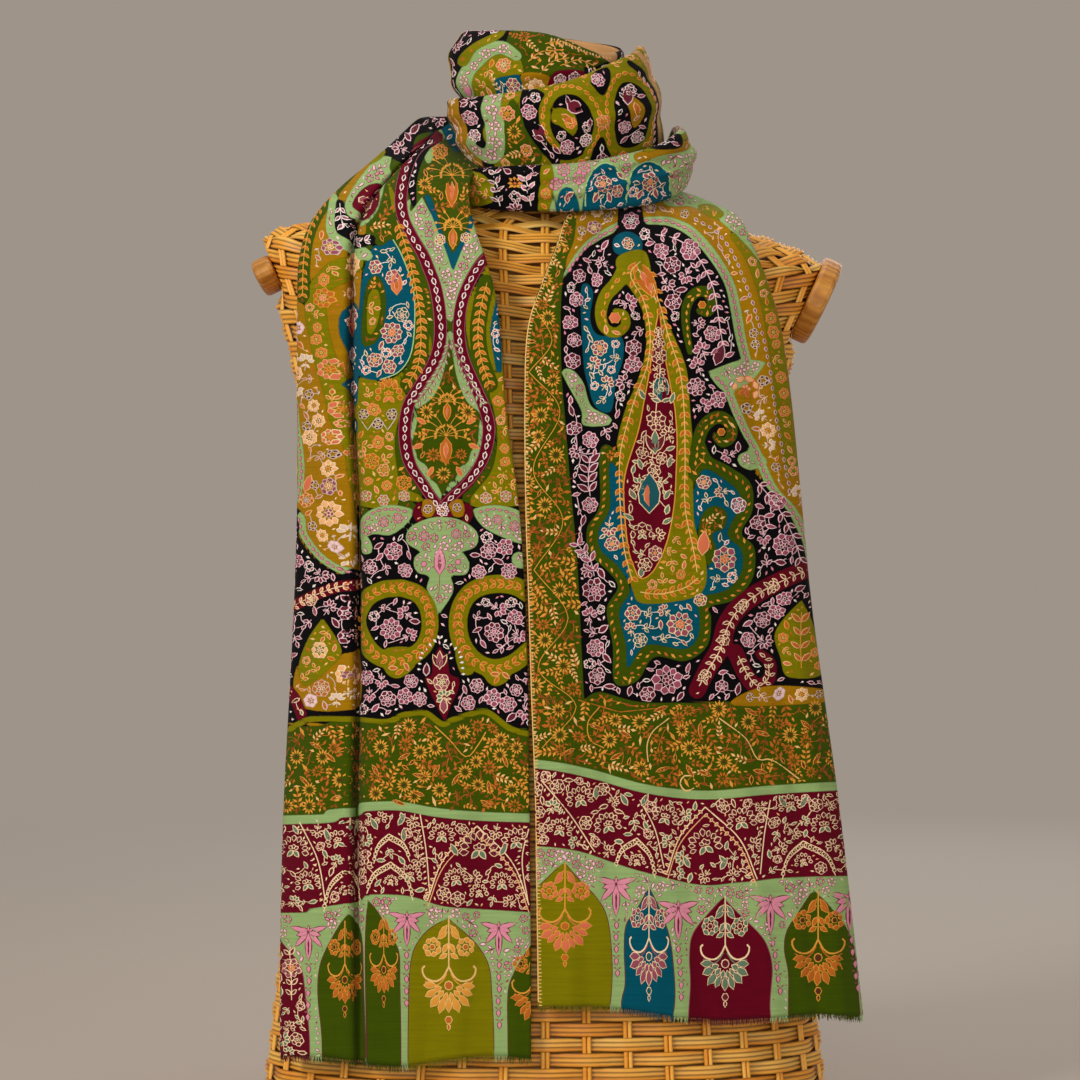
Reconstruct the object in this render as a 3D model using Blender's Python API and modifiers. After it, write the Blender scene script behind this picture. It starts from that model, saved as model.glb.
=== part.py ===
"""A wide fine-wool shawl, wound round the neck of a wicker dress form with both ends hanging.

Metres, +Z up, -Y is the front.  The origin is the middle of the form's flat base.
The cloth is an open surface worked out from short tables, made a wall by Solidify.
"""

import math

import bmesh
import bpy
import numpy as np
from mathutils import Matrix, Vector

MM = 0.001

# ---- Cloth ----
CLOTH_WALL = 2.0 * MM
CLOTH_CLEARANCE = 1.4 * MM      # from the form's surface to the middle of the nearest wall

# ---- Dress form: sections from the base up, in millimetres ----
# height, left half width, right half width, half depth
FORM_SECTIONS = (
    (0.0, 199.0, 199.0, 118.0),
    (42.0, 194.0, 194.0, 116.0),
    (140.0, 183.0, 184.0, 110.0),
    (210.0, 176.0, 177.0, 105.0),
    (280.0, 172.0, 172.0, 102.0),
    (385.0, 170.0, 170.0, 101.0),
    (470.0, 171.0, 170.0, 103.0),
    (505.0, 177.0, 171.0, 102.0),
    (530.0, 182.0, 180.0, 98.0),
    (560.0, 191.0, 194.0, 89.0),
    (580.0, 198.0, 201.0, 80.0),
    (594.0, 200.0, 182.0, 72.0),
    (604.0, 198.0, 156.0, 66.0),
    (611.0, 188.0, 124.0, 55.0),
    (616.0, 150.0, 94.0, 48.0),
    (623.0, 96.0, 74.0, 45.0),
    (636.0, 58.0, 56.0, 43.0),
    (655.0, 46.0, 46.0, 42.0),
    (700.0, 43.0, 43.0, 40.0),
)
FORM_POWER = 2.3                # of the section's rounded-box curve
FORM_SIDES = 36
NECK_LIFT = 12.0 * MM           # thickness of the disc that closes the neck

# ---- Discs that close the arms and the neck ----
SEAM_GAP = 0.3 * MM
CAP_THICKNESS = 14.0 * MM
CAP_TILT = math.radians(25.4)   # lean of a disc's face from the vertical
CAP_EDGE_ROUND = 3.0 * MM
CAP_SIDES = 28
# side (+1 right), centre x, centre z, half height, half depth, in millimetres
ARM_CAPS = (
    ("arm_cap_left", -1, -194.0, 577.0, 13.0, 34.0),
    ("arm_cap_right", 1, 189.0, 559.5, 31.0, 40.0),
)

# ---- Hanging ends: a row for each level, hem first, in millimetres ----
# inner x, y, z, outer x, y, z, roundness, edge power, gap between layers, reach of the back layer
LEFT_ROWS = (
    (-9.5, -124.0, 43.0, -178.0, -88.0, 38.0, 2.6, 0.67, 9.0, 0.8),
    (-9.5, -123.0, 100.0, -178.5, -82.0, 93.0, 2.6, 0.67, 9.0, 0.8),
    (-10.0, -122.0, 153.0, -178.5, -76.0, 147.0, 2.6, 0.67, 9.0, 0.8),
    (-10.5, -120.0, 219.0, -177.0, -70.0, 215.0, 2.6, 0.67, 9.0, 0.8),
    (-11.5, -118.0, 292.0, -173.5, -65.0, 290.0, 2.6, 0.67, 9.0, 0.8),
    (-13.5, -118.0, 352.0, -170.5, -64.0, 351.0, 2.6, 0.67, 9.0, 0.8),
    (-18.0, -120.0, 419.0, -168.5, -64.0, 419.0, 2.6, 0.67, 9.0, 0.8),
    (-25.5, -122.0, 472.0, -168.5, -66.0, 474.0, 2.6, 0.67, 9.0, 0.8),
    (-29.0, -121.0, 518.0, -168.0, -72.0, 522.0, 2.6, 0.67, 9.0, 0.8),
    (-32.5, -116.0, 552.0, -167.5, -76.0, 556.0, 2.5, 0.67, 9.0, 0.8),
    (-39.5, -106.0, 579.0, -166.0, -74.0, 584.0, 2.4, 0.67, 10.0, 0.8),
    (-46.5, -93.0, 599.0, -159.0, -62.0, 609.0, 2.2, 0.7, 10.0, 0.75),
    (-50.5, -80.0, 617.0, -143.0, -42.0, 632.0, 2.0, 0.75, 12.0, 0.65),
    (-53.0, -65.0, 635.0, -124.0, -24.0, 651.0, 1.9, 0.85, 18.0, 0.55),
    (-55.0, -45.0, 646.0, -107.0, -8.0, 668.0, 1.8, 0.9, 20.0, 0.5),
    (-56.5, -20.0, 652.0, -95.0, 3.0, 680.5, 1.7, 0.95, 14.0, 0.3),
    (-62.3, 9.0, 660.0, -88.0, 13.0, 688.0, 1.6, 1.0, 8.0, 0.25),
    (-68.5, 29.0, 692.0, -84.0, 26.0, 691.0, 1.6, 1.0, 7.0, 0.2),
)
RIGHT_ROWS = (
    (-5.0, -120.0, 77.0, 215.0, -78.0, 64.0, 2.6, 0.67, 9.0, 0.8),
    (-5.5, -120.0, 115.0, 211.0, -76.0, 102.0, 2.6, 0.67, 9.0, 0.8),
    (-6.0, -120.0, 153.0, 207.0, -74.0, 141.0, 2.6, 0.67, 9.0, 0.8),
    (-7.0, -118.0, 219.0, 198.5, -72.0, 215.0, 2.6, 0.67, 9.0, 0.8),
    (-9.5, -118.0, 286.0, 189.5, -68.0, 283.0, 2.6, 0.67, 9.0, 0.8),
    (-11.5, -118.0, 352.0, 180.5, -66.0, 351.0, 2.6, 0.67, 9.0, 0.8),
    (-13.5, -120.0, 419.0, 174.0, -65.0, 419.0, 2.6, 0.67, 9.0, 0.8),
    (-14.0, -122.0, 485.0, 167.0, -68.0, 487.0, 2.6, 0.67, 9.0, 0.8),
    (-12.0, -119.0, 532.0, 159.5, -74.0, 535.0, 2.5, 0.67, 9.0, 0.8),
    (-2.0, -109.0, 565.0, 149.5, -76.0, 568.0, 2.4, 0.67, 10.0, 0.8),
    (7.5, -95.0, 590.0, 139.5, -70.0, 594.0, 2.2, 0.67, 10.0, 0.8),
    (12.5, -80.0, 607.0, 132.0, -52.0, 613.0, 2.0, 0.72, 10.0, 0.8),
    (17.0, -70.0, 615.0, 120.0, -26.0, 623.0, 1.8, 0.8, 9.0, 0.75),
    (20.0, -64.0, 627.0, 102.0, -6.0, 633.0, 1.6, 0.9, 8.0, 0.7),
    (24.0, -60.0, 637.0, 80.0, 4.0, 639.0, 1.5, 0.95, 7.0, 0.6),
)
# Soft troughs (depth > 0) and ridges (depth < 0) down each end.
# place across the end at hem, middle, shoulder, neck; depth there; half width in millimetres
LEFT_FOLDS = (
    (0.18, 0.20, 0.18, 0.16, 2.5, 2.0, 2.0, 3.0, 12.0),
    (0.40, 0.40, 0.42, 0.38, 2.5, 1.5, 3.5, 7.0, 11.0),
    (0.67, 0.72, 0.69, 0.73, 7.5, 8.5, 8.5, 7.0, 6.5),
    (0.87, 0.87, 0.86, 0.88, -2.5, -2.0, 2.0, 3.0, 9.0),
)
RIGHT_FOLDS = (
    (0.10, 0.09, 0.10, 0.12, -3.5, -1.5, -1.0, -1.5, 10.0),
    (0.25, 0.24, 0.23, 0.24, 4.5, 3.0, 7.0, 6.0, 9.0),
    (0.50, 0.46, 0.43, 0.42, 4.5, 2.0, 6.0, 6.5, 10.0),
    (0.72, 0.66, 0.62, 0.60, -3.0, -1.5, 5.0, 5.5, 9.0),
    (0.86, 0.85, 0.84, 0.82, 3.5, 2.5, 3.5, 3.0, 9.0),
)
FOLD_LEVELS = (0.0, 0.45, 0.80, 1.0)    # where up an end the four columns apply
FULL_FOLD_WIDTH = 130.0 * MM    # width of a row at which its folds have their whole depth
BACK_FOLD_START = 3.5 * MM      # depth of fold that the back layer doesn't follow
TURN_START = 0.8                # from here across, the back layer lies square to the front one
FALL_ROWS = 21
PLAIN_STATIONS = 13             # stations across the front layer, apart from those at folds
EDGE_CROWDING = 1.7             # how much closer they lie towards the turned edge
BACK_STATIONS = 9
TURN_STATIONS = 3
LEAST_STATION_GAP = 0.012       # as a share of the layer's width
BACK_HEM_LIFT = 9.0 * MM
HEM_WAVE = 3.0 * MM

# ---- Turns round the neck: a row for each bearing, 0 = front, 90 = right, in degrees ----
# bearing, top radius, top height, belly radius, belly height, bottom radius, bottom height
MIDDLE_TURN_CENTRE = (9.0, -4.0)
MIDDLE_TURN = (
    (0.0, 71.0, 700.0, 78.0, 675.0, 65.0, 643.5),
    (45.0, 66.0, 721.0, 76.0, 689.0, 69.5, 653.0),
    (90.0, 60.0, 735.0, 70.0, 704.0, 73.5, 668.0),
    (135.0, 68.0, 724.0, 76.0, 697.0, 74.0, 667.0),
    (180.0, 75.0, 708.0, 80.0, 684.0, 75.0, 658.0),
    (225.0, 79.0, 701.0, 81.0, 678.0, 73.0, 655.0),
    (270.0, 77.0, 698.0, 73.0, 678.0, 63.2, 656.0),
    (315.0, 74.0, 694.0, 76.0, 674.0, 63.5, 648.0),
)
LOWER_TURN_CENTRE = (22.0, -2.0)
LOWER_TURN = (
    (-56.0, 87.0, 645.0, 90.0, 634.0, 88.0, 622.0),
    (-38.0, 80.0, 645.0, 83.0, 632.0, 80.0, 618.0),
    (0.0, 81.0, 645.5, 84.0, 631.0, 80.0, 616.0),
    (38.0, 82.0, 657.0, 84.0, 640.0, 80.0, 622.0),
    (65.0, 80.0, 672.0, 83.0, 653.0, 80.0, 633.0),
    (90.0, 72.0, 679.0, 82.0, 662.0, 78.0, 645.0),
    (125.0, 74.0, 666.0, 83.0, 651.0, 79.0, 637.0),
    (180.0, 80.0, 650.0, 84.0, 638.0, 80.0, 625.0),
    (207.0, 78.0, 648.0, 81.0, 638.0, 78.0, 627.0),
    (232.0, 78.0, 647.0, 79.0, 640.0, 78.0, 633.0),
)
INNER_TURN_CENTRE = (0.0, 0.0)
INNER_TURN = (
    (0.0, 55.0, 737.0, 62.0, 716.0, 57.0, 694.0),
    (45.0, 54.0, 726.0, 58.0, 712.0, 55.0, 698.0),
    (90.0, 54.0, 734.0, 56.0, 720.0, 53.0, 704.0),
    (135.0, 59.0, 744.0, 60.0, 726.0, 55.0, 704.0),
    (180.0, 60.0, 752.0, 65.0, 730.0, 56.0, 702.0),
    (225.0, 59.0, 750.0, 66.0, 726.0, 54.0, 698.0),
    (270.0, 58.0, 746.0, 67.0, 720.0, 51.0, 694.0),
    (315.0, 57.0, 741.0, 65.0, 717.0, 56.0, 692.0),
)
TURN_LIP = 6.0 * MM             # how far an edge of a turn rolls back under itself
TURN_CREASE = 1.6 * MM          # height of the slanting creases along a turn
TURN_CREASES = 2.0              # creases across a turn
CREASE_DRIFT = 1.0              # creases that a whole turn climbs
TURN_COLUMNS = 36
ARC_COLUMNS = 30
TURN_STATIONS_ACROSS = 9

COLOURS = {
    "cloth": (0.10, 0.12, 0.02, 1.0),
    "wicker": (0.50, 0.27, 0.06, 1.0),
    "wood": (0.52, 0.27, 0.09, 1.0),
}


def clear_scene():
    for item in list(bpy.data.objects):
        bpy.data.objects.remove(item, do_unlink=True)


def new_collection(name):
    collection = bpy.data.collections.new(name)
    bpy.context.scene.collection.children.link(collection)
    return collection


def new_material(name, colour, roughness):
    material = bpy.data.materials.new(name)
    material.use_nodes = True
    shader = material.node_tree.nodes["Principled BSDF"]
    shader.inputs["Base Color"].default_value = colour
    shader.inputs["Roughness"].default_value = roughness
    shader.inputs["Metallic"].default_value = 0.0
    return material


def new_object(name, bm, collection, material):
    bmesh.ops.recalc_face_normals(bm, faces=bm.faces[:])
    mesh = bpy.data.meshes.new(name)
    bm.to_mesh(mesh)
    bm.free()
    mesh.shade_smooth()
    mesh.materials.append(material)
    item = bpy.data.objects.new(name, mesh)
    collection.objects.link(item)
    return item


def smooth_rows(rows, places):
    """Read a table of rows at fractional row numbers, on a smooth curve through the rows."""
    table = np.array(rows, dtype=float)
    slopes = np.gradient(table, axis=0)
    places = np.clip(np.asarray(places, dtype=float), 0.0, len(table) - 1.0)
    low = np.minimum(places.astype(int), len(table) - 2)
    step = (places - low)[:, None]
    start, end = table[low], table[low + 1]
    rise_start, rise_end = slopes[low], slopes[low + 1]
    return (start * (1 + 2 * step) * (1 - step) ** 2 + rise_start * step * (1 - step) ** 2
            + end * step ** 2 * (3 - 2 * step) + rise_end * step ** 2 * (step - 1))


def grid_faces(bm, points, wrap):
    """Join a grid of points, points[row][column], into quads."""
    verts = [[bm.verts.new(point) for point in row] for row in points]
    rows, columns = len(points), len(points[0])
    for row in range(rows - 1):
        for column in range(columns if wrap else columns - 1):
            after = (column + 1) % columns
            bm.faces.new((verts[row][column], verts[row][after],
                          verts[row + 1][after], verts[row + 1][column]))
    return verts


# ---- The dress form ----

def form_size(height):
    """Left half width, right half width and half depth at a height, all in metres."""
    table = np.array(FORM_SECTIONS) * MM
    return [float(np.interp(height, table[:, 0], table[:, column])) for column in (1, 2, 3)]


def form_depth(x, height):
    """Half depth of the form at a place, or 0 beside it or above it."""
    left, right, depth = form_size(height)
    if height > FORM_SECTIONS[-1][0] * MM:
        return 0.0
    share = abs(x) / (left if x < 0 else right)
    return depth * (1.0 - share ** FORM_POWER) ** (1.0 / FORM_POWER) if share < 1.0 else 0.0


def form_section(height):
    left, right, depth = form_size(height)
    points = []
    for side in range(FORM_SIDES):
        angle = 2.0 * math.pi * side / FORM_SIDES
        run, rise = math.cos(angle), math.sin(angle)
        wide = right if run > 0 else left
        points.append(Vector((
            wide * math.copysign(abs(run) ** (2.0 / FORM_POWER), run),
            depth * math.copysign(abs(rise) ** (2.0 / FORM_POWER), rise),
            height)))
    return points


def cap_frame(side, centre_x, centre_z):
    """Place a disc with its axis along the arm, leaning outwards at the top."""
    across = Matrix.Rotation(math.radians(90.0), 4, "Y")
    lean = Matrix.Rotation(side * CAP_TILT, 4, "Y")
    return Matrix.Translation((centre_x * MM, 0.0, centre_z * MM)) @ lean @ across


def oval_disc(name, half_height, half_depth, thickness, collection, material):
    """A disc of oval outline with its axis along its own Z."""
    bm = bmesh.new()
    bmesh.ops.create_cone(bm, cap_ends=True, segments=CAP_SIDES, radius1=1.0, radius2=1.0,
                          depth=thickness)
    bmesh.ops.scale(bm, vec=(half_height, half_depth, 1.0), verts=bm.verts[:])
    return new_object(name, bm, collection, material)


def round_edges(item, width):
    bevel = item.modifiers.new("round", "BEVEL")
    bevel.width = width
    bevel.segments = 2
    bevel.limit_method = "ANGLE"
    bevel.angle_limit = math.radians(50.0)


def build_form(collection, cutters, wicker, wood):
    bm = bmesh.new()
    points = [form_section(row[0] * MM) for row in FORM_SECTIONS]
    rings = grid_faces(bm, points, wrap=True)
    bm.faces.new(rings[0])
    bm.faces.new(rings[-1])
    torso = new_object("form_torso", bm, collection, wicker)

    for name, side, centre_x, centre_z, half_height, half_depth in ARM_CAPS:
        place = cap_frame(side, centre_x, centre_z)
        cap = oval_disc(name, half_height * MM, half_depth * MM, CAP_THICKNESS, collection, wood)
        cap.matrix_world = place
        round_edges(cap, CAP_EDGE_ROUND)

        room = bmesh.new()
        bmesh.ops.create_cube(room, size=1.0)
        reach = 4.0 * CAP_THICKNESS
        size = (2.0 * (half_height * MM + SEAM_GAP), 0.3, reach)
        bmesh.ops.scale(room, vec=size, verts=room.verts[:])
        outward = reach / 2.0 - CAP_THICKNESS / 2.0 - SEAM_GAP
        bmesh.ops.translate(room, vec=(0.0, 0.0, side * outward), verts=room.verts[:])
        cutter = new_object("room_for_" + name, room, cutters, wood)
        cutter.matrix_world = place
        cutter.hide_render = True
        cutter.display_type = "WIRE"
        cut = torso.modifiers.new("seat_" + name, "BOOLEAN")
        cut.operation = "DIFFERENCE"
        cut.object = cutter

    top = FORM_SECTIONS[-1]
    neck = oval_disc("neck_cap", top[1] * MM, top[3] * MM, NECK_LIFT, collection, wood)
    neck.location = (0.0, 0.0, top[0] * MM + SEAM_GAP + NECK_LIFT / 2.0)
    round_edges(neck, CAP_EDGE_ROUND)


# ---- The hanging ends ----

def fold_levels(fold, level):
    """Place across, depth and half width of one fold at a level from 0, hem, to 1, neck."""
    place = np.interp(level, FOLD_LEVELS, fold[0:4])
    depth = np.interp(level, FOLD_LEVELS, fold[4:8]) * MM
    return float(place), float(depth), fold[8] * MM


def stations_across(folds, level, width):
    """Stations from 0 to 1 with five at every fold, so that its shape is held."""
    stations = []
    for fold in folds:
        place, _, half_width = fold_levels(fold, level)
        for step in (-1.0, -0.45, 0.0, 0.45, 1.0):
            stations.append(place + step * half_width * min(1.0, width / FULL_FOLD_WIDTH) / width)
    evenly = np.linspace(0.0, 1.0, PLAIN_STATIONS)
    stations += list(1.0 - (1.0 - evenly) ** EDGE_CROWDING)
    return np.clip(np.sort(stations), 0.0, 1.0)


def spread(stations, least):
    """Keep neighbouring stations apart without moving the two ends."""
    gaps = np.maximum(np.diff(stations), least)
    return np.concatenate(([0.0], np.cumsum(gaps) / gaps.sum()))


def fold_depth(folds, level, across, width):
    """How far all folds move a place inwards; a narrow row has narrow, shallow folds."""
    shrink = min(1.0, width / FULL_FOLD_WIDTH)
    total = 0.0
    for fold in folds:
        place, depth, half_width = fold_levels(fold, level)
        distance = (across - place) * width / (half_width * shrink)
        total += shrink ** 2 * depth * math.exp(-1.6 * distance * distance)
    return total


def furthest_back(x, height, gap):
    """How far back the front layer may lie, with the back layer between it and the form."""
    depth = form_depth(x, height)
    return -(depth + CLOTH_CLEARANCE + gap) if depth > 0.0 else 1.0


def fall_section(row, climb, level, folds):
    """One level of a hanging end: front layer, turned edge and back layer, as points.

    climb is how the row changes towards the neck, which tells how far the cloth leans.
    """
    inner, outer = Vector(row[0:3]) * MM, Vector(row[3:6]) * MM
    climb_inner, climb_outer = Vector(climb[0:3]) * MM, Vector(climb[3:6]) * MM
    roundness, edge_power, gap, reach = row[6], row[7], row[8] * MM, row[9]
    width = (outer - inner).length
    lift = HEM_WAVE * max(0.0, 1.0 - 8.0 * level)

    def smooth_front(across):
        x = inner.x + (outer.x - inner.x) * across
        z = inner.z + (outer.z - inner.z) * across
        curve = max(0.0, 1.0 - across ** roundness) ** edge_power
        y = outer.y + (inner.y - outer.y) * curve
        z += lift * math.sin(across * 9.0)
        return Vector((x, min(y, furthest_back(x, z, gap)), z))

    def folded(across, depth):
        base = smooth_front(across)
        room = furthest_back(base.x, base.z, gap) - base.y
        return base + Vector((0.0, min(depth, room), 0.0))

    def inward(across):
        """Level direction along the row, and the one in which the back layer lies."""
        along = smooth_front(min(across + 0.01, 1.0)) - smooth_front(max(across - 0.01, 0.0))
        along.z = 0.0
        along.normalize()
        square = Vector((-along.y, along.x, 0.0)) * (1.0 if outer.x > inner.x else -1.0)
        nearness = max(0.0, (across - TURN_START) / (1.0 - TURN_START))
        steepness = min(max((abs(along.y) - 0.35) / 0.3, 0.0), 1.0)
        side = Vector((0.0, 1.0, 0.0)).lerp(square, max(nearness, steepness)).normalized()
        upward = climb_inner.lerp(climb_outer, across).normalized()
        lean = min(max(upward.dot(side), 0.0), 1.0)
        return along, side * math.sqrt(1.0 - lean * lean) - Vector((0.0, 0.0, lean))

    stations = spread(stations_across(folds, level, width), LEAST_STATION_GAP)
    points = [folded(across, fold_depth(folds, level, across, width)) for across in stations]

    radius = gap / 2.0
    along, side = inward(1.0)
    middle = points[-1] + side * radius
    for step in range(1, TURN_STATIONS + 1):
        angle = math.pi * step / (TURN_STATIONS + 1)
        point = middle + (along * math.sin(angle) - side * math.cos(angle)) * radius
        point.y = min(point.y, furthest_back(point.x, point.z, 0.0))
        points.append(point)
    hem = BACK_HEM_LIFT * max(0.0, 1.0 - 6.0 * level)
    returning = list(np.linspace(0.0, 1.0, BACK_STATIONS))
    for fold in folds:
        if min(fold[4:8]) * MM > BACK_FOLD_START:
            place, _, half_width = fold_levels(fold, level)
            step = 0.7 * half_width * min(1.0, width / FULL_FOLD_WIDTH) / width
            returning += [(1.0 - place - side * step) / reach for side in (-1, 0, 1)]
    returning = spread(np.clip(np.sort(returning), 0.0, 1.0), LEAST_STATION_GAP)
    for across in 1.0 - reach * returning:
        side = inward(across)[1]
        depth = max(0.0, fold_depth(folds, level, across, width) - BACK_FOLD_START)
        lifted = Vector((0.0, 0.0, hem * (1.0 - across)))
        point = folded(across, depth) + side * gap + lifted
        point.y = min(point.y, furthest_back(point.x, point.z, 0.0))
        points.append(point)
    return points


def build_fall(name, rows, folds, collection, material):
    levels = np.linspace(0.0, 1.0, FALL_ROWS)
    table = smooth_rows(rows, levels * (len(rows) - 1))
    climbs = np.gradient(table, axis=0)
    points = [fall_section(row, climb, level, folds)
              for row, climb, level in zip(table, climbs, levels)]
    bm = bmesh.new()
    grid_faces(bm, points, wrap=False)
    fall = new_object(name, bm, collection, material)
    thicken(fall)


def thicken(item):
    wall = item.modifiers.new("wall", "SOLIDIFY")
    wall.thickness = CLOTH_WALL
    wall.offset = 0.0
    wall.use_even_offset = True
    wall.thickness_clamp = 1.0


# ---- The turns round the neck ----

def turn_profile(row, centre, creases):
    """One bearing of a turn: top lip, outer face with its creases, bottom lip, as points."""
    bearing, top_r, top_z, belly_r, belly_z, low_r, low_z = row
    angle = math.radians(bearing)
    outward = Vector((math.sin(angle), -math.cos(angle), 0.0))
    middle = Vector((centre[0], centre[1], 0.0)) * MM
    points = []
    for step in range(TURN_STATIONS_ACROSS):
        share = step / (TURN_STATIONS_ACROSS - 1)
        # a parabola through the top, the belly and the bottom
        radius = (top_r * (1 - share) * (1 - 2 * share) + belly_r * 4 * share * (1 - share)
                  + low_r * share * (2 * share - 1)) * MM
        height = (top_z * (1 - share) * (1 - 2 * share) + belly_z * 4 * share * (1 - share)
                  + low_z * share * (2 * share - 1)) * MM
        phase = creases * share + CREASE_DRIFT * bearing / 360.0
        radius += TURN_CREASE * math.sin(2.0 * math.pi * phase) * math.sin(math.pi * share)
        points.append(middle + outward * radius + Vector((0.0, 0.0, height)))
    top_lip = points[0] - outward * TURN_LIP + Vector((0.0, 0.0, -0.5 * TURN_LIP))
    low_lip = points[-1] - outward * TURN_LIP + Vector((0.0, 0.0, 0.4 * TURN_LIP))
    top_crown = points[0] - outward * 0.45 * TURN_LIP + Vector((0.0, 0.0, 0.25 * TURN_LIP))
    low_crown = points[-1] - outward * 0.45 * TURN_LIP - Vector((0.0, 0.0, 0.2 * TURN_LIP))
    return [top_lip, top_crown] + points + [low_crown, low_lip]


def build_turn(name, rows, centre, columns, closed, collection, material):
    if closed:
        before = (rows[-1][0] - 360.0,) + rows[-1][1:]
        after = [(row[0] + 360.0,) + row[1:] for row in rows[:2]]
        table = (before,) + tuple(rows) + tuple(after)
        places = 1.0 + len(rows) * np.arange(columns) / columns
    else:
        table = rows
        places = (len(rows) - 1) * np.arange(columns) / (columns - 1)
    sections = [turn_profile(row, centre, TURN_CREASES) for row in smooth_rows(table, places)]
    bm = bmesh.new()
    across = [[section[index] for section in sections] for index in range(len(sections[0]))]
    grid_faces(bm, across, wrap=closed)
    turn = new_object(name, bm, collection, material)
    thicken(turn)


def main():
    clear_scene()
    shawl = new_collection("pashmina_shawl_on_form")
    cutters = new_collection("cutters")
    cloth = new_material("cloth", COLOURS["cloth"], 0.85)
    wicker = new_material("wicker", COLOURS["wicker"], 0.55)
    wood = new_material("wood", COLOURS["wood"], 0.5)

    build_form(shawl, cutters, wicker, wood)
    build_fall("left_fall", LEFT_ROWS, LEFT_FOLDS, shawl, cloth)
    build_fall("right_fall", RIGHT_ROWS, RIGHT_FOLDS, shawl, cloth)
    build_turn("lower_turn", LOWER_TURN, LOWER_TURN_CENTRE, ARC_COLUMNS, False, shawl, cloth)
    build_turn("middle_turn", MIDDLE_TURN, MIDDLE_TURN_CENTRE, TURN_COLUMNS, True, shawl, cloth)
    build_turn("inner_turn", INNER_TURN, INNER_TURN_CENTRE, TURN_COLUMNS, True, shawl, cloth)


main()
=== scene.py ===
"""Looks of the pashmina shawl on its wicker dress form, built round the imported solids.

Metres, +Z up, -Y is the front.  The cloth's tables are those of the solids, read more finely and
with a few folds more; beside the collar the left end's inner edge lies up to 12 mm further in.
Places on the cloth are in units of 0.7 mm, on a sheet 1080 units square as seen from the front.
"""

import math

import bpy
import numpy as np
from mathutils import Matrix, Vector
from mathutils.bvhtree import BVHTree


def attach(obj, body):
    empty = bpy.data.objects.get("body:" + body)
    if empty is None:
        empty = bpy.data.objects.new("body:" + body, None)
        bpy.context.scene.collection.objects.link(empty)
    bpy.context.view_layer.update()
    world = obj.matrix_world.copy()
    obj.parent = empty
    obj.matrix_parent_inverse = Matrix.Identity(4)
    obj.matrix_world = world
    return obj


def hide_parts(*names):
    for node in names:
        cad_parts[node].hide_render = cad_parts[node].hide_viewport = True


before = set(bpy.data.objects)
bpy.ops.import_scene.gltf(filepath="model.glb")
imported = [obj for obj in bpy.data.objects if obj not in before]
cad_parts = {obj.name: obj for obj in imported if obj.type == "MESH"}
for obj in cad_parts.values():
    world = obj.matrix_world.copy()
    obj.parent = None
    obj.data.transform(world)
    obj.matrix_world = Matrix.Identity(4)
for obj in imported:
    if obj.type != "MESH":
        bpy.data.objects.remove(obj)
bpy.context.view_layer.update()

MM = 0.001
UNIT = 0.7 * MM                 # one unit of the front sheet, at the form's middle plane
SHEET_MIDDLE = 540.0            # its middle, in units
CAMERA_X = -3.5 * MM
CAMERA_Z = 392.0 * MM
CAMERA_DISTANCE = 2.4
CAMERA_VIEW = 0.756             # width that the camera sees at the middle plane
SENSOR_MM = 36.0
SEED = 7
RNG = np.random.default_rng(SEED)

# ---- Cloth ----
CLOTH_WALL = 1.0 * MM
CLOTH_CLEARANCE = 1.4 * MM      # from the form to the middle of the cloth
HEM_RISE = 5.0 * MM             # the cloth ends this far above its solid's hem: the rest is fringe

# ---- Dress form: height, left half width, right half width, half depth, in millimetres ----
FORM_SECTIONS = (
    (0.0, 199.0, 199.0, 118.0),
    (42.0, 194.0, 194.0, 116.0),
    (140.0, 183.0, 184.0, 110.0),
    (210.0, 176.0, 177.0, 105.0),
    (280.0, 172.0, 172.0, 102.0),
    (385.0, 170.0, 170.0, 101.0),
    (470.0, 171.0, 170.0, 103.0),
    (505.0, 177.0, 171.0, 102.0),
    (530.0, 182.0, 180.0, 98.0),
    (560.0, 191.0, 194.0, 89.0),
    (580.0, 198.0, 201.0, 80.0),
    (594.0, 200.0, 182.0, 72.0),
    (604.0, 198.0, 156.0, 66.0),
    (611.0, 188.0, 124.0, 55.0),
    (616.0, 150.0, 94.0, 48.0),
    (623.0, 96.0, 74.0, 45.0),
    (636.0, 58.0, 56.0, 43.0),
    (655.0, 46.0, 46.0, 42.0),
    (700.0, 43.0, 43.0, 40.0),
)
FORM_POWER = 2.3

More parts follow.
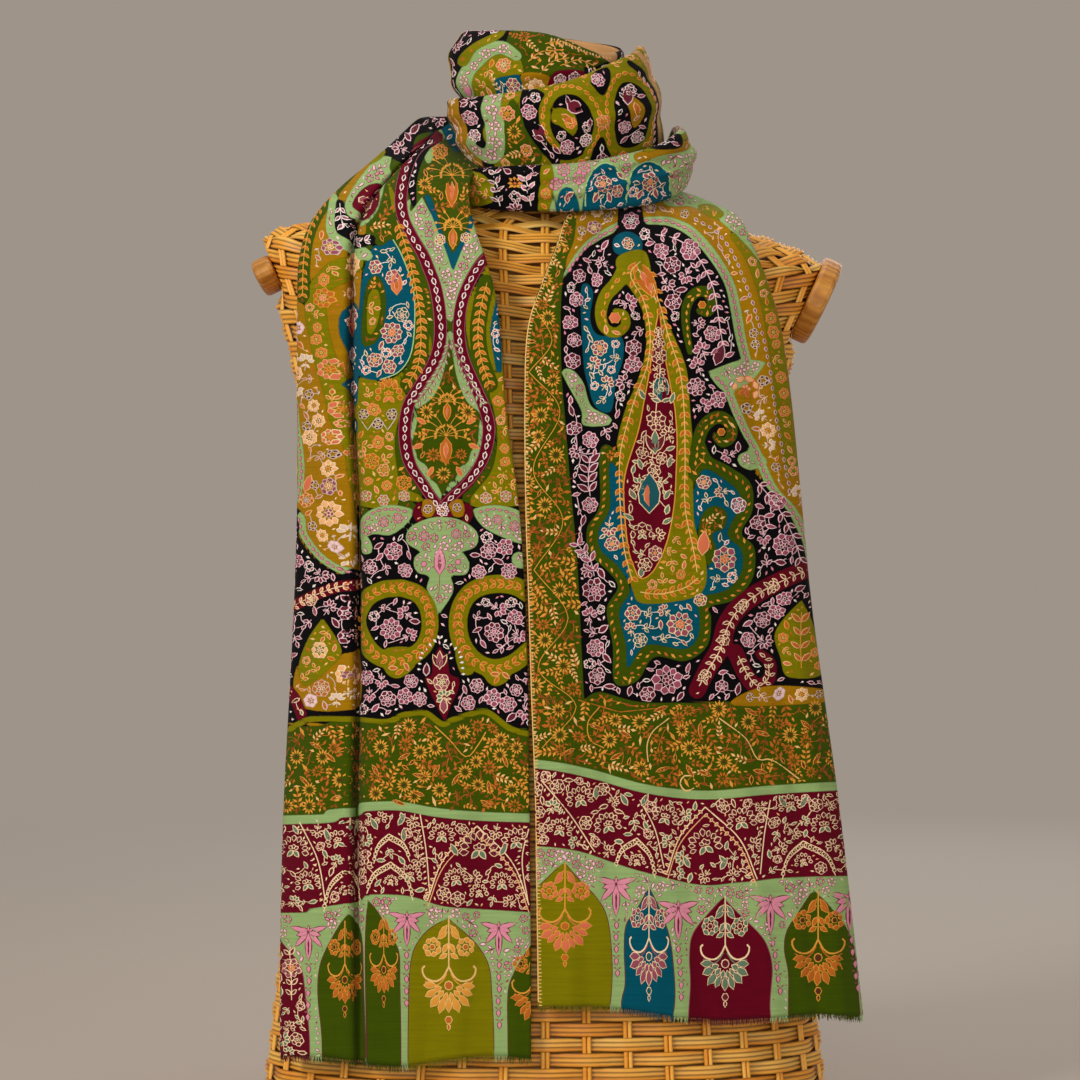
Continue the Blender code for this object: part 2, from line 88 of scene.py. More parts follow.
# ---- Hanging ends: a row for each level, hem first, in millimetres ----
# inner x, y, z, outer x, y, z, roundness, edge power, gap between layers, reach of the back layer
LEFT_ROWS = (
    (-9.5, -124.0, 43.0, -178.0, -88.0, 38.0, 2.6, 0.67, 9.0, 0.8),
    (-9.5, -123.0, 100.0, -178.5, -82.0, 93.0, 2.6, 0.67, 9.0, 0.8),
    (-10.0, -122.0, 153.0, -178.5, -76.0, 147.0, 2.6, 0.67, 9.0, 0.8),
    (-10.5, -120.0, 219.0, -177.0, -70.0, 215.0, 2.6, 0.67, 9.0, 0.8),
    (-11.5, -118.0, 292.0, -173.5, -65.0, 290.0, 2.6, 0.67, 9.0, 0.8),
    (-13.5, -118.0, 352.0, -170.5, -64.0, 351.0, 2.6, 0.67, 9.0, 0.8),
    (-18.0, -120.0, 419.0, -168.5, -64.0, 419.0, 2.6, 0.67, 9.0, 0.8),
    (-25.5, -122.0, 472.0, -168.5, -66.0, 474.0, 2.6, 0.67, 9.0, 0.8),
    (-29.0, -121.0, 518.0, -168.0, -72.0, 522.0, 2.6, 0.67, 9.0, 0.8),
    (-32.5, -116.0, 552.0, -167.5, -76.0, 556.0, 2.5, 0.67, 9.0, 0.8),
    (-39.5, -106.0, 579.0, -166.0, -74.0, 584.0, 2.4, 0.67, 10.0, 0.8),
    (-46.5, -93.0, 599.0, -159.0, -62.0, 609.0, 2.2, 0.7, 10.0, 0.75),
    (-50.5, -80.0, 617.0, -143.0, -42.0, 632.0, 2.0, 0.75, 12.0, 0.65),
    (-51.0, -65.0, 635.0, -124.0, -24.0, 651.0, 1.9, 0.85, 18.0, 0.55),
    (-47.0, -45.0, 646.0, -107.0, -8.0, 668.0, 1.8, 0.9, 20.0, 0.5),
    (-45.0, -20.0, 652.0, -95.0, 3.0, 680.5, 1.7, 0.95, 14.0, 0.3),
    (-50.0, 9.0, 660.0, -88.0, 13.0, 688.0, 1.6, 1.0, 8.0, 0.25),
    (-60.0, 29.0, 692.0, -84.0, 26.0, 691.0, 1.6, 1.0, 7.0, 0.2),
)
RIGHT_ROWS = (
    (-5.0, -120.0, 77.0, 215.0, -78.0, 64.0, 2.6, 0.67, 9.0, 0.8),
    (-5.5, -120.0, 115.0, 211.0, -76.0, 102.0, 2.6, 0.67, 9.0, 0.8),
    (-6.0, -120.0, 153.0, 207.0, -74.0, 141.0, 2.6, 0.67, 9.0, 0.8),
    (-7.0, -118.0, 219.0, 198.5, -72.0, 215.0, 2.6, 0.67, 9.0, 0.8),
    (-9.5, -118.0, 286.0, 189.5, -68.0, 283.0, 2.6, 0.67, 9.0, 0.8),
    (-11.5, -118.0, 352.0, 180.5, -66.0, 351.0, 2.6, 0.67, 9.0, 0.8),
    (-13.5, -120.0, 419.0, 174.0, -65.0, 419.0, 2.6, 0.67, 9.0, 0.8),
    (-14.0, -122.0, 485.0, 167.0, -68.0, 487.0, 2.6, 0.67, 9.0, 0.8),
    (-12.0, -119.0, 532.0, 159.5, -74.0, 535.0, 2.5, 0.67, 9.0, 0.8),
    (-2.0, -109.0, 565.0, 149.5, -76.0, 568.0, 2.4, 0.67, 10.0, 0.8),
    (7.5, -95.0, 590.0, 139.5, -70.0, 594.0, 2.2, 0.67, 10.0, 0.8),
    (12.5, -80.0, 607.0, 132.0, -52.0, 613.0, 2.0, 0.72, 10.0, 0.8),
    (17.0, -70.0, 615.0, 120.0, -26.0, 623.0, 1.8, 0.8, 9.0, 0.75),
    (20.0, -64.0, 627.0, 102.0, -6.0, 633.0, 1.6, 0.9, 8.0, 0.7),
    (24.0, -60.0, 637.0, 80.0, 4.0, 639.0, 1.5, 0.95, 7.0, 0.6),
)
# Soft troughs (depth > 0) and ridges (depth < 0) down each end; the first four or five rows are
# the solid's.  A fold that is as narrow as 2.4 mm is a crease.
# place across the end at hem, middle, shoulder, neck; depth there; half width in millimetres
LEFT_FOLDS = (
    (0.18, 0.20, 0.18, 0.16, 2.5, 2.0, 2.0, 3.0, 12.0),
    (0.40, 0.40, 0.42, 0.38, 2.5, 1.5, 3.5, 7.0, 11.0),
    (0.67, 0.72, 0.69, 0.73, 7.5, 8.5, 8.5, 7.0, 6.5),
    (0.87, 0.87, 0.86, 0.88, -2.5, -2.0, 2.0, 3.0, 9.0),
    (0.06, 0.07, 0.05, 0.05, -1.2, -0.8, -0.5, -1.0, 7.0),
    (0.29, 0.31, 0.30, 0.27, -1.2, -0.9, 0.8, 3.5, 8.0),
    (0.52, 0.55, 0.56, 0.57, -1.0, -0.6, 0.9, 4.0, 9.0),
    (0.77, 0.79, 0.78, 0.80, 1.0, 1.2, 1.4, 3.0, 6.0),
    (0.68, 0.73, 0.70, 0.735, 11.0, 11.0, 11.0, 8.0, 2.4),
    (0.645, 0.695, 0.665, 0.70, -2.0, -2.0, -2.0, -1.0, 4.0),
)
RIGHT_FOLDS = (
    (0.10, 0.09, 0.10, 0.12, -3.5, -1.5, -1.0, -1.5, 10.0),
    (0.25, 0.24, 0.23, 0.24, 4.5, 3.0, 7.0, 6.0, 9.0),
    (0.50, 0.46, 0.43, 0.42, 4.5, 2.0, 6.0, 6.5, 10.0),
    (0.72, 0.66, 0.62, 0.60, -3.0, -1.5, 5.0, 5.5, 9.0),
    (0.86, 0.85, 0.84, 0.82, 3.5, 2.5, 3.5, 3.0, 9.0),
    (0.17, 0.16, 0.16, 0.18, 0.9, 0.5, 1.5, 4.0, 6.0),
    (0.37, 0.35, 0.33, 0.33, -1.2, -0.8, 1.2, 4.0, 7.0),
    (0.60, 0.57, 0.53, 0.51, 1.2, 0.8, 0.5, 3.5, 7.0),
    (0.79, 0.76, 0.73, 0.71, 0.8, 0.6, 1.4, 3.0, 7.0),
    (0.94, 0.93, 0.92, 0.91, -1.5, -1.0, -1.0, 2.0, 6.0),
    (0.30, 0.30, 0.31, 0.33, 0.0, 0.0, 3.0, 7.0, 4.0),
    (0.46, 0.44, 0.42, 0.46, 0.5, 0.0, -2.5, -4.0, 4.5),
    (0.56, 0.54, 0.53, 0.56, 0.5, 0.5, 3.0, 6.0, 4.0),
)
FOLD_LEVELS = (0.0, 0.45, 0.80, 1.0)
FULL_FOLD_WIDTH = 130.0 * MM
BACK_FOLD_START = 3.5 * MM
TURN_START = 0.8
HEM_WAVE = 3.0 * MM
BACK_HEM_LIFT = 9.0 * MM
FALL_ROWS = 204
FRONT_COLUMNS = 100
EDGE_COLUMNS = 6
BACK_COLUMNS = 34
SIDE_FACING = 0.45              # where a turn faces less than this, its chart goes by true length
RIPPLE = 0.35 * MM              # small unevenness all over the cloth
RIPPLE_FADE = 12.0              # it fades out over the last twelfth before the turned edge
FOLD_SHARPNESS = 1.6            # how steeply a fold ends at its half width
CROWD_SAMPLES = 801
EDGE_CROWD, EDGE_CROWD_REACH = 1.2, 0.07                # more stations near the turned edge
FOLD_CROWD, FOLD_CROWD_POWER, FOLD_CROWD_SHARPNESS = 0.22, 0.7, 1.2     # and at folds
HEM_WAVE_FADE = 8.0             # the hem's wave fades out over this share of the length, inverted
HEM_WAVE_RATE = 9.0             # radians of the wave from the inner to the outer edge
BACK_HEM_FADE = 6.0
SLOPE_STEP = 0.01               # step across an end over which its direction is read
STEEP_FROM, STEEP_RUN = 0.35, 0.3       # where the back layer goes square to the front one
LENGTH_SAMPLES = 600
CHART_SLACK = 0.45              # least share of its true length that hidden cloth gets on the chart

# ---- Turns round the neck: bearing in degrees, 0 = front, 90 = right; the rest in mm ----
# bearing, top radius, top height, belly radius, belly height, bottom radius, bottom height
MIDDLE_TURN_CENTRE = (9.0, -4.0)
MIDDLE_TURN = (
    (0.0, 71.0, 700.0, 78.0, 675.0, 65.0, 643.5),
    (45.0, 66.0, 721.0, 76.0, 689.0, 69.5, 653.0),
    (90.0, 60.0, 735.0, 70.0, 704.0, 73.5, 668.0),
    (135.0, 68.0, 724.0, 76.0, 697.0, 74.0, 667.0),
    (180.0, 75.0, 708.0, 80.0, 684.0, 75.0, 658.0),
    (225.0, 79.0, 701.0, 81.0, 678.0, 73.0, 655.0),
    (270.0, 77.0, 698.0, 73.0, 678.0, 63.2, 656.0),
    (315.0, 74.0, 694.0, 76.0, 674.0, 63.5, 648.0),
)
LOWER_TURN_CENTRE = (22.0, -2.0)
LOWER_TURN = (
    (-56.0, 87.0, 645.0, 90.0, 634.0, 88.0, 622.0),
    (-38.0, 80.0, 645.0, 83.0, 632.0, 80.0, 618.0),
    (0.0, 81.0, 645.5, 84.0, 631.0, 80.0, 616.0),
    (38.0, 82.0, 657.0, 84.0, 640.0, 80.0, 622.0),
    (65.0, 80.0, 672.0, 83.0, 653.0, 80.0, 633.0),
    (90.0, 72.0, 679.0, 82.0, 662.0, 78.0, 645.0),
    (125.0, 74.0, 666.0, 83.0, 651.0, 79.0, 637.0),
    (180.0, 80.0, 650.0, 84.0, 638.0, 80.0, 625.0),
    (207.0, 78.0, 648.0, 81.0, 638.0, 78.0, 627.0),
    (232.0, 78.0, 647.0, 79.0, 640.0, 78.0, 633.0),
)
INNER_TURN_CENTRE = (0.0, 0.0)
INNER_TURN = (
    (0.0, 55.0, 737.0, 62.0, 716.0, 57.0, 694.0),
    (45.0, 54.0, 726.0, 58.0, 712.0, 55.0, 698.0),
    (90.0, 54.0, 734.0, 56.0, 720.0, 53.0, 704.0),
    (135.0, 59.0, 744.0, 60.0, 726.0, 55.0, 704.0),
    (180.0, 60.0, 752.0, 65.0, 730.0, 56.0, 702.0),
    (225.0, 59.0, 750.0, 66.0, 726.0, 54.0, 698.0),
    (270.0, 58.0, 746.0, 67.0, 720.0, 51.0, 694.0),
    (315.0, 57.0, 741.0, 65.0, 717.0, 56.0, 692.0),
)
TURN_LIP = 6.0 * MM
TURN_CREASE = 1.6 * MM
TURN_CREASES = 2.0
CREASE_DRIFT = 1.0
FINE_CREASE = 0.6 * MM          # the scene's own smaller creases on the turns
FINE_CREASES = 5.0
FINE_CREASE_SWAY, FINE_CREASE_DRIFT = 0.35, 2.0
FINE_CREASE_LEAST, FINE_CREASE_SWELL, FINE_CREASE_TURN = 0.6, 0.4, 50.0
SIDE_FACING_RUN = 0.9           # over this loss of facing a turn's chart reaches its true length
TURN_COLUMNS = 200
ARC_COLUMNS = 160
TURN_STATIONS_ACROSS = 27


def smooth_rows(rows, places):
    """Read a table of rows at fractional row numbers, on a smooth curve through the rows."""
    table = np.array(rows, dtype=float)
    slopes = np.gradient(table, axis=0)
    places = np.clip(np.asarray(places, dtype=float), 0.0, len(table) - 1.0)
    low = np.minimum(places.astype(int), len(table) - 2)
    step = (places - low)[:, None]
    start, end = table[low], table[low + 1]
    rise_start, rise_end = slopes[low], slopes[low + 1]
    return (start * (1 + 2 * step) * (1 - step) ** 2 + rise_start * step * (1 - step) ** 2
            + end * step ** 2 * (3 - 2 * step) + rise_end * step ** 2 * (step - 1))


def form_size(height):
    """Left half width, right half width and half depth at heights, all in metres."""
    table = np.array(FORM_SECTIONS) * MM
    return [np.interp(height, table[:, 0], table[:, column]) for column in (1, 2, 3)]


def form_depth(x, height):
    """Half depth of the form at places, or 0 beside it or above it."""
    left, right, depth = form_size(height)
    share = np.abs(x) / np.where(x < 0, left, right)
    inside = (share < 1.0) & (height <= FORM_SECTIONS[-1][0] * MM)
    flat = np.clip(1.0 - np.minimum(share, 1.0) ** FORM_POWER, 0.0, 1.0)
    return np.where(inside, depth * flat ** (1.0 / FORM_POWER), 0.0)


def unit_rows(vectors):
    """Vectors at length one."""
    return vectors / np.maximum(np.linalg.norm(vectors, axis=-1, keepdims=True), 1e-12)


def run_along(line):
    """Length from a line's first point to each of its points."""
    return np.concatenate(([0.0], np.cumsum(np.linalg.norm(np.diff(line, axis=0), axis=1))))


def points_at(spots, run, line):
    """Places on a line at lengths along it."""
    return np.stack([np.interp(spots, run, line[:, axis]) for axis in range(line.shape[1])], axis=1)


def quads_of(index):
    """Quads between the neighbours in a table of point numbers."""
    corners = [index[:-1, :-1], index[:-1, 1:], index[1:, 1:], index[1:, :-1]]
    return np.stack(corners, axis=-1).reshape(-1, 4)


def linked(name, data):
    """A new object in the scene."""
    item = bpy.data.objects.new(name, data)
    bpy.context.scene.collection.objects.link(item)
    return item


# ---- The hanging ends ----

def fold_depth(folds, level, across, width):
    """How far all folds move places across inwards; a narrow row has narrow, shallow folds."""
    shrink = min(1.0, width / FULL_FOLD_WIDTH)
    total = np.zeros_like(across)
    for fold in folds:
        place = np.interp(level, FOLD_LEVELS, fold[0:4])
        depth = np.interp(level, FOLD_LEVELS, fold[4:8]) * MM
        distance = (across - place) * width / (fold[8] * MM * shrink)
        total += shrink ** 2 * depth * np.exp(-FOLD_SHARPNESS * distance * distance)
    return total


def crowded(folds, level, width, count):
    """Places from 0 to 1 across a layer, closer together at folds and towards the turned edge."""
    fine = np.linspace(0.0, 1.0, CROWD_SAMPLES)
    density = 1.0 + EDGE_CROWD * np.exp(-((1.0 - fine) / EDGE_CROWD_REACH) ** 2)
    for fold in folds:
        place = np.interp(level, FOLD_LEVELS, fold[0:4])
        density += FOLD_CROWD * abs(max(fold[4:8])) ** FOLD_CROWD_POWER * np.exp(
            -FOLD_CROWD_SHARPNESS * ((fine - place) * width / (fold[8] * MM)) ** 2)
    total = np.concatenate(([0.0], np.cumsum((density[1:] + density[:-1]) / 2.0)))
    return np.interp(np.linspace(0.0, total[-1], count), total, fine)


def furthest_back(x, height, gap):
    """How far back the front layer may lie, with the back layer between it and the form."""
    depth = form_depth(x, height)
    return np.where(depth > 0.0, -(depth + CLOTH_CLEARANCE + gap), 1.0)


def ripple(x, z):
    """Small soft unevenness, the same on every run."""
    return RIPPLE * (np.sin(x * 97.0 + z * 23.0 + 0.7) * np.sin(z * 41.0 - x * 13.0)
                     + 0.8 * np.sin(x * 211.0 - z * 31.0) * np.sin(z * 17.0 + 1.1))


def fall_section(row, climb, level, folds):
    """One level of a hanging end: front layer, turned edge and back layer."""
    inner, outer = row[0:3] * MM, row[3:6] * MM
    climb_inner, climb_outer = climb[0:3], climb[3:6]
    roundness, edge_power, gap, reach = row[6], row[7], row[8] * MM, row[9]
    width = float(np.linalg.norm(outer - inner))
    lift = HEM_WAVE * max(0.0, 1.0 - HEM_WAVE_FADE * level)

    def smooth_front(across):
        x = inner[0] + (outer[0] - inner[0]) * across
        z = inner[2] + (outer[2] - inner[2]) * across
        curve = np.maximum(0.0, 1.0 - across ** roundness) ** edge_power
        y = outer[1] + (inner[1] - outer[1]) * curve
        z = z + lift * np.sin(across * HEM_WAVE_RATE)
        return np.stack([x, np.minimum(y, furthest_back(x, z, gap)), z], axis=1)

    def folded(across, depth):
        base = smooth_front(across)
        room = furthest_back(base[:, 0], base[:, 2], gap) - base[:, 1]
        base[:, 1] += np.minimum(depth, room)
        return base

    def inward(across):
        along = (smooth_front(np.minimum(across + SLOPE_STEP, 1.0))
                 - smooth_front(np.maximum(across - SLOPE_STEP, 0.0)))
        along[:, 2] = 0.0
        along = unit_rows(along)
        square = np.stack([-along[:, 1], along[:, 0], np.zeros(len(along))], axis=1)
        square *= 1.0 if outer[0] > inner[0] else -1.0
        nearness = np.maximum(0.0, (across - TURN_START) / (1.0 - TURN_START))
        steepness = np.clip((np.abs(along[:, 1]) - STEEP_FROM) / STEEP_RUN, 0.0, 1.0)
        share = np.maximum(nearness, steepness)[:, None]
        side = unit_rows(np.array([[0.0, 1.0, 0.0]]) * (1.0 - share) + square * share)
        upward = unit_rows(climb_inner * (1.0 - across[:, None]) + climb_outer * across[:, None])
        lean = np.clip((upward * side).sum(axis=1), 0.0, 1.0)[:, None]
        return along, side * np.sqrt(1.0 - lean ** 2) - np.array([[0.0, 0.0, 1.0]]) * lean

    stations = crowded(folds, level, width, FRONT_COLUMNS)
    front = folded(stations, fold_depth(folds, level, stations, width))
    front[:, 1] += (ripple(front[:, 0], front[:, 2])
                    * np.minimum(1.0, RIPPLE_FADE * (1.0 - stations)))

    radius = gap / 2.0
    along, side = inward(np.array([1.0]))
    angles = (math.pi * np.arange(1, EDGE_COLUMNS + 1) / (EDGE_COLUMNS + 1))[:, None]
    turned = front[-1] + side * radius + (along * np.sin(angles) - side * np.cos(angles)) * radius
    turned[:, 1] = np.minimum(turned[:, 1], furthest_back(turned[:, 0], turned[:, 2], 0.0))

    hem = BACK_HEM_LIFT * max(0.0, 1.0 - BACK_HEM_FADE * level)
    across = 1.0 - reach * np.linspace(0.0, 1.0, BACK_COLUMNS)
    side = inward(across)[1]
    depth = np.maximum(0.0, fold_depth(folds, level, across, width) - BACK_FOLD_START)
    back = folded(across, depth) + side * gap
    back[:, 2] += hem * (1.0 - across)
    back[:, 1] = np.minimum(back[:, 1], furthest_back(back[:, 0], back[:, 2], 0.0))
    return np.concatenate([front, turned, back])


def fall_grid(rows, folds):
    """All levels of a hanging end as grid[level][station], evenly spaced down its length."""
    fine = np.linspace(0.0, len(rows) - 1.0, LENGTH_SAMPLES)
    middle = smooth_rows(rows, fine)
    middle = (middle[:, 0:3] + middle[:, 3:6]) / 2.0
    run = run_along(middle)
    places = np.interp(np.linspace(HEM_RISE / MM, run[-1], FALL_ROWS), run, fine)
    table = smooth_rows(rows, places)
    climbs = np.gradient(table, axis=0)
    levels = places / (len(rows) - 1.0)
    return np.array([fall_section(row, climb, level, folds)
                     for row, climb, level in zip(table, climbs, levels)])


def seen_from_front(points):
    """Places on the front sheet, in units, of points in space."""
    scale = UNIT * (CAMERA_DISTANCE + points[..., 1]) / CAMERA_DISTANCE
    across = SHEET_MIDDLE + (points[..., 0] - CAMERA_X) / scale
    down = SHEET_MIDDLE - (points[..., 2] - CAMERA_Z) / scale
    return np.stack([across, down], axis=-1)


def fall_chart(grid):
    """Places on the cloth: as seen from the front, going on by true length round the edge."""
    seen = seen_from_front(grid)
    steps = np.linalg.norm(np.diff(grid, axis=1), axis=2) / UNIT
    way = 1.0 if seen[0, 0, 0] < seen[0, FRONT_COLUMNS // 2, 0] else -1.0
    chart = seen.copy()
    for column in range(1, grid.shape[1]):
        onward = chart[:, column - 1, 0] * way + steps[:, column - 1] * (
            CHART_SLACK if column < FRONT_COLUMNS else 1.0)
        if column < FRONT_COLUMNS:
            onward = np.maximum(onward, seen[:, column, 0] * way)
        chart[:, column, 0] = onward * way
    edge = FRONT_COLUMNS - 1
    fall = grid[:, edge:, 2] - grid[:, edge:edge + 1, 2]
    chart[:, edge:, 1] = seen[:, edge:edge + 1, 1] - fall / UNIT
    return chart


# ---- The turns round the neck ----

LIP_ROLLED = ((-1.0, -0.5), (-0.8, 0.05), (-0.45, 0.25), (-0.15, 0.16))
LIP_TURNED_DOWN = ((-0.36, -2.4), (-0.34, -1.2), (-0.3, -0.25), (-0.12, 0.1))
FOOT = ((-0.15, -0.12), (-0.45, -0.2), (-0.8, -0.02), (-1.0, 0.4))
REVERSE_BEARINGS = (70.0, 100.0, 205.0, 235.0)   # where the top band shows its reverse inside


def turn_grid(rows, centre, columns, closed, reverse=False):
    """grid[column][station] of a turn; a closed one starts and ends at the back."""
    if closed:
        before = [(row[0] - 360.0,) + row[1:] for row in rows[3:]]
        after = [(row[0] + 360.0,) + row[1:] for row in rows[:2]]
        table = tuple(before) + tuple(rows) + tuple(after)
        places = len(before) - 4.0 + len(rows) * np.arange(columns + 1) / columns
    else:
        table = rows
        places = (len(rows) - 1) * np.arange(columns) / (columns - 1)
    read = smooth_rows(table, places)
    share = np.linspace(0.0, 1.0, TURN_STATIONS_ACROSS)
    parts = ((1 - share) * (1 - 2 * share), 4 * share * (1 - share), share * (2 * share - 1))
    radius = sum(np.outer(read[:, 1 + 2 * i], parts[i]) for i in range(3)) * MM
    height = sum(np.outer(read[:, 2 + 2 * i], parts[i]) for i in range(3)) * MM
    bearing = read[:, 0:1]
    phase = TURN_CREASES * share + CREASE_DRIFT * (bearing % 360.0) / 360.0
    fade = np.sin(np.pi * share)
    radius = radius + TURN_CREASE * np.sin(2.0 * np.pi * phase) * fade
    fine = (FINE_CREASES * share + FINE_CREASE_SWAY * np.sin(np.radians(bearing * 3.0))
            + FINE_CREASE_DRIFT * bearing / 360.0)
    uneven = FINE_CREASE_LEAST + FINE_CREASE_SWELL * np.sin(
        np.radians(bearing * 2.0 + FINE_CREASE_TURN))
    radius = radius + FINE_CREASE * np.sin(2.0 * np.pi * fine) * fade * uneven
    angle = np.radians(bearing)
    outward = np.stack([np.sin(angle), -np.cos(angle), np.zeros_like(angle)], axis=-1)
    middle = np.array([centre[0] * MM, centre[1] * MM, 0.0])
    face = middle + outward * radius[..., None] + np.stack(
        [np.zeros_like(height), np.zeros_like(height), height], axis=-1)
    up = np.array([0.0, 0.0, 1.0])
    shown = np.interp(bearing % 360.0, REVERSE_BEARINGS, (0.0, 1.0, 1.0, 0.0))[..., None] * reverse
    lips = []
    for rolled, down in zip(LIP_ROLLED, LIP_TURNED_DOWN):
        run = rolled[0] * (1.0 - shown) + down[0] * shown
        rise = rolled[1] * (1.0 - shown) + down[1] * shown
        lips.append(face[:, :1] + (outward * run + up * rise) * TURN_LIP)
    feet = [face[:, -1:] + (outward * run + up * rise) * TURN_LIP for run, rise in FOOT]
    return np.concatenate(lips + [face] + feet, axis=1)


def turn_chart(grid):
    """Places on a turn: as seen from the front, going on by true length round the sides."""
    seen = seen_from_front(grid)
    top, bottom = len(LIP_ROLLED), grid.shape[1] - len(FOOT) - 1
    belly = (top + bottom) // 2
    start = int(np.argmin(np.abs(grid[:, belly, 0] - CAMERA_X) + (grid[:, belly, 1] > 0.0)))
    steps = np.linalg.norm(np.diff(grid[:, belly], axis=0), axis=1) / UNIT
    facing = np.diff(seen[:, belly, 0]) / steps
    turned_away = np.clip((SIDE_FACING - facing) / SIDE_FACING_RUN, 0, 1)
    growth = steps * np.where(facing > SIDE_FACING, facing,
                              SIDE_FACING + (1.0 - SIDE_FACING) * turned_away)
    run = np.concatenate(([0.0], np.cumsum(growth)))
    around = seen[start, belly, 0] + run - run[start]
    down = seen[:, :, 1].copy()
    lengths = np.linalg.norm(np.diff(grid, axis=1), axis=2) / UNIT
    for station in range(top - 1, -1, -1):
        down[:, station] = down[:, station + 1] - lengths[:, station]
    for station in range(bottom + 1, grid.shape[1]):
        down[:, station] = down[:, station - 1] + lengths[:, station - 1]
    return np.stack([np.broadcast_to(around[:, None], down.shape), down], axis=-1)


def cloth_object(name, grid, chart):
    """A mesh of the grid, with its chart kept as an attribute in units."""
    rows, columns = grid.shape[:2]
    quads = quads_of(np.arange(rows * columns).reshape(rows, columns))
    mesh = bpy.data.meshes.new(name)
    mesh.from_pydata(grid.reshape(-1, 3).tolist(), [], quads.tolist())
    mesh.shade_smooth()
    item = linked(name, mesh)
    place = mesh.attributes.new("cloth_place", "FLOAT_VECTOR", "POINT")
    flat = np.concatenate((chart.reshape(-1, 2), np.zeros((rows * columns, 1))), axis=1)
    place.data.foreach_set("vector", flat.astype(np.float32).ravel())
    return item


# ---- Drawing on a chart ----

GROUNDS = ("maroon", "teal", "olive", "green", "mustard", "mint", "tan")
FAR = 40.0                      # distances to a colour's edge are kept up to this many units
SEGMENT_CHUNK = 1500000         # points times segments that are worked on at once
CURVE_STEPS = 6                 # pieces that a curve gets between two of its points


def smooth_line(points):
    """A smooth open line through points; a point given twice is a corner."""
    points = np.array(points, dtype=float)
    ends = np.concatenate((2 * points[:1] - points[1:2], points, 2 * points[-1:] - points[-2:-1]))
    share = np.linspace(0.0, 1.0, CURVE_STEPS, endpoint=False)[:, None]
    line = []
    for a, b, c, d in zip(ends[:-3], ends[1:-2], ends[2:-1], ends[3:]):
        if np.allclose(b, c):
            continue
        line.append(0.5 * (2 * b + (c - a) * share + (2 * a - 5 * b + 4 * c - d) * share ** 2
                           + (3 * b - a - 3 * c + d) * share ** 3))
    return np.concatenate(line + [points[-1:]])


def smooth_loop(points):
    """A smooth closed line through points; a point given twice is a corner."""
    points = [tuple(point) for point in points]
    wrapped = points[-1:] + points + points[:2]
    line = []
    for a, b, c, d in zip(*(wrapped[i:len(wrapped) - 3 + i] for i in range(4))):
        if b == c:
            continue
        share = np.linspace(0.0, 1.0, CURVE_STEPS, endpoint=False)[:, None]
        a, b, c, d = (np.array(point, dtype=float) for point in (a, b, c, d))
        line.append(0.5 * (2 * b + (c - a) * share + (2 * a - 5 * b + 4 * c - d) * share ** 2
                           + (3 * b - a - 3 * c + d) * share ** 3))
    return np.concatenate(line)


def in_chunks(points, width):
    """Runs of points short enough to be held against that many segments at once."""
    count = max(1, SEGMENT_CHUNK // max(1, width))
    return [slice(start, start + count) for start in range(0, len(points), count)]


def segment_distance(points, starts, ends, widths=None):
    """Least distance from points to segments, less the segments' half widths if given."""
    run = ends - starts
    length = np.maximum((run * run).sum(axis=1), 1e-12)
    best = np.empty(len(points))
    for part in in_chunks(points, len(starts)):
        offset = points[part, None, :] - starts
        share = np.clip((offset * run).sum(axis=2) / length, 0.0, 1.0)
        away = offset - share[..., None] * run
        away = np.sqrt((away * away).sum(axis=2))
        if widths is not None:
            away -= widths[:-1] * (1.0 - share) + widths[1:] * share
        best[part] = away.min(axis=1)
    return best


def near(points, line):
    """Numbers of the points that aren't far from a line's box."""
    low, high = line.min(axis=0) - FAR, line.max(axis=0) + FAR
    return np.nonzero(((points > low) & (points < high)).all(axis=1))[0]


def inside_loop(points, loop):
    """Whether each point lies inside a closed line."""
    after = np.roll(loop, -1, axis=0)
    rise = np.where(after[:, 1] == loop[:, 1], 1.0, after[:, 1] - loop[:, 1])
    inside = np.empty(len(points), dtype=bool)
    for part in in_chunks(points, len(loop)):
        x, y = points[part, 0:1], points[part, 1:2]
        spans = (loop[:, 1] > y) != (after[:, 1] > y)
        left = x < (after[:, 0] - loop[:, 0]) * (y - loop[:, 1]) / rise + loop[:, 0]
        inside[part] = (spans & left).sum(axis=1) % 2 == 1
    return inside


def area_shape(loop):
    """A filled closed line, as a function that gives distance inside it."""
    loop = np.array(loop, dtype=float)

    def distance(points):
        found = np.full(len(points), -FAR)
        close = near(points, loop)
        if len(close):
            picked = points[close]
            away = segment_distance(picked, loop, np.roll(loop, -1, axis=0))
            found[close] = np.where(inside_loop(picked, loop), away, -away)
        return np.clip(found, -FAR, FAR)

    return distance


def band_shape(line, half_width):
    """A line with a width, which may differ along it, as a function that gives distance inside."""
    line = np.array(line, dtype=float)
    widths = np.interp(np.linspace(0, 1, len(line)), np.linspace(0, 1, np.size(half_width)),
                       np.atleast_1d(half_width).astype(float))

    def distance(points):
        found = np.full(len(points), -FAR)
        close = near(points, line)
        if len(close):
            found[close] = -segment_distance(points[close], line[:-1], line[1:], widths)
        return np.clip(found, -FAR, FAR)

    return distance


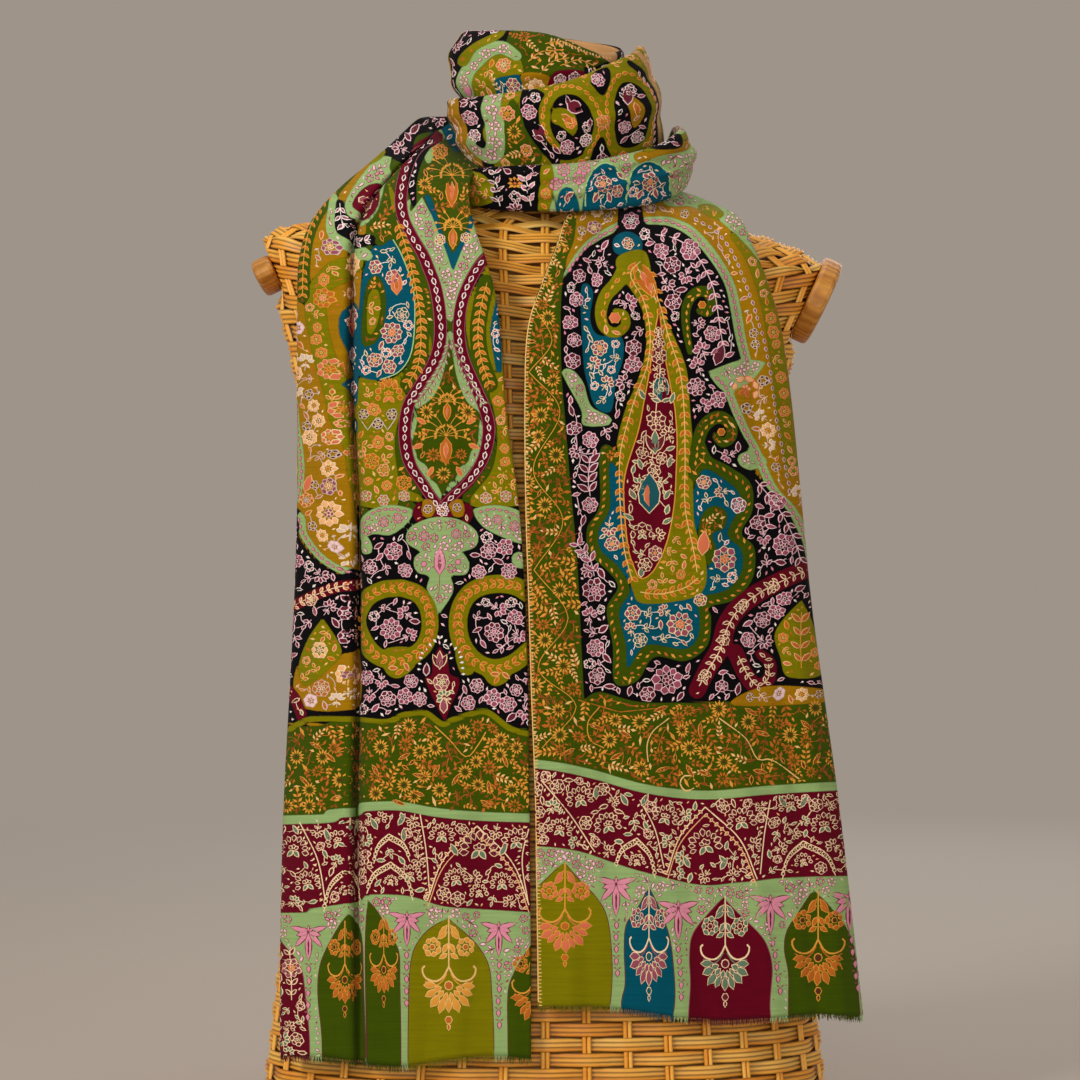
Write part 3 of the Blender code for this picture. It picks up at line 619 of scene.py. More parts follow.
class Ground:
    """The colours of one stretch of cloth, painted one over another."""

    def __init__(self):
        self.layers = []

    def area(self, colour, points, smooth=True):
        loop = smooth_loop(points) if smooth else points
        self.layers.append((colour, area_shape(loop)))

    def band(self, colour, points, half_width):
        self.layers.append((colour, band_shape(smooth_line(points), half_width)))

    def read(self, points):
        """Distance inside each colour at places, black included under its own name."""
        points = np.asarray(points, dtype=float)
        found = {name: np.full(len(points), -FAR) for name in GROUNDS}
        found["black"] = np.full(len(points), FAR)
        for colour, shape in self.layers:
            inside = shape(points)
            for name in found:
                if name == colour:
                    found[name] = np.maximum(found[name], inside)
                else:
                    found[name] = np.minimum(found[name], -inside)
        return found

    def put_on(self, item, chart):
        """Keep the distances at every point of a cloth, for its material."""
        found = self.read(chart.reshape(-1, 2))
        for name in GROUNDS:
            layer = item.data.attributes.new("ground_" + name, "FLOAT", "POINT")
            layer.data.foreach_set("value", found[name].astype(np.float32))


# ---- Threads: stitched shapes that lie on the cloth ----

THREAD_COLOURS = {              # name: colour in sRGB, roughness
    "pale_pink": ((242, 200, 208), 0.75),
    "white": ((246, 232, 226), 0.75),
    "rose": ((150, 72, 92), 0.8),
    "deep_rose": ((96, 26, 42), 0.85),
    "pink": ((222, 140, 162), 0.75),
    "cream": ((246, 216, 172), 0.75),
    "peach": ((240, 178, 122), 0.75),
    "salmon": ((214, 112, 72), 0.75),
    "honey": ((240, 190, 116), 0.65),
    "gold": ((224, 152, 50), 0.65),
    "amber": ((188, 100, 18), 0.7),
    "umber": ((140, 70, 8), 0.8),
    "brown": ((84, 42, 8), 0.85),
    "mint": ((164, 200, 136), 0.8),
    "sage": ((98, 124, 98), 0.85),
    "dark_teal": ((16, 84, 92), 0.85),
    "night": ((20, 16, 20), 0.9),
    "maroon": ((104, 18, 40), 0.85),
    "leaf_green": ((62, 92, 22), 0.85),
    "lilac": ((212, 190, 178), 0.8),
}
THREAD_NAMES = tuple(THREAD_COLOURS)
THREAD_LIFT = 0.32              # height of a stitched outline above the cloth, in units
THREAD_SINK = 0.05              # how deep a thread's foot stands in the cloth, in units
LINE_STEP = 5.0                 # length of one step of a stitched line, in units
FILL_HEIGHT = 0.7               # height of a filling's middle, as a share of its outline's
FILL_LEAST = 0.2                # the filling's smallest share of a small loop
STITCH_PEAK, STITCH_MIDDLE = 0.42, 0.45         # where a solid stitch is widest and highest
PETAL_WIDTH = 0.8               # share of its room that a petal fills
WIDEST_PETAL = 64.0             # most degrees that count for a petal's width
PETAL_TILT, PETAL_SIZES, PETAL_SQUASH = 5.0, (0.86, 1.1), (0.85, 1.1)
CHAIN_TILT, CHAIN_SIZES = 8.0, (0.9, 1.1)
VINE_TILT, VINE_SIZES = 9.0, (0.88, 1.1)
MOTIF_SIZES, MOTIF_SQUASH = (0.86, 1.14), (0.78, 1.08)
VINE_ENDS = (0.12, 0.88)        # where a joining stem starts and ends between two motifs
CLOSENESS = 0.84                # share of a motif's radius that scattered motifs keep free
VINE_MARGIN = 1.8               # units that a joining stem keeps inside its colour
VINE_BEND = 0.22                # most bend of a joining stem, as a share of its length
SPOT_JITTER = 0.33              # how far a scattered motif may leave its place, in spacings
CROWD_CELL = 30.0               # side of one cell of the table of places that are taken
ROOM_SHARE = 0.85               # share of its radius that a scattered motif keeps inside its
ROOM_EDGE = 1.2                 # colour, and how much more than that, in units
CHART_INSET = 0.05              # threads beyond the chart's edge are read this far inside it
MOST_MOVED = 0.4                # a thread that is further out than this is left out, in units
MOST_DRAWN_OUT = 3.0            # most growth of a face where the cloth runs back into a fold
DRAWN_OUT_FREE = 1.2 * MM       # growth that is always allowed
RAY_HEIGHT = 50.0
HIDDEN_ORDER = 1e-3             # where cloth lies behind cloth on the chart, the front one counts


def petal_outline(length, width, blunt, points):
    """A pointed or blunt leaf from (0, 0) along x, as a closed loop."""
    share = np.linspace(0.0, 1.0, points // 2 + 1)
    swell = np.sin(np.pi * share ** (0.85 + 0.5 * blunt)) ** (0.8 - 0.3 * blunt)
    upper = np.stack([share * length, swell * width / 2.0], axis=1)
    lower = np.stack([share[1:-1] * length, -swell[1:-1] * width / 2.0], axis=1)[::-1]
    return np.concatenate([upper, lower])


def turned(shape, degrees, size=1.0, shift=(0.0, 0.0), squash=1.0):
    """A shape flattened across by squash, then turned, sized and moved."""
    points, faces, colours = shape
    angle = math.radians(degrees)
    spin = np.array([[math.cos(angle), math.sin(angle)], [-math.sin(angle), math.cos(angle)]])
    moved = points.copy()
    moved[:, :2] = (points[:, :2] * (1.0, squash)) @ spin * size + np.array(shift)
    return moved, faces, colours


def joined(*shapes):
    """Several shapes as one."""
    points, faces, colours, start = [], [], [], 0
    for shape_points, shape_faces, shape_colours in shapes:
        points.append(shape_points)
        faces += [tuple(index + start for index in face) for face in shape_faces]
        colours += shape_colours
        start += len(shape_points)
    return np.concatenate(points), faces, colours


def outlined(loop, inks, edge):
    """A loop stitched round its edge and filled inside; inks are outline and filling."""
    loop = np.array(loop, dtype=float)
    middle = loop.mean(axis=0)
    away = loop - middle
    length = np.maximum(np.linalg.norm(away, axis=1, keepdims=True), 1e-6)
    inner = middle + away * np.maximum(1.0 - edge / length, FILL_LEAST)
    count = len(loop)
    points = np.concatenate([
        np.column_stack([loop, np.zeros(count)]),
        np.column_stack([inner, np.ones(count)]),
        [[middle[0], middle[1], FILL_HEIGHT]]])
    faces, shades = [], []
    for a in range(count):
        b = (a + 1) % count
        faces += [(a, b, count + b, count + a), (count + a, count + b, 2 * count)]
        shades += [inks[0], inks[1]]
    return points, faces, shades


def leaf(length, width, inks, blunt=0.0, edge=1.2, points=8):
    return outlined(petal_outline(length, width, blunt, points), inks, edge)


def grain(length, width, ink):
    """A solid stitch along x."""
    points = np.array([[0, 0, 0], [STITCH_PEAK * length, width / 2, 0], [length, 0, 0],
                       [STITCH_PEAK * length, -width / 2, 0], [STITCH_MIDDLE * length, 0, 1]],
                      dtype=float)
    return points, [(0, 4, 1), (1, 4, 2), (2, 4, 3), (3, 4, 0)], [ink] * 4


def ball(radius, inks, edge=1.2, points=6):
    turn = np.radians(np.arange(points) * 360.0 / points)
    return outlined(np.stack([np.cos(turn), np.sin(turn)], axis=1) * radius, inks, edge)


def stitched(points, width, ink, step=5.0, lift=0.8):
    """A stitched line through points: three rails with the middle one raised."""
    points = np.array(points, dtype=float)
    run = run_along(points)
    count = max(2, int(math.ceil(run[-1] / step)) + 1)
    spots = np.linspace(0.0, run[-1], count)
    line = points_at(spots, run, points)
    along = unit_rows(np.gradient(line, axis=0))
    across = np.stack([-along[:, 1], along[:, 0]], axis=1) * width / 2.0
    rails = [np.column_stack([line + across, np.zeros(count)]),
             np.column_stack([line, np.full(count, lift)]),
             np.column_stack([line - across, np.zeros(count)])]
    faces = []
    for spot in range(count - 1):
        for rail in (0, 1):
            a = rail * count + spot
            faces.append((a, a + 1, a + count + 1, a + count))
    return np.concatenate(rails), faces, [ink] * len(faces)


def blossom(petals, radius, inks, centre=None, hole=0.26, span=360.0, start=0.0, blunt=0.8,
            edge=1.0):
    """Outlined petals round a small middle, or in a fan where the span is less than a turn."""
    step = span / petals
    reach = radius * (1.0 - hole)
    width = 2.0 * radius * PETAL_WIDTH * math.tan(math.radians(min(step, WIDEST_PETAL)) / 2.0)
    petal = leaf(reach, width, inks, blunt, edge, 6)
    shapes = []
    for number in range(petals):
        heading = start + step * (number + 0.5)
        angle = math.radians(heading)
        foot = (radius * hole * math.cos(angle), radius * hole * math.sin(angle))
        shapes.append(turned(petal, heading + RNG.uniform(-PETAL_TILT, PETAL_TILT),
                             RNG.uniform(*PETAL_SIZES), foot, RNG.uniform(*PETAL_SQUASH)))
    if centre:
        shapes.append(ball(radius * hole * 0.95, centre, min(edge, radius * hole * 0.5)))
    return joined(*shapes)


def daisy(petals, radius, ink, centre, width):
    """Solid grains round a middle."""
    hole = 0.25 * radius
    shapes = [turned(grain(radius - hole, width, ink), 360.0 * number / petals, 1.0,
                     (hole * math.cos(2.0 * math.pi * number / petals),
                      hole * math.sin(2.0 * math.pi * number / petals)))
              for number in range(petals)]
    return joined(*shapes, turned(grain(2.0 * hole, 2.0 * hole, centre), 0.0, 1.0, (-hole, 0.0)))


def sprig(length, pairs, ink, stem, size, width=2.4, bend=0.18):
    """A curved stem with pairs of grains and one at its end."""
    share = np.linspace(0.0, 1.0, 5)
    line = np.stack([share * length, bend * length * share * share], axis=1)
    shapes = [stitched(line, 0.9, stem, length / 3.0)]
    for number in range(pairs):
        at = (number + 0.6) / (pairs + 0.4)
        spot = (at * length, bend * length * at * at)
        lean = math.degrees(math.atan(2.0 * bend * at))
        for way in (-1, 1):
            shapes.append(turned(grain(size * (1.15 - 0.4 * at), width, ink), lean + way * 48.0,
                                 1.0, spot))
    end = grain(size * 1.1, width * 1.2, ink)
    shapes.append(turned(end, math.degrees(math.atan(2.0 * bend)), 1.0,
                         (length * 0.97, bend * length)))
    return joined(*shapes)


class Threads:
    """Everything stitched on one stretch of cloth, first in chart units, then laid on the cloth."""

    def __init__(self, name, ground):
        self.name = name
        self.ground = ground
        self.points, self.faces, self.colours = [], [], []
        self.count = 0
        self.taken = []
        self.plain = []

    def add(self, shape):
        points, faces, colours = shape
        self.points.append(points)
        self.faces.append(np.array([face + (face[-1],) * (4 - len(face)) for face in faces])
                          + self.count)
        self.colours += [THREAD_NAMES.index(colour) for colour in colours]
        self.count += len(points)

    def place(self, shape, at, degrees=0.0, size=1.0, keep=0.0, squash=1.0):
        self.add(turned(shape, degrees, size, at, squash))
        if keep:
            self.taken.append((at[0], at[1], keep))

    def leave_plain(self, loop):
        """Nothing is scattered inside this loop."""
        self.plain.append(smooth_loop(loop))

    def reserve(self, line, radius):
        """Keep the scattered motifs off a line."""
        for place, _ in self.along(line, 1.2 * radius, 0.0):
            self.taken.append((place[0], place[1], radius))

    def line(self, points, width, ink, keep=0.0):
        self.add(stitched(points, width, ink, LINE_STEP))
        if keep:
            self.reserve(points, keep)

    def along(self, line, spacing, start=None):
        """Evenly spaced places along a line, each with its direction in degrees."""
        line = np.array(line, dtype=float)
        run = run_along(line)
        spots = np.arange(spacing / 2.0 if start is None else start, run[-1], spacing)
        step = points_at(spots + 0.5, run, line) - points_at(spots - 0.5, run, line)
        return list(zip(points_at(spots, run, line),
                        np.degrees(np.arctan2(step[:, 1], step[:, 0]))))

    def chain(self, line, shapes, spacing, turn=0.0, shift=0.0, keep=0.0):
        """Shapes one after another along a line, in turn."""
        shapes = shapes if isinstance(shapes, list) else [shapes]
        for number, (place, heading) in enumerate(self.along(line, spacing)):
            side = math.radians(heading + 90.0)
            spot = (place[0] + shift * math.cos(side), place[1] + shift * math.sin(side))
            tilt = RNG.uniform(-CHAIN_TILT, CHAIN_TILT)
            self.place(shapes[number % len(shapes)], spot, heading + turn + tilt,
                       RNG.uniform(*CHAIN_SIZES), keep)

    def vine(self, line, shapes, spacing, stem, spread=45.0, keep=0.0, size=1.0):
        """Pairs of leaves along a line, pointing forward on either side of its stem."""
        shapes = shapes if isinstance(shapes, list) else [shapes]
        if stem:
            self.line(line, stem[0], stem[1])
        if keep:
            self.reserve(line, keep)
        for number, (place, heading) in enumerate(self.along(line, spacing)):
            for way in (-1.0, 1.0):
                tilt = RNG.uniform(-VINE_TILT, VINE_TILT)
                self.place(shapes[number % len(shapes)], place, heading + way * spread + tilt,
                           size * RNG.uniform(*VINE_SIZES))

    def scatter(self, box, spacing, fills, vines):
        """Fill each ground colour with its own motifs, large ones first, clear of what is there.

        fills gives each colour a list of (shapes, radius), from large to small.
        """
        low, high = np.array(box[:2]), np.array(box[2:])
        steps = np.ceil((high - low) / spacing).astype(int)
        across, down = np.meshgrid(np.arange(steps[0]), np.arange(steps[1]))
        spots = np.stack([across.ravel() + 0.5 * (down.ravel() % 2), down.ravel()], axis=1)
        jitter = RNG.uniform(-SPOT_JITTER, SPOT_JITTER, spots.shape)
        spots = spots * spacing + low + jitter * spacing
        read = self.ground.read(spots)
        for loop in self.plain:
            within = inside_loop(spots, loop)
            for room in read.values():
                room[within] = -FAR
        order = RNG.permutation(len(spots))
        largest = max(len(kinds) for kinds in fills.values())
        grid = {}

        def cell(at):
            return int(at[0] // CROWD_CELL), int(at[1] // CROWD_CELL)

        def crowd(at, radius):
            column, row = cell(at)
            for i in (-1, 0, 1):
                for j in (-1, 0, 1):
                    for x, y, r in grid.get((column + i, row + j), ()):
                        if (x - at[0]) ** 2 + (y - at[1]) ** 2 < (r + radius) ** 2:
                            return True
            return False

        def note(at, radius):
            grid.setdefault(cell(at), []).append((at[0], at[1], radius))

        for x, y, r in self.taken:
            note((x, y), r)
        placed = {}
        for tier in range(largest):
            for number in order:
                at = spots[number]
                for colour, kinds in fills.items():
                    room = read[colour][number]
                    if room <= 0.0 or tier >= len(kinds):
                        continue
                    shapes, radius = kinds[tier]
                    if room < ROOM_SHARE * radius + ROOM_EDGE or crowd(at, CLOSENESS * radius):
                        continue
                    shape = shapes[int(RNG.integers(len(shapes)))]
                    self.place(shape, at, float(RNG.uniform(0.0, 360.0)),
                               RNG.uniform(*MOTIF_SIZES), squash=RNG.uniform(*MOTIF_SQUASH))
                    note(at, radius)
                    if tier < largest - 1:
                        placed.setdefault(colour, []).append(at)
        for colour, spots_of in placed.items():
            if colour not in vines or len(spots_of) < 2:
                continue
            width, shade, reach = vines[colour]
            where = np.array(spots_of)
            for number in range(1, len(where)):
                away = np.hypot(*(where[:number] - where[number]).T)
                other = int(np.argmin(away))
                if away[other] > reach:
                    continue
                a, b = where[number], where[other]
                bend = np.array([-(b - a)[1], (b - a)[0]]) * RNG.uniform(-VINE_BEND, VINE_BEND)
                share = np.linspace(*VINE_ENDS, 5)[:, None]
                line = a * (1 - share) + b * share + bend * 4 * share * (1 - share)
                row = np.rint((line[:, 1] - low[1]) / spacing).astype(int)
                row = np.clip(row, 0, steps[1] - 1)
                column = np.rint((line[:, 0] - low[0]) / spacing - 0.5 * (row % 2)).astype(int)
                column = np.clip(column, 0, steps[0] - 1)
                if (read[colour][row * steps[0] + column] > VINE_MARGIN).all():
                    self.line(line, width, shade)

    def lay(self, grid, chart, normals):
        """Put every point on the cloth, a little above it, and make the object."""
        rows, columns = grid.shape[:2]
        quads = quads_of(np.arange(rows * columns).reshape(rows, columns))
        triangles = np.concatenate([quads[:, [0, 1, 2]], quads[:, [0, 2, 3]]])
        flat = chart.reshape(-1, 2)
        space, up = grid.reshape(-1, 3), normals.reshape(-1, 3)
        nearest = -space[:, 1] * HIDDEN_ORDER
        tree = BVHTree.FromPolygons(np.column_stack([flat, nearest]).tolist(), triangles.tolist())
        points = np.concatenate(self.points)
        low, high = flat.min(axis=0) + CHART_INSET, flat.max(axis=0) - CHART_INSET
        spots = np.clip(points[:, :2], low, high)
        found = np.full(len(points), -1)
        downwards = Vector((0.0, 0.0, -1.0))
        for number, (x, y) in enumerate(spots.tolist()):
            hit = tree.ray_cast(Vector((x, y, RAY_HEIGHT)), downwards)
            if hit[2] is not None:
                found[number] = hit[2]
        good = found >= 0
        corners = triangles[np.maximum(found, 0)]
        a, b, c = (flat[corners[:, i]] for i in range(3))
        area = (b[:, 0] - a[:, 0]) * (c[:, 1] - a[:, 1]) - (b[:, 1] - a[:, 1]) * (c[:, 0] - a[:, 0])
        area = np.where(np.abs(area) < 1e-12, 1e-12, area)
        part_b = ((spots[:, 0] - a[:, 0]) * (c[:, 1] - a[:, 1])
                  - (spots[:, 1] - a[:, 1]) * (c[:, 0] - a[:, 0])) / area
        part_c = ((b[:, 0] - a[:, 0]) * (spots[:, 1] - a[:, 1])
                  - (b[:, 1] - a[:, 1]) * (spots[:, 0] - a[:, 0])) / area
        parts = np.stack([1.0 - part_b - part_c, part_b, part_c], axis=1)[..., None]
        base = (space[corners] * parts).sum(axis=1)
        upward = unit_rows((up[corners] * parts).sum(axis=1))
        lift = CLOTH_WALL / 2.0 + (points[:, 2] * THREAD_LIFT - THREAD_SINK) * UNIT
        final = base + upward * lift[:, None]
        faces = np.concatenate(self.faces)
        shades = np.array(self.colours)
        whole = good[faces].all(axis=1)
        # a shape that would be drawn out over a hidden fold is left out
        spread = np.linalg.norm(final[faces] - final[faces[:, :1]], axis=2).max(axis=1)
        flat_spread = np.linalg.norm(points[faces][..., :2] - points[faces[:, :1]][..., :2],
                                     axis=2).max(axis=1) * UNIT
        whole &= spread < MOST_DRAWN_OUT * flat_spread + DRAWN_OUT_FREE
        moved = np.linalg.norm(points[:, :2] - spots, axis=1) > MOST_MOVED
        whole &= ~moved[faces].any(axis=1)
        faces, shades = faces[whole], shades[whole]
        used = np.unique(faces)
        renumber = np.full(len(final), -1)
        renumber[used] = np.arange(len(used))
        faces = renumber[faces]
        polygons = [face[:3] if face[3] == face[2] else face for face in faces.tolist()]
        mesh = bpy.data.meshes.new(self.name)
        mesh.from_pydata(final[used].tolist(), [], polygons)
        names = sorted(set(shades.tolist()))
        for shade in names:
            mesh.materials.append(thread_material(THREAD_NAMES[shade]))
        slots = np.array([names.index(shade) for shade in shades.tolist()], dtype=np.int32)
        mesh.polygons.foreach_set("material_index", slots)
        mesh.shade_smooth()
        return linked(self.name, mesh)


def grid_normals(grid, front):
    """Unit normals of a grid's points, outwards; front picks the points that face forwards."""
    normals = unit_rows(np.cross(np.gradient(grid, axis=1), np.gradient(grid, axis=0)))
    return -normals if normals[front][..., 1].mean() > 0.0 else normals


# ---- Materials ----

def linear(colour):
    """An sRGB colour in 0 to 255 as linear light with alpha."""
    share = [channel / 255.0 for channel in colour]
    return [channel / 12.92 if channel <= 0.04045 else ((channel + 0.055) / 1.055) ** 2.4
            for channel in share] + [1.0]


def blank_material(name, roughness, sheen=0.0, specular=0.5):
    """A material with its nodes, its tree and its shader."""
    material = bpy.data.materials.new(name)
    material.use_nodes = True
    tree = material.node_tree
    shader = tree.nodes["Principled BSDF"]
    shader.inputs["Roughness"].default_value = roughness
    shader.inputs["Specular IOR Level"].default_value = specular
    if sheen:
        shader.inputs["Sheen Weight"].default_value = sheen
        shader.inputs["Sheen Roughness"].default_value = 0.45
    return material, tree, shader


def attribute(tree, name):
    node = tree.nodes.new("ShaderNodeAttribute")
    node.attribute_name = name
    return node


def math_node(tree, operation, first, second=None, third=None):
    node = tree.nodes.new("ShaderNodeMath")
    node.operation = operation
    for socket, value in zip(node.inputs, (first, second, third)):
        if value is None:
            continue
        if isinstance(value, (int, float)):
            socket.default_value = value
        else:
            tree.links.new(value, socket)
    return node.outputs[0]


def map_range(tree, value, low, high, out_low=0.0, out_high=1.0):
    node = tree.nodes.new("ShaderNodeMapRange")
    tree.links.new(value, node.inputs["Value"])
    node.inputs["From Min"].default_value = low
    node.inputs["From Max"].default_value = high
    node.inputs["To Min"].default_value = out_low
    node.inputs["To Max"].default_value = out_high
    return node.outputs[0]


def mix_colours(tree, share, first, second, way="MIX"):
    node = tree.nodes.new("ShaderNodeMix")
    node.data_type = "RGBA"
    node.blend_type = way
    for number, value in ((0, share), (6, first), (7, second)):
        socket = node.inputs[number]
        if isinstance(value, (int, float, list, tuple)):
            socket.default_value = value
        else:
            tree.links.new(value, socket)
    return node.outputs[2]


def noise(tree, vector, scale, detail=2.0, roughness=0.5):
    node = tree.nodes.new("ShaderNodeTexNoise")
    node.inputs["Scale"].default_value = scale
    node.inputs["Detail"].default_value = detail
    node.inputs["Roughness"].default_value = roughness
    if vector is not None:
        tree.links.new(vector, node.inputs["Vector"])
    return node.outputs["Fac"]


def bump(tree, shader, height, distance, strength=1.0):
    node = tree.nodes.new("ShaderNodeBump")
    node.inputs["Strength"].default_value = strength
    node.inputs["Distance"].default_value = distance
    tree.links.new(height, node.inputs["Height"])
    tree.links.new(node.outputs["Normal"], shader.inputs["Normal"])


GROUND_COLOURS = {
    "black": (9, 7, 10),
    "maroon": (104, 4, 30),
    "teal": (0, 86, 106),
    "olive": (132, 126, 0),
    "green": (64, 84, 0),
    "mustard": (168, 122, 6),
    "mint": (156, 188, 120),
    "tan": (200, 152, 100),
}
YARN_ROUGHNESS = 0.8            # of the fringe
WEAVE_PITCH = 0.75              # one twill line, in units
EDGE_SOFTNESS = 0.45            # half width of the change from one colour to the next, in units


def cloth_material(name):
    """Fine wool twill: colours meet along stitched edges, with fibre, slight streaks and a nap."""
    material, tree, shader = blank_material(name, roughness=0.88, sheen=0.03, specular=0.07)
    place = attribute(tree, "cloth_place").outputs["Vector"]
    wobble = noise(tree, place, 0.9, 2.0)
    colour = linear(GROUND_COLOURS["black"])
    for ground in GROUNDS:
        inside = attribute(tree, "ground_" + ground).outputs["Fac"]
        uneven = math_node(tree, "MULTIPLY_ADD", wobble, 0.9, -0.45)
        inside = math_node(tree, "ADD", inside, uneven)
        share = map_range(tree, inside, -EDGE_SOFTNESS, EDGE_SOFTNESS)
        colour = mix_colours(tree, share, colour, linear(GROUND_COLOURS[ground]))
    fibre = noise(tree, place, 1.4, 4.0, 0.7)
    colour = mix_colours(tree, 0.5, colour, ramp_grey(tree, fibre, 0.25, 0.75, 0.55, 1.35),
                         "MULTIPLY")
    streaks = noise(tree, stretched(tree, place, (0.02, 0.35, 1.0)), 1.0, 3.0)
    colour = mix_colours(tree, 0.4, colour, ramp_grey(tree, streaks, 0.3, 0.7, 0.7, 1.2),
                         "MULTIPLY")
    tree.links.new(colour, shader.inputs["Base Color"])
    twill = tree.nodes.new("ShaderNodeTexWave")
    twill.wave_type = "BANDS"
    twill.bands_direction = "DIAGONAL"
    twill.inputs["Scale"].default_value = 1.0 / WEAVE_PITCH
    twill.inputs["Distortion"].default_value = 0.4
    tree.links.new(place, twill.inputs["Vector"])
    height = math_node(tree, "MULTIPLY_ADD", fibre, 0.8, twill.outputs["Fac"])
    bump(tree, shader, height, 0.12 * MM, 0.6)
    return material


def ramp_grey(tree, value, low, high, dark, light):
    """A grey that runs from dark to light as value runs from low to high."""
    grey = map_range(tree, value, low, high, dark, light)
    node = tree.nodes.new("ShaderNodeCombineColor")
    for socket in node.inputs[:3]:
        tree.links.new(grey, socket)
    return node.outputs[0]


def stretched(tree, vector, scale):
    node = tree.nodes.new("ShaderNodeMapping")
    node.inputs["Scale"].default_value = scale
    tree.links.new(vector, node.inputs["Vector"])
    return node.outputs[0]


def object_place(tree):
    return tree.nodes.new("ShaderNodeTexCoord").outputs["Object"]


def thread_material(name):
    """Embroidery wool, or a yarn of a ground's colour: soft, with fine unevenness."""
    key = "thread_" + name
    if key in bpy.data.materials:
        return bpy.data.materials[key]
    if name in THREAD_COLOURS:
        colour, roughness = THREAD_COLOURS[name]
    else:
        colour, roughness = GROUND_COLOURS[name], YARN_ROUGHNESS
    material, tree, shader = blank_material(key, roughness=roughness, sheen=0.08, specular=0.25)
    shader.inputs["Base Color"].default_value = linear(colour)
    place = object_place(tree)
    bump(tree, shader, noise(tree, place, 2600.0, 1.0), 0.12 * MM, 0.6)
    return material


CANE_TONES = ((0.0, (166, 82, 8)), (0.3, (222, 132, 26)), (0.6, (250, 172, 54)),
              (1.0, (255, 206, 104)))
CANE_SPREAD = 0.45              # how much rod, grain and patches each change the tone
CANE_PAINTED_SHADE = 0.28         # painted shade: share of the colour that is left deep between the rods and on the dark core
CANE_GRAIN = (60.0, 60.0, 900.0)


def wicker_material():
    """Varnished honey cane: a tone for each rod, streaks along it and painted shade in the joints.
    """
    material, tree, shader = blank_material("wicker_cane", roughness=0.42, specular=0.45)
    tone = attribute(tree, "rod_tone").outputs["Fac"]
    painted_light = attribute(tree, "rod_painted_light").outputs["Fac"]
    place = object_place(tree)
    grain = noise(tree, stretched(tree, place, CANE_GRAIN), 1.0, 4.0, 0.65)
    patch = noise(tree, place, 38.0, 3.0, 0.6)
    ramp = tree.nodes.new("ShaderNodeValToRGB")
    marks = ramp.color_ramp.elements
    for mark, (position, colour) in zip(list(marks), (CANE_TONES[0], CANE_TONES[-1])):
        mark.position, mark.color = position, linear(colour)
    for position, colour in CANE_TONES[1:-1]:
        mark = marks.new(position)
        mark.color = linear(colour)
    value = 0.1
    for source in (tone, grain, patch):
        value = math_node(tree, "MULTIPLY_ADD", source, CANE_SPREAD, value)
    value = math_node(tree, "ADD", value, -0.15)
    tree.links.new(value, ramp.inputs["Fac"])
    # painted shade: darker in the valleys between rods, where rows sink behind stakes, at the
    # stakes' sides and on the core
    painted_shade = map_range(tree, painted_light, 0.0, 0.6, CANE_PAINTED_SHADE, 1.0)
    shade = mix_colours(tree, 1.0, ramp.outputs["Color"], ramp_grey(tree, painted_shade, 0.0, 1.0, 0.0, 1.0),
                        "MULTIPLY")
    tree.links.new(shade, shader.inputs["Base Color"])
    tree.links.new(map_range(tree, grain, 0.3, 0.7, 0.34, 0.6), shader.inputs["Roughness"])
    bump(tree, shader, grain, 0.15 * MM, 0.5)
    return material


def wood_material():
    """Pale sawn wood, varnished orange, with rings and fine grain."""
    material, tree, shader = blank_material("wood_disc", roughness=0.45, specular=0.45)
    place = object_place(tree)
    rings = tree.nodes.new("ShaderNodeTexWave")
    rings.wave_type = "BANDS"
    rings.bands_direction = "Y"
    rings.inputs["Scale"].default_value = 62.0
    rings.inputs["Distortion"].default_value = 5.0
    rings.inputs["Detail"].default_value = 3.0
    rings.inputs["Detail Scale"].default_value = 1.6
    tree.links.new(stretched(tree, place, (0.4, 1.0, 0.4)), rings.inputs["Vector"])
    grain = noise(tree, stretched(tree, place, (1.0, 12.0, 1.0)), 140.0, 4.0, 0.6)
    colour = mix_colours(tree, rings.outputs["Fac"], linear((176, 112, 36)), linear((210, 146, 62)))
    colour = mix_colours(tree, 0.6, colour, ramp_grey(tree, grain, 0.3, 0.7, 0.72, 1.15),
                         "MULTIPLY")
    tree.links.new(colour, shader.inputs["Base Color"])
    tree.links.new(map_range(tree, grain, 0.3, 0.7, 0.38, 0.55), shader.inputs["Roughness"])
    bump(tree, shader, grain, 0.2 * MM, 0.5)
    return material


# ---- The wicker form ----

STAKES = 36
COLUMNS_PER_STAKE = 4
WEFT_PITCH = 10.0 * MM
WEFT_COVER = 0.46               # half of the share of its pitch that a row covers
WEFT_PROFILE = (-1.0, -0.667, -0.333, 0.0, 0.333, 0.667, 1.0)   # three rods side by side
WEFT_FAN_START = 450.0 * MM     # above this the rows spread out over the shoulders
CREST = -0.2 * MM               # highest cane, measured outwards from the form
VALLEY = -1.9 * MM
VALLEY_SPREAD = 0.25 * MM
HIDDEN_SHADE = 0.45             # painted shade: how much darker a row gets where it sinks behind a stake
TONE_DRIFT = 0.25
WEFT_DIP = 4.6 * MM             # how far a row sinks behind a stake
STAKE_CREST = -2.2 * MM
STAKE_ROD = 3.0 * MM
STAKE_SPREAD = 0.52             # a stake's two rods stand this share of a rod off its middle
STAKE_ANGLES = (-90, -40, 0, 40, 90)
# painted shade across a stake rod, darker towards its sides
STAKE_SHADES = (0.1, 0.8, 1.0, 0.8, 0.1)
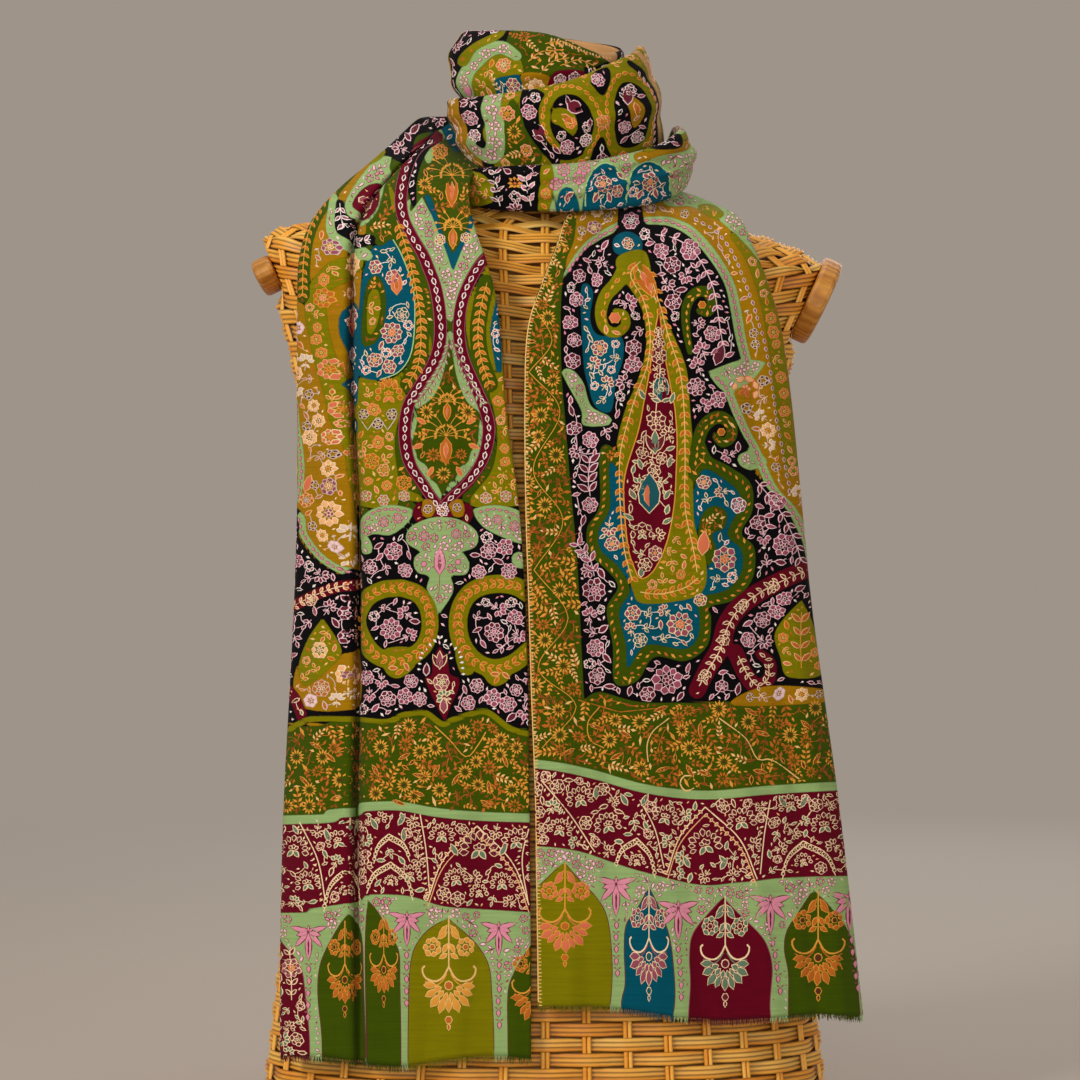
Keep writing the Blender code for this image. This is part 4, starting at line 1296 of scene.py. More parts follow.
# the core is a dark sheet of painted shade inside the weave
CORE_DEPTH = -7.5 * MM
CORE_RINGS = 72
EQUAL_ARC_HEIGHT = 300.0 * MM
ARC_SAMPLES, HEIGHT_SAMPLES = 8001, 1401
TURN_STEP = 0.004               # radians and metres over which the form's direction is read
HEIGHT_STEP = 2.0 * MM
TOP_INSET = 0.001               # rows are read this far under the last one
ARM_CAPS = ((-1, -194.0, 577.0, 13.0), (1, 189.0, 559.5, 31.0))
CAP_TILT = math.radians(25.4)
CAP_SEAT = 7.4 * MM             # half a disc and the gap behind it
CAP_SHOULDER = 9.0 * MM         # below a disc the cane comes out to its full width over this length
BASE_DEPTH = -2.5 * MM          # how far the plate under the form stays inside it
BASE_HEIGHT = 0.2 * MM
BASE_RINGS = (1.0, 0.75, 0.5, 0.25, 0.002)


def form_points(turn, height):
    """Places on the form for angles in radians, 0 = right and half a turn = left, and heights."""
    left, right, depth = form_size(height)
    c, s = np.cos(turn), np.sin(turn)
    power = 2.0 / FORM_POWER
    half = np.where(c < 0, left, right)
    return np.stack([half * np.sign(c) * np.abs(c) ** power,
                     depth * np.sign(s) * np.abs(s) ** power, height], axis=-1)


def stake_turns():
    """Angles of all columns, with equal steps round the form at one height."""
    fine = np.linspace(0.0, 2.0 * math.pi, ARC_SAMPLES)
    loop = form_points(fine, np.full_like(fine, EQUAL_ARC_HEIGHT))
    run = run_along(loop)
    columns = STAKES * COLUMNS_PER_STAKE
    return np.interp(np.arange(columns) * run[-1] / columns, run, fine)


def behind_caps(points):
    """Move points beyond an arm's disc back to the disc's inner face, but none below it."""
    for side, centre_x, centre_z, half_height in ARM_CAPS:
        outward = np.array([side * math.cos(CAP_TILT), 0.0, -math.sin(CAP_TILT)])
        along = np.array([side * math.sin(CAP_TILT), 0.0, math.cos(CAP_TILT)])
        offset = points - np.array([centre_x * MM, 0.0, centre_z * MM])
        beyond = np.maximum(offset @ outward + CAP_SEAT, 0.0) * (points[..., 0] * side > 0.0)
        share = np.clip((-(offset @ along) - half_height * MM) / CAP_SHOULDER, 0.0, 1.0)
        points = points - (beyond * (1.0 - share))[..., None] * outward
    return points


class FormSkin:
    """Places and outward directions on the form, read by column and by row."""

    def __init__(self):
        self.turns = stake_turns()
        top = FORM_SECTIONS[-1][0] * MM
        fine = np.linspace(0.0, top, HEIGHT_SAMPLES)
        below = int(round(WEFT_FAN_START / WEFT_PITCH))
        runs = []
        for turn in self.turns:
            path = form_points(np.full_like(fine, turn), fine)
            run = run_along(path)
            start = np.interp(WEFT_FAN_START, fine, run)
            runs.append((run, start))
        mean = float(np.mean([run[-1] - start for run, start in runs]))
        self.above = int(round(mean / WEFT_PITCH))
        self.rows = below + self.above
        self.below = below
        self.fine, self.runs = fine, runs
        self.top = top

    def heights(self, row):
        """Height of each column at a fractional row."""
        if row <= self.below:
            return np.full(len(self.turns), row * WEFT_PITCH)
        share = (row - self.below) / self.above
        return np.array([np.interp(start + share * (run[-1] - start), run, self.fine)
                         for run, start in self.runs])

    def read(self, rows):
        """Places and directions as arrays [row][column]."""
        heights = np.array([self.heights(row) for row in rows])
        turns = np.broadcast_to(self.turns, heights.shape)
        at = form_points(turns, heights)
        ahead = form_points(turns + TURN_STEP, heights)
        behind = form_points(turns - TURN_STEP, heights)
        upper = form_points(turns, np.minimum(heights + HEIGHT_STEP, self.top))
        lower = form_points(turns, np.maximum(heights - HEIGHT_STEP, 0.0))
        outward = unit_rows(np.cross(ahead - behind, upper - lower))
        return at, outward


def strips(points, closed):
    """Quads of a band of points[profile][place], closed round its places if asked."""
    profile, places = points.shape[:2]
    index = np.arange(profile * places).reshape(profile, places)
    if closed:
        index = np.concatenate((index, index[:, :1]), axis=1)
    return quads_of(index)


def wicker_form():
    """Rows of cane over a stake and behind the next, the stakes, and a dark core of painted shade.
    """
    skin = FormSkin()
    parts, faces, tones, painted_lights, count = [], [], [], [], 0

    def add(points, quads, tone, painted_light):
        nonlocal count
        flat = points.reshape(-1, 3)
        parts.append(flat)
        faces.append(quads + count)
        tones.append(np.broadcast_to(tone, points.shape[:2]).ravel())
        painted_lights.append(np.broadcast_to(painted_light, points.shape[:2]).ravel())
        count += len(flat)

    rises = (VALLEY, CREST, VALLEY, CREST, VALLEY, CREST, VALLEY)
    phase = np.arange(len(skin.turns)) / COLUMNS_PER_STAKE
    for row in range(skin.rows):
        sink = WEFT_DIP * 0.5 * (1.0 - np.cos(np.pi * (phase + row)))
        bundle, shade = [], []
        for place, rise in zip(WEFT_PROFILE, rises):
            spread = row + 0.5 + place * WEFT_COVER
            at, outward = skin.read([min(spread, skin.rows - TOP_INSET)])
            wave = rise + VALLEY_SPREAD * (RNG.random() - 0.5) * (rise == VALLEY)
            bundle.append(at[0] + outward[0] * (wave - sink)[:, None])
            # painted shade: full colour on each rod's crest, darkest in the valleys between the
            # rods
            shade.append(float(rise == CREST))
        bundle = behind_caps(np.array(bundle))
        rods = RNG.uniform(0.0, 1.0, 3)
        tone = np.array([rods[0], rods[0], (rods[0] + rods[1]) / 2, rods[1],
                         (rods[1] + rods[2]) / 2, rods[2], rods[2]])[:, None]
        drift = TONE_DRIFT * np.sin(phase * RNG.uniform(0.2, 0.5) + RNG.uniform(0, 6))
        # painted shade where the row sinks behind a stake
        shown = 1.0 - HIDDEN_SHADE * sink / WEFT_DIP
        add(bundle, strips(bundle, True), tone + drift, np.array(shade)[:, None] * shown)

    steps = skin.rows + 1
    at, outward = skin.read(np.linspace(0.0, skin.rows - TOP_INSET, steps))
    for stake in range(STAKES):
        column = stake * COLUMNS_PER_STAKE
        for side in (-1, 1):
            middle = at[:, column]
            sideways = unit_rows(at[:, (column + 1) % len(skin.turns)] - at[:, column - 1])
            centre = middle + sideways * side * STAKE_SPREAD * STAKE_ROD
            rod = []
            for angle in STAKE_ANGLES:
                lean = math.radians(angle)
                dip = STAKE_ROD / 2 * (1 - math.cos(lean))
                rod.append(centre + sideways * math.sin(lean) * STAKE_ROD / 2
                           + outward[:, column] * (STAKE_CREST - dip))
            rod = behind_caps(np.array(rod))
            # painted shade, darker towards the rod's sides
            edge = np.array(STAKE_SHADES)[:, None]
            add(rod, strips(rod, False)[:, ::-1], RNG.uniform(0.1, 0.9), edge)

    # a dark core of the deepest tone and full painted shade stands in for the shade inside the
    # hollow form
    at, outward = skin.read(np.linspace(0.0, skin.rows - TOP_INSET, CORE_RINGS))
    core = behind_caps(at + outward * CORE_DEPTH)
    add(core, strips(core, True), 0.0, 0.0)
    rim = at[0] + outward[0] * BASE_DEPTH
    plate = np.stack([rim * (share, share, 0.0) + (0.0, 0.0, BASE_HEIGHT) for share in BASE_RINGS])
    add(plate, strips(plate, True), 0.4, 0.8)

    mesh = bpy.data.meshes.new("wicker_form")
    spots = np.concatenate(parts)
    spots[:, 2] = np.maximum(spots[:, 2], BASE_HEIGHT)
    mesh.from_pydata(spots.tolist(), [], np.concatenate(faces).tolist())
    mesh.shade_smooth()
    item = linked("wicker_form", mesh)
    for name, values in (("rod_tone", tones), ("rod_painted_light", painted_lights)):
        layer = mesh.attributes.new(name, "FLOAT", "POINT")
        layer.data.foreach_set("value", np.concatenate(values).astype(np.float32))
    mesh.materials.append(wicker_material())
    return item


# ---- Camera, light and floor ----

BACKGROUND = (158, 148, 138)
FLOOR = (176, 166, 156)
FLOOR_HALF = 9.0
FLOOR_STEPS = 13
FLOOR_FADE = (0.6, 2.6)         # it turns into the background between these distances
FAR_CLIP = 60.0
WARM, COOL, NEUTRAL = (1.0, 0.98, 0.95), (0.97, 0.98, 1.0), (1.0, 1.0, 1.0)
LIGHTS = (                      # place, what it aims at, size, power, colour
    ("key", (-1.9, -2.1, 1.7), (0.0, 0.0, 0.4), 0.9, 47.0, WARM),
    ("fill", (2.2, -1.8, 0.9), (0.0, 0.0, 0.4), 1.8, 9.0, COOL),
    ("front", (-0.1, -3.2, 0.8), (0.0, 0.0, 0.4), 0.8, 18.0, WARM),
    ("top", (0.2, 0.4, 2.4), (0.0, 0.0, 0.5), 1.4, 12.0, NEUTRAL),
    ("back", (0.6, 2.4, 1.3), (0.0, 0.0, 0.4), 1.8, 22.0, NEUTRAL),
)


def camera():
    """The photo's camera: level, in front of the form, at the height of the photo's middle."""
    data = bpy.data.cameras.new("camera")
    data.lens = SENSOR_MM * CAMERA_DISTANCE / CAMERA_VIEW
    data.sensor_width = SENSOR_MM
    data.clip_end = FAR_CLIP
    item = linked("camera", data)
    item.location = (CAMERA_X, -CAMERA_DISTANCE, CAMERA_Z)
    item.rotation_euler = (math.radians(90.0), 0.0, 0.0)
    bpy.context.scene.camera = item


def area_light(name, place, aim, size, power, colour):
    data = bpy.data.lights.new(name, "AREA")
    data.shape = "SQUARE"
    data.size = size
    data.energy = power
    data.color = colour
    item = linked(name, data)
    item.location = place
    item.rotation_euler = (Vector(aim) - Vector(place)).to_track_quat("-Z", "Y").to_euler()


def studio():
    """Pale floor that fades into an even background, and large soft lights."""
    scene = bpy.context.scene
    scene.view_settings.view_transform = "Standard"
    world = bpy.data.worlds.new("world")
    scene.world = world
    world.use_nodes = True
    shade = linear(BACKGROUND)
    world.node_tree.nodes["Background"].inputs["Color"].default_value = shade
    world.node_tree.nodes["Background"].inputs["Strength"].default_value = 1.0
    for light in LIGHTS:
        area_light(*light)

    mesh = bpy.data.meshes.new("floor")
    steps = np.linspace(-FLOOR_HALF, FLOOR_HALF, FLOOR_STEPS)
    across, along = np.meshgrid(steps, steps)
    points = np.stack([across.ravel(), along.ravel(), np.zeros(across.size)], axis=1)
    quads = quads_of(np.arange(across.size).reshape(across.shape))
    mesh.from_pydata(points.tolist(), [], quads.tolist())
    floor = linked("floor", mesh)
    material, tree, shader = blank_material("floor_paint", roughness=0.85, specular=0.2)
    place = object_place(tree)
    shader.inputs["Base Color"].default_value = linear(FLOOR)
    glow = tree.nodes.new("ShaderNodeEmission")
    glow.inputs["Color"].default_value = shade
    length = tree.nodes.new("ShaderNodeVectorMath")
    length.operation = "LENGTH"
    tree.links.new(place, length.inputs[0])
    blend = tree.nodes.new("ShaderNodeMixShader")
    tree.links.new(map_range(tree, length.outputs["Value"], *FLOOR_FADE), blend.inputs["Fac"])
    tree.links.new(shader.outputs["BSDF"], blend.inputs[1])
    tree.links.new(glow.outputs["Emission"], blend.inputs[2])
    tree.links.new(blend.outputs["Shader"], tree.nodes["Material Output"].inputs["Surface"])
    mesh.materials.append(material)


# ---- Motifs for each ground, large to small ----

def centred(shape):
    """A shape moved so that the middle of its box is at (0, 0)."""
    points, faces, colours = shape
    moved = points.copy()
    moved[:, :2] -= (points[:, :2].max(axis=0) + points[:, :2].min(axis=0)) / 2.0
    return moved, faces, colours


def leaf_pair(length, width, inks, stem):
    """Two leaves and a bud on a short stem."""
    return joined(stitched([(0.0, 0.0), (length * 0.8, 0.0)], 0.9, stem),
                  turned(leaf(length, width, inks, points=6), 52.0, 0.8, (length * 0.25, 0.0)),
                  turned(leaf(length, width, inks, points=6), -52.0, 0.8, (length * 0.25, 0.0)),
                  turned(leaf(length, width, inks, points=6), 0.0, 0.8, (length * 0.7, 0.0)))


def carnation(size, inks, stem):
    """A flower seen from the side, on a stem with two leaves."""
    head = blossom(5, size * 0.62, inks, None, 0.16, 190.0, -95.0, 0.6)
    small = leaf(size * 0.4, size * 0.2, inks, points=6, edge=0.9)
    return joined(stitched([(-size * 0.6, 0.0), (0.0, 0.0)], 0.9, stem), head,
                  turned(small, 130.0, 1.0, (-size * 0.15, 0.0)),
                  turned(small, -130.0, 1.0, (-size * 0.15, 0.0)))


# Inks in pairs: outline and filling
PINK_ROSE = ("pale_pink", "rose")
PINK_DEEP = ("pale_pink", "deep_rose")
WHITE_NIGHT = ("white", "night")
CREAM_MAROON = ("cream", "maroon")
CREAM_SAGE = ("cream", "sage")
CREAM_TEAL = ("cream", "dark_teal")
CREAM_ROSE = ("cream", "rose")
PEACH_SALMON = ("peach", "salmon")
GOLD_AMBER = ("gold", "amber")
GOLD_BROWN = ("gold", "brown")
LILAC_ROSE = ("lilac", "rose")
MAROON_PINK = ("maroon", "pink")
PINK_MAROON = ("pink", "maroon")
WHITE_ROSE = ("white", "rose")
ROSE_PINK = ("rose", "pink")
ROSE_PALE = ("rose", "pale_pink")
PEACH_AMBER = ("peach", "amber")
GOLD_SALMON = ("gold", "salmon")
CREAM_PEACH = ("cream", "peach")
CREAM_AMBER = ("cream", "amber")
LILAC_AMBER = ("lilac", "amber")
ROSE_MINT = ("rose", "mint")
MAROON_CREAM = ("maroon", "cream")
HONEY_SALMON = ("honey", "salmon")
DEEP_PINK = ("deep_rose", "pink")
CREAM_SALMON = ("cream", "salmon")

# Ground: motifs and their radius, from large to small
MOTIFS = {
    "black": [
        ([carnation(15.0, PINK_ROSE, "pale_pink"), carnation(14.0, PINK_DEEP, "pale_pink"),
          blossom(7, 9.0, PINK_ROSE, PINK_DEEP), blossom(6, 8.5, PINK_DEEP, PINK_ROSE),
          leaf_pair(9.0, 5.0, PINK_DEEP, "pale_pink")], 8.2),
        ([leaf(13.0, 7.0, PINK_DEEP), blossom(5, 6.0, WHITE_ROSE),
          leaf(12.0, 6.0, PINK_ROSE)], 5.6),
        ([leaf(9.5, 4.8, PINK_ROSE, points=6), leaf(9.0, 4.6, WHITE_NIGHT, points=6),
          leaf(8.5, 4.6, PINK_DEEP, points=6)], 3.9),
        ([grain(6.0, 3.0, "pale_pink"), grain(5.5, 2.8, "white"),
          grain(5.5, 2.8, "pink")], 2.6),
    ],
    "maroon": [
        ([carnation(13.0, CREAM_MAROON, "cream"), carnation(13.0, CREAM_SAGE, "cream"),
          blossom(6, 7.5, CREAM_MAROON, CREAM_SAGE),
          leaf_pair(8.5, 4.6, CREAM_SAGE, "cream")], 7.0),
        ([leaf(10.5, 5.4, CREAM_SAGE), leaf(10.0, 5.0, CREAM_MAROON),
          blossom(5, 5.5, CREAM_ROSE)], 4.8),
        ([leaf(8.0, 4.0, CREAM_MAROON, points=6), leaf(7.5, 4.0, CREAM_SAGE, points=6)], 3.3),
        ([grain(5.0, 2.2, "cream"), grain(4.5, 2.0, "peach")], 2.3),
    ],
    "teal": [
        ([carnation(13.5, CREAM_ROSE, "cream"), blossom(6, 8.0, CREAM_ROSE, PEACH_SALMON),
          leaf_pair(8.5, 5.0, CREAM_TEAL, "cream")], 7.6),
        ([leaf(10.5, 5.4, CREAM_ROSE), leaf(10.0, 5.2, CREAM_TEAL),
          blossom(5, 5.5, ("white", "salmon"))], 4.9),
        ([leaf(8.0, 4.2, CREAM_TEAL, points=6), leaf(7.5, 4.0, WHITE_ROSE, points=6)], 3.4),
        ([grain(5.0, 2.4, "cream"), grain(5.0, 2.2, "pale_pink")], 2.5),
    ],
    "olive": [
        ([leaf_pair(9.0, 5.0, ("honey", "amber"), "gold"),
          blossom(6, 6.6, GOLD_SALMON, ("honey", "amber"))], 6.2),
        ([leaf(10.0, 5.2, GOLD_AMBER), blossom(5, 5.2, PEACH_SALMON),
          leaf(10.0, 5.0, HONEY_SALMON)], 4.4),
        ([grain(8.0, 3.6, "amber"), grain(7.5, 3.4, "gold"),
          grain(7.0, 3.2, "honey")], 3.0),
        ([grain(5.0, 2.6, "amber"), grain(4.5, 2.4, "gold")], 2.1),
    ],
    "green": [
        ([daisy(12, 8.8, "gold", "brown", 2.6), sprig(16.0, 3, "gold", "umber", 7.0, 3.2),
          sprig(15.0, 2, "amber", "umber", 8.0, 3.6), sprig(14.0, 3, "honey", "amber", 6.0, 2.8),
          daisy(10, 7.6, "amber", "umber", 2.8), sprig(17.0, 2, "umber", "umber", 8.0, 3.8)], 6.6),
        ([sprig(9.0, 2, "gold", "amber", 5.0, 2.8), grain(12.0, 3.8, "gold"),
          grain(12.0, 3.4, "honey"), grain(11.0, 3.8, "umber"),
          sprig(10.0, 2, "amber", "umber", 5.5, 3.0), leaf(10.0, 4.6, GOLD_BROWN, points=6)], 4.2),
        ([grain(9.0, 3.8, "gold"), grain(9.0, 3.8, "umber"), grain(8.0, 3.8, "amber"),
          grain(8.0, 3.6, "honey")], 2.7),
        ([grain(5.5, 2.8, "amber"), grain(5.5, 2.6, "gold"), grain(5.5, 2.8, "umber")], 1.7),
    ],
    "mustard": [
        ([carnation(14.0, ("cream", "lilac"), "lilac"), blossom(8, 8.5, CREAM_PEACH, GOLD_AMBER),
          blossom(7, 8.5, CREAM_PEACH, CREAM_ROSE),
          blossom(6, 8.0, ("lilac", "pale_pink"), PINK_ROSE),
          leaf_pair(9.0, 4.8, LILAC_AMBER, "cream")], 7.8),
        ([leaf(10.5, 5.2, PEACH_AMBER), blossom(5, 5.4, ("lilac", "brown")),
          leaf(10.0, 5.0, LILAC_AMBER)], 4.9),
        ([leaf(7.5, 4.0, PEACH_AMBER, points=6), grain(7.0, 3.0, "lilac"),
          grain(7.0, 3.0, "peach")], 3.3),
        ([grain(4.8, 2.4, "amber"), grain(4.8, 2.3, "cream")], 2.4),
    ],
    "mint": [
        ([blossom(5, 5.6, ROSE_PALE, MAROON_CREAM, edge=0.9),
          leaf_pair(8.0, 4.4, ROSE_PALE, "maroon"),
          blossom(5, 5.2, MAROON_PINK, None, edge=0.8)], 4.6),
        ([leaf(7.5, 4.0, ROSE_PALE, edge=1.0), leaf(7.0, 3.6, ROSE_MINT, edge=0.9),
          leaf(7.5, 4.0, ("maroon", "pale_pink"), edge=0.8)], 3.1),
        ([leaf(6.0, 3.2, ROSE_PALE, points=6, edge=0.9), grain(6.0, 2.4, "rose"),
          leaf(5.6, 3.0, ROSE_PALE, points=6, edge=0.8)], 2.1),
        ([grain(4.2, 1.7, "rose"), grain(4.2, 1.9, "pale_pink")], 1.5),
    ],
}
KITS = {ground: [([centred(shape) for shape in shapes], radius) for shapes, radius in tiers]
        for ground, tiers in MOTIFS.items()}
VINES = {                       # ground: width, ink and longest reach of the stems that join motifs
    "black": (0.9, "pale_pink", 26.0),
    "maroon": (0.9, "cream", 22.0),
    "teal": (0.9, "white", 24.0),
    "green": (0.9, "amber", 20.0),
    "mustard": (0.9, "lilac", 20.0),
}


def rosette(radius, outer, inner, centre, petals):
    """A round flower with a second ring of petals inside the first."""
    return joined(blossom(petals, radius, outer, None, 0.36),
                  blossom(5, radius * 0.4, inner, None, 0.2, start=20.0, edge=0.7),
                  ball(radius * 0.15, centre, 0.6))


def fan(radius, petals, inks, base):
    """Half a flower, opening upwards from a small cup."""
    return joined(blossom(petals, radius, inks, None, 0.5, 230.0, -205.0),
                  blossom(3, radius * 0.42, inks, None, 0.12, 150.0, -165.0),
                  turned(leaf(radius * 0.6, radius * 0.36, base), 130.0, 1.0, (0.0, 0.0)),
                  turned(leaf(radius * 0.6, radius * 0.36, base), 50.0, 1.0, (0.0, 0.0)))


def tulip(height, inks, inner):
    """A closed flower that points up: two side petals and a middle one."""
    side = leaf(height * 0.8, height * 0.34, inks)
    return joined(turned(side, -118.0, 1.0, (0.0, height * 0.4)),
                  turned(side, -62.0, 1.0, (0.0, height * 0.4)),
                  turned(leaf(height, height * 0.4, inner), -90.0, 1.0, (0.0, height * 0.5)))


def lotus(size, inks):
    """A hanging flower: a long lower petal, spreading pairs at its sides and small ones above."""
    shapes = []
    for heading, share in ((196.0, 0.9), (-16.0, 0.9), (164.0, 0.6), (16.0, 0.6), (132.0, 0.95),
                           (48.0, 0.95)):
        shapes.append(turned(leaf(size * share, size * 0.3, inks, edge=1.1), heading))
    shapes.append(turned(leaf(size * 1.35, size * 0.36, inks, edge=1.2), 90.0))
    shapes.append(turned(leaf(size * 0.8, size * 0.1, (inks[0], "deep_rose"), edge=0.6), 90.0, 1.0,
                         (0.0, size * 0.3)))
    for heading in (-140.0, -40.0, -90.0):
        shapes.append(turned(leaf(size * 0.34, size * 0.16, inks, edge=0.9), heading))
    return joined(*shapes)


SPRAY_UNITS = 100.0             # the spray's own height
SPRAY_HALF_WIDTH = 28.0


def arch_spray(ink, second, eye):
    """What hangs from an arch's point: leaves, flowers, curled arms over a fan of petals, a bud."""
    shapes = [stitched([(0.0, -6.0), (0.0, 44.0)], 1.8, ink)]
    for y, heading, length in ((2.0, 52.0, 17.0), (9.0, 34.0, 14.0), (20.0, 62.0, 12.0),
                               (30.0, 30.0, 11.0)):
        for way in (1, -1):
            lean = heading if way > 0 else 180.0 - heading
            shapes.append(turned(leaf(length, 6.0, (ink, second), edge=1.1, points=6), lean, 1.0,
                                 (way, y)))
    for way in (1, -1):
        shapes.append(turned(blossom(7, 10.5, (ink, second), (ink, eye), 0.36), 0.0, 1.0,
                             (way * 17.0, 24.0)))
        arm = smooth_line([(0.0, 43.0), (way * 6.0, 53.0), (way * 14.0, 57.0),
                           (way * 24.0, 54.0), (way * 28.0, 46.0), (way * 25.0, 42.0)])
        shapes.append(stitched(arm, 2.2, ink, 4.0, 1.0))
        inner = smooth_line([(way * 2.0, 50.0), (way * 8.0, 58.0), (way * 15.0, 61.0),
                             (way * 25.0, 57.0)])
        shapes.append(stitched(inner, 1.6, second, 4.0))
    for count, radius, start, span in ((9, 29.0, -8.0, 196.0), (6, 17.0, 6.0, 168.0)):
        shapes.append(turned(blossom(count, radius, (ink, second), None, 0.42, span, start, 0.6),
                             0.0, 1.0, (0.0, 60.0)))
    shapes.append(turned(ball(5.0, (ink, eye), 1.2, 8), 0.0, 1.0, (0.0, 61.0)))
    shapes.append(turned(ball(4.4, (ink, eye), 1.0, 6), 0.0, 1.0, (0.0, 94.0)))
    shapes.append(turned(leaf(8.0, 5.0, (ink, eye), points=6), 90.0, 1.0, (0.0, 97.0)))
    return joined(*shapes)


# ---- The right end: grounds, then stitches ----

FIELD = [(584, 700), (584, 700), (581, 640), (577, 560), (570, 480), (565, 420), (561, 366),
         (561, 300), (566, 276), (583, 252), (600, 240), (616, 230), (620, 205), (640, 205),
         (646, 224), (667, 226), (688, 236), (709, 259), (724, 284), (730, 309), (735, 337),
         (741, 360), (741, 360), (707, 372), (707, 372), (722, 389), (733, 415), (743, 436),
         (749, 448), (739, 461), (739, 461), (751, 469), (769, 490), (787, 511), (798, 533),
         (804, 550), (812, 600), (826, 690), (826, 690), (760, 700), (700, 702), (640, 702),
         (600, 692)]
PAISLEY = [(621, 255), (646, 253), (655, 295), (671, 330), (686, 368), (690, 410), (693, 453),
           (693, 494), (695, 527), (706, 561), (702, 592), (672, 602), (641, 603), (633, 592),
           (628, 570), (624, 527), (622, 483), (618, 451), (617, 442), (625, 410), (638, 379),
           (646, 347), (644, 318), (636, 298), (617, 269)]
CORE = [(658, 314), (650, 368), (644, 400), (638, 431), (625, 474), (624, 505), (628, 548),
        (635, 570), (641, 579), (654, 570), (667, 542), (674, 505), (676, 472), (677, 440),
        (675, 410), (671, 389), (665, 358), (661, 326)]
SCALLOP = [(615, 449), (600, 451), (600, 505), (587, 527), (589, 553), (607, 570), (618, 587),
           (607, 609), (613, 646), (615, 683), (637, 681), (654, 657), (685, 661), (707, 646),
           (711, 618), (709, 607), (733, 600), (752, 579), (754, 548), (741, 533), (752, 511),
           (750, 483), (728, 466), (711, 457), (700, 440), (680, 470), (660, 520), (640, 480)]
FIELD_LEFT_EDGE = ((566, 276), (576, 260), (588, 246), (602, 236), (619, 226))
MINT_TOP = ((536, 764), (588, 773), (647, 789), (706, 795), (769, 790), (840, 786))
MAROON_FOOT = ((530, 846), (577, 851), (611, 862), (647, 873), (701, 885), (746, 882), (850, 876))


ARCH_FOOT = 1080.0              # under the hem, in units


def arch(apex, left, right):
    """The loop of a pointed arch that runs down to the hem."""
    right_foot, left_foot = (right[-1][0], ARCH_FOOT), (left[-1][0], ARCH_FOOT)
    return [apex, apex, *right, right_foot, right_foot, left_foot, left_foot, *left[::-1]]


RIGHT_ARCHES = (
    ("olive", arch((564, 862), [(543, 882), (533, 894), (527, 940), (524, 1000)],
                   [(581, 882), (597, 898), (608, 921), (612, 962), (611, 996), (607, 1025)])),
    ("teal", arch((649, 887), [(638, 907), (626, 925), (624, 950), (625, 984), (621, 1007)],
                  [(660, 910), (669, 935), (673, 962), (675, 996), (672, 1030)])),
    ("maroon", arch((723, 897), [(706, 916), (692, 935), (689, 957), (690, 984), (688, 1020)],
                    [(737, 912), (758, 932), (767, 946), (772, 968), (770, 1007), (774, 1040)])),
    ("green", arch((813, 890), [(803, 905), (787, 930), (784, 950), (788, 973), (788, 1007)],
                   [(830, 907), (848, 932), (855, 957), (858, 996), (860, 1025)])),
)
# Turned round the outer edge, out of the photo's sight
BEYOND_ARCHES = (
    ("olive",
     arch((898, 888), [(885, 905), (876, 930), (874, 970)], [(911, 905), (921, 930), (924, 970)])),
    ("teal",
     arch((962, 888), [(949, 905), (940, 930), (938, 970)], [(975, 905), (985, 930), (988, 970)])),
    ("maroon", arch((1030, 888), [(1015, 905), (1005, 930), (1002, 970)],
                    [(1045, 905), (1056, 930), (1060, 970)])),
)


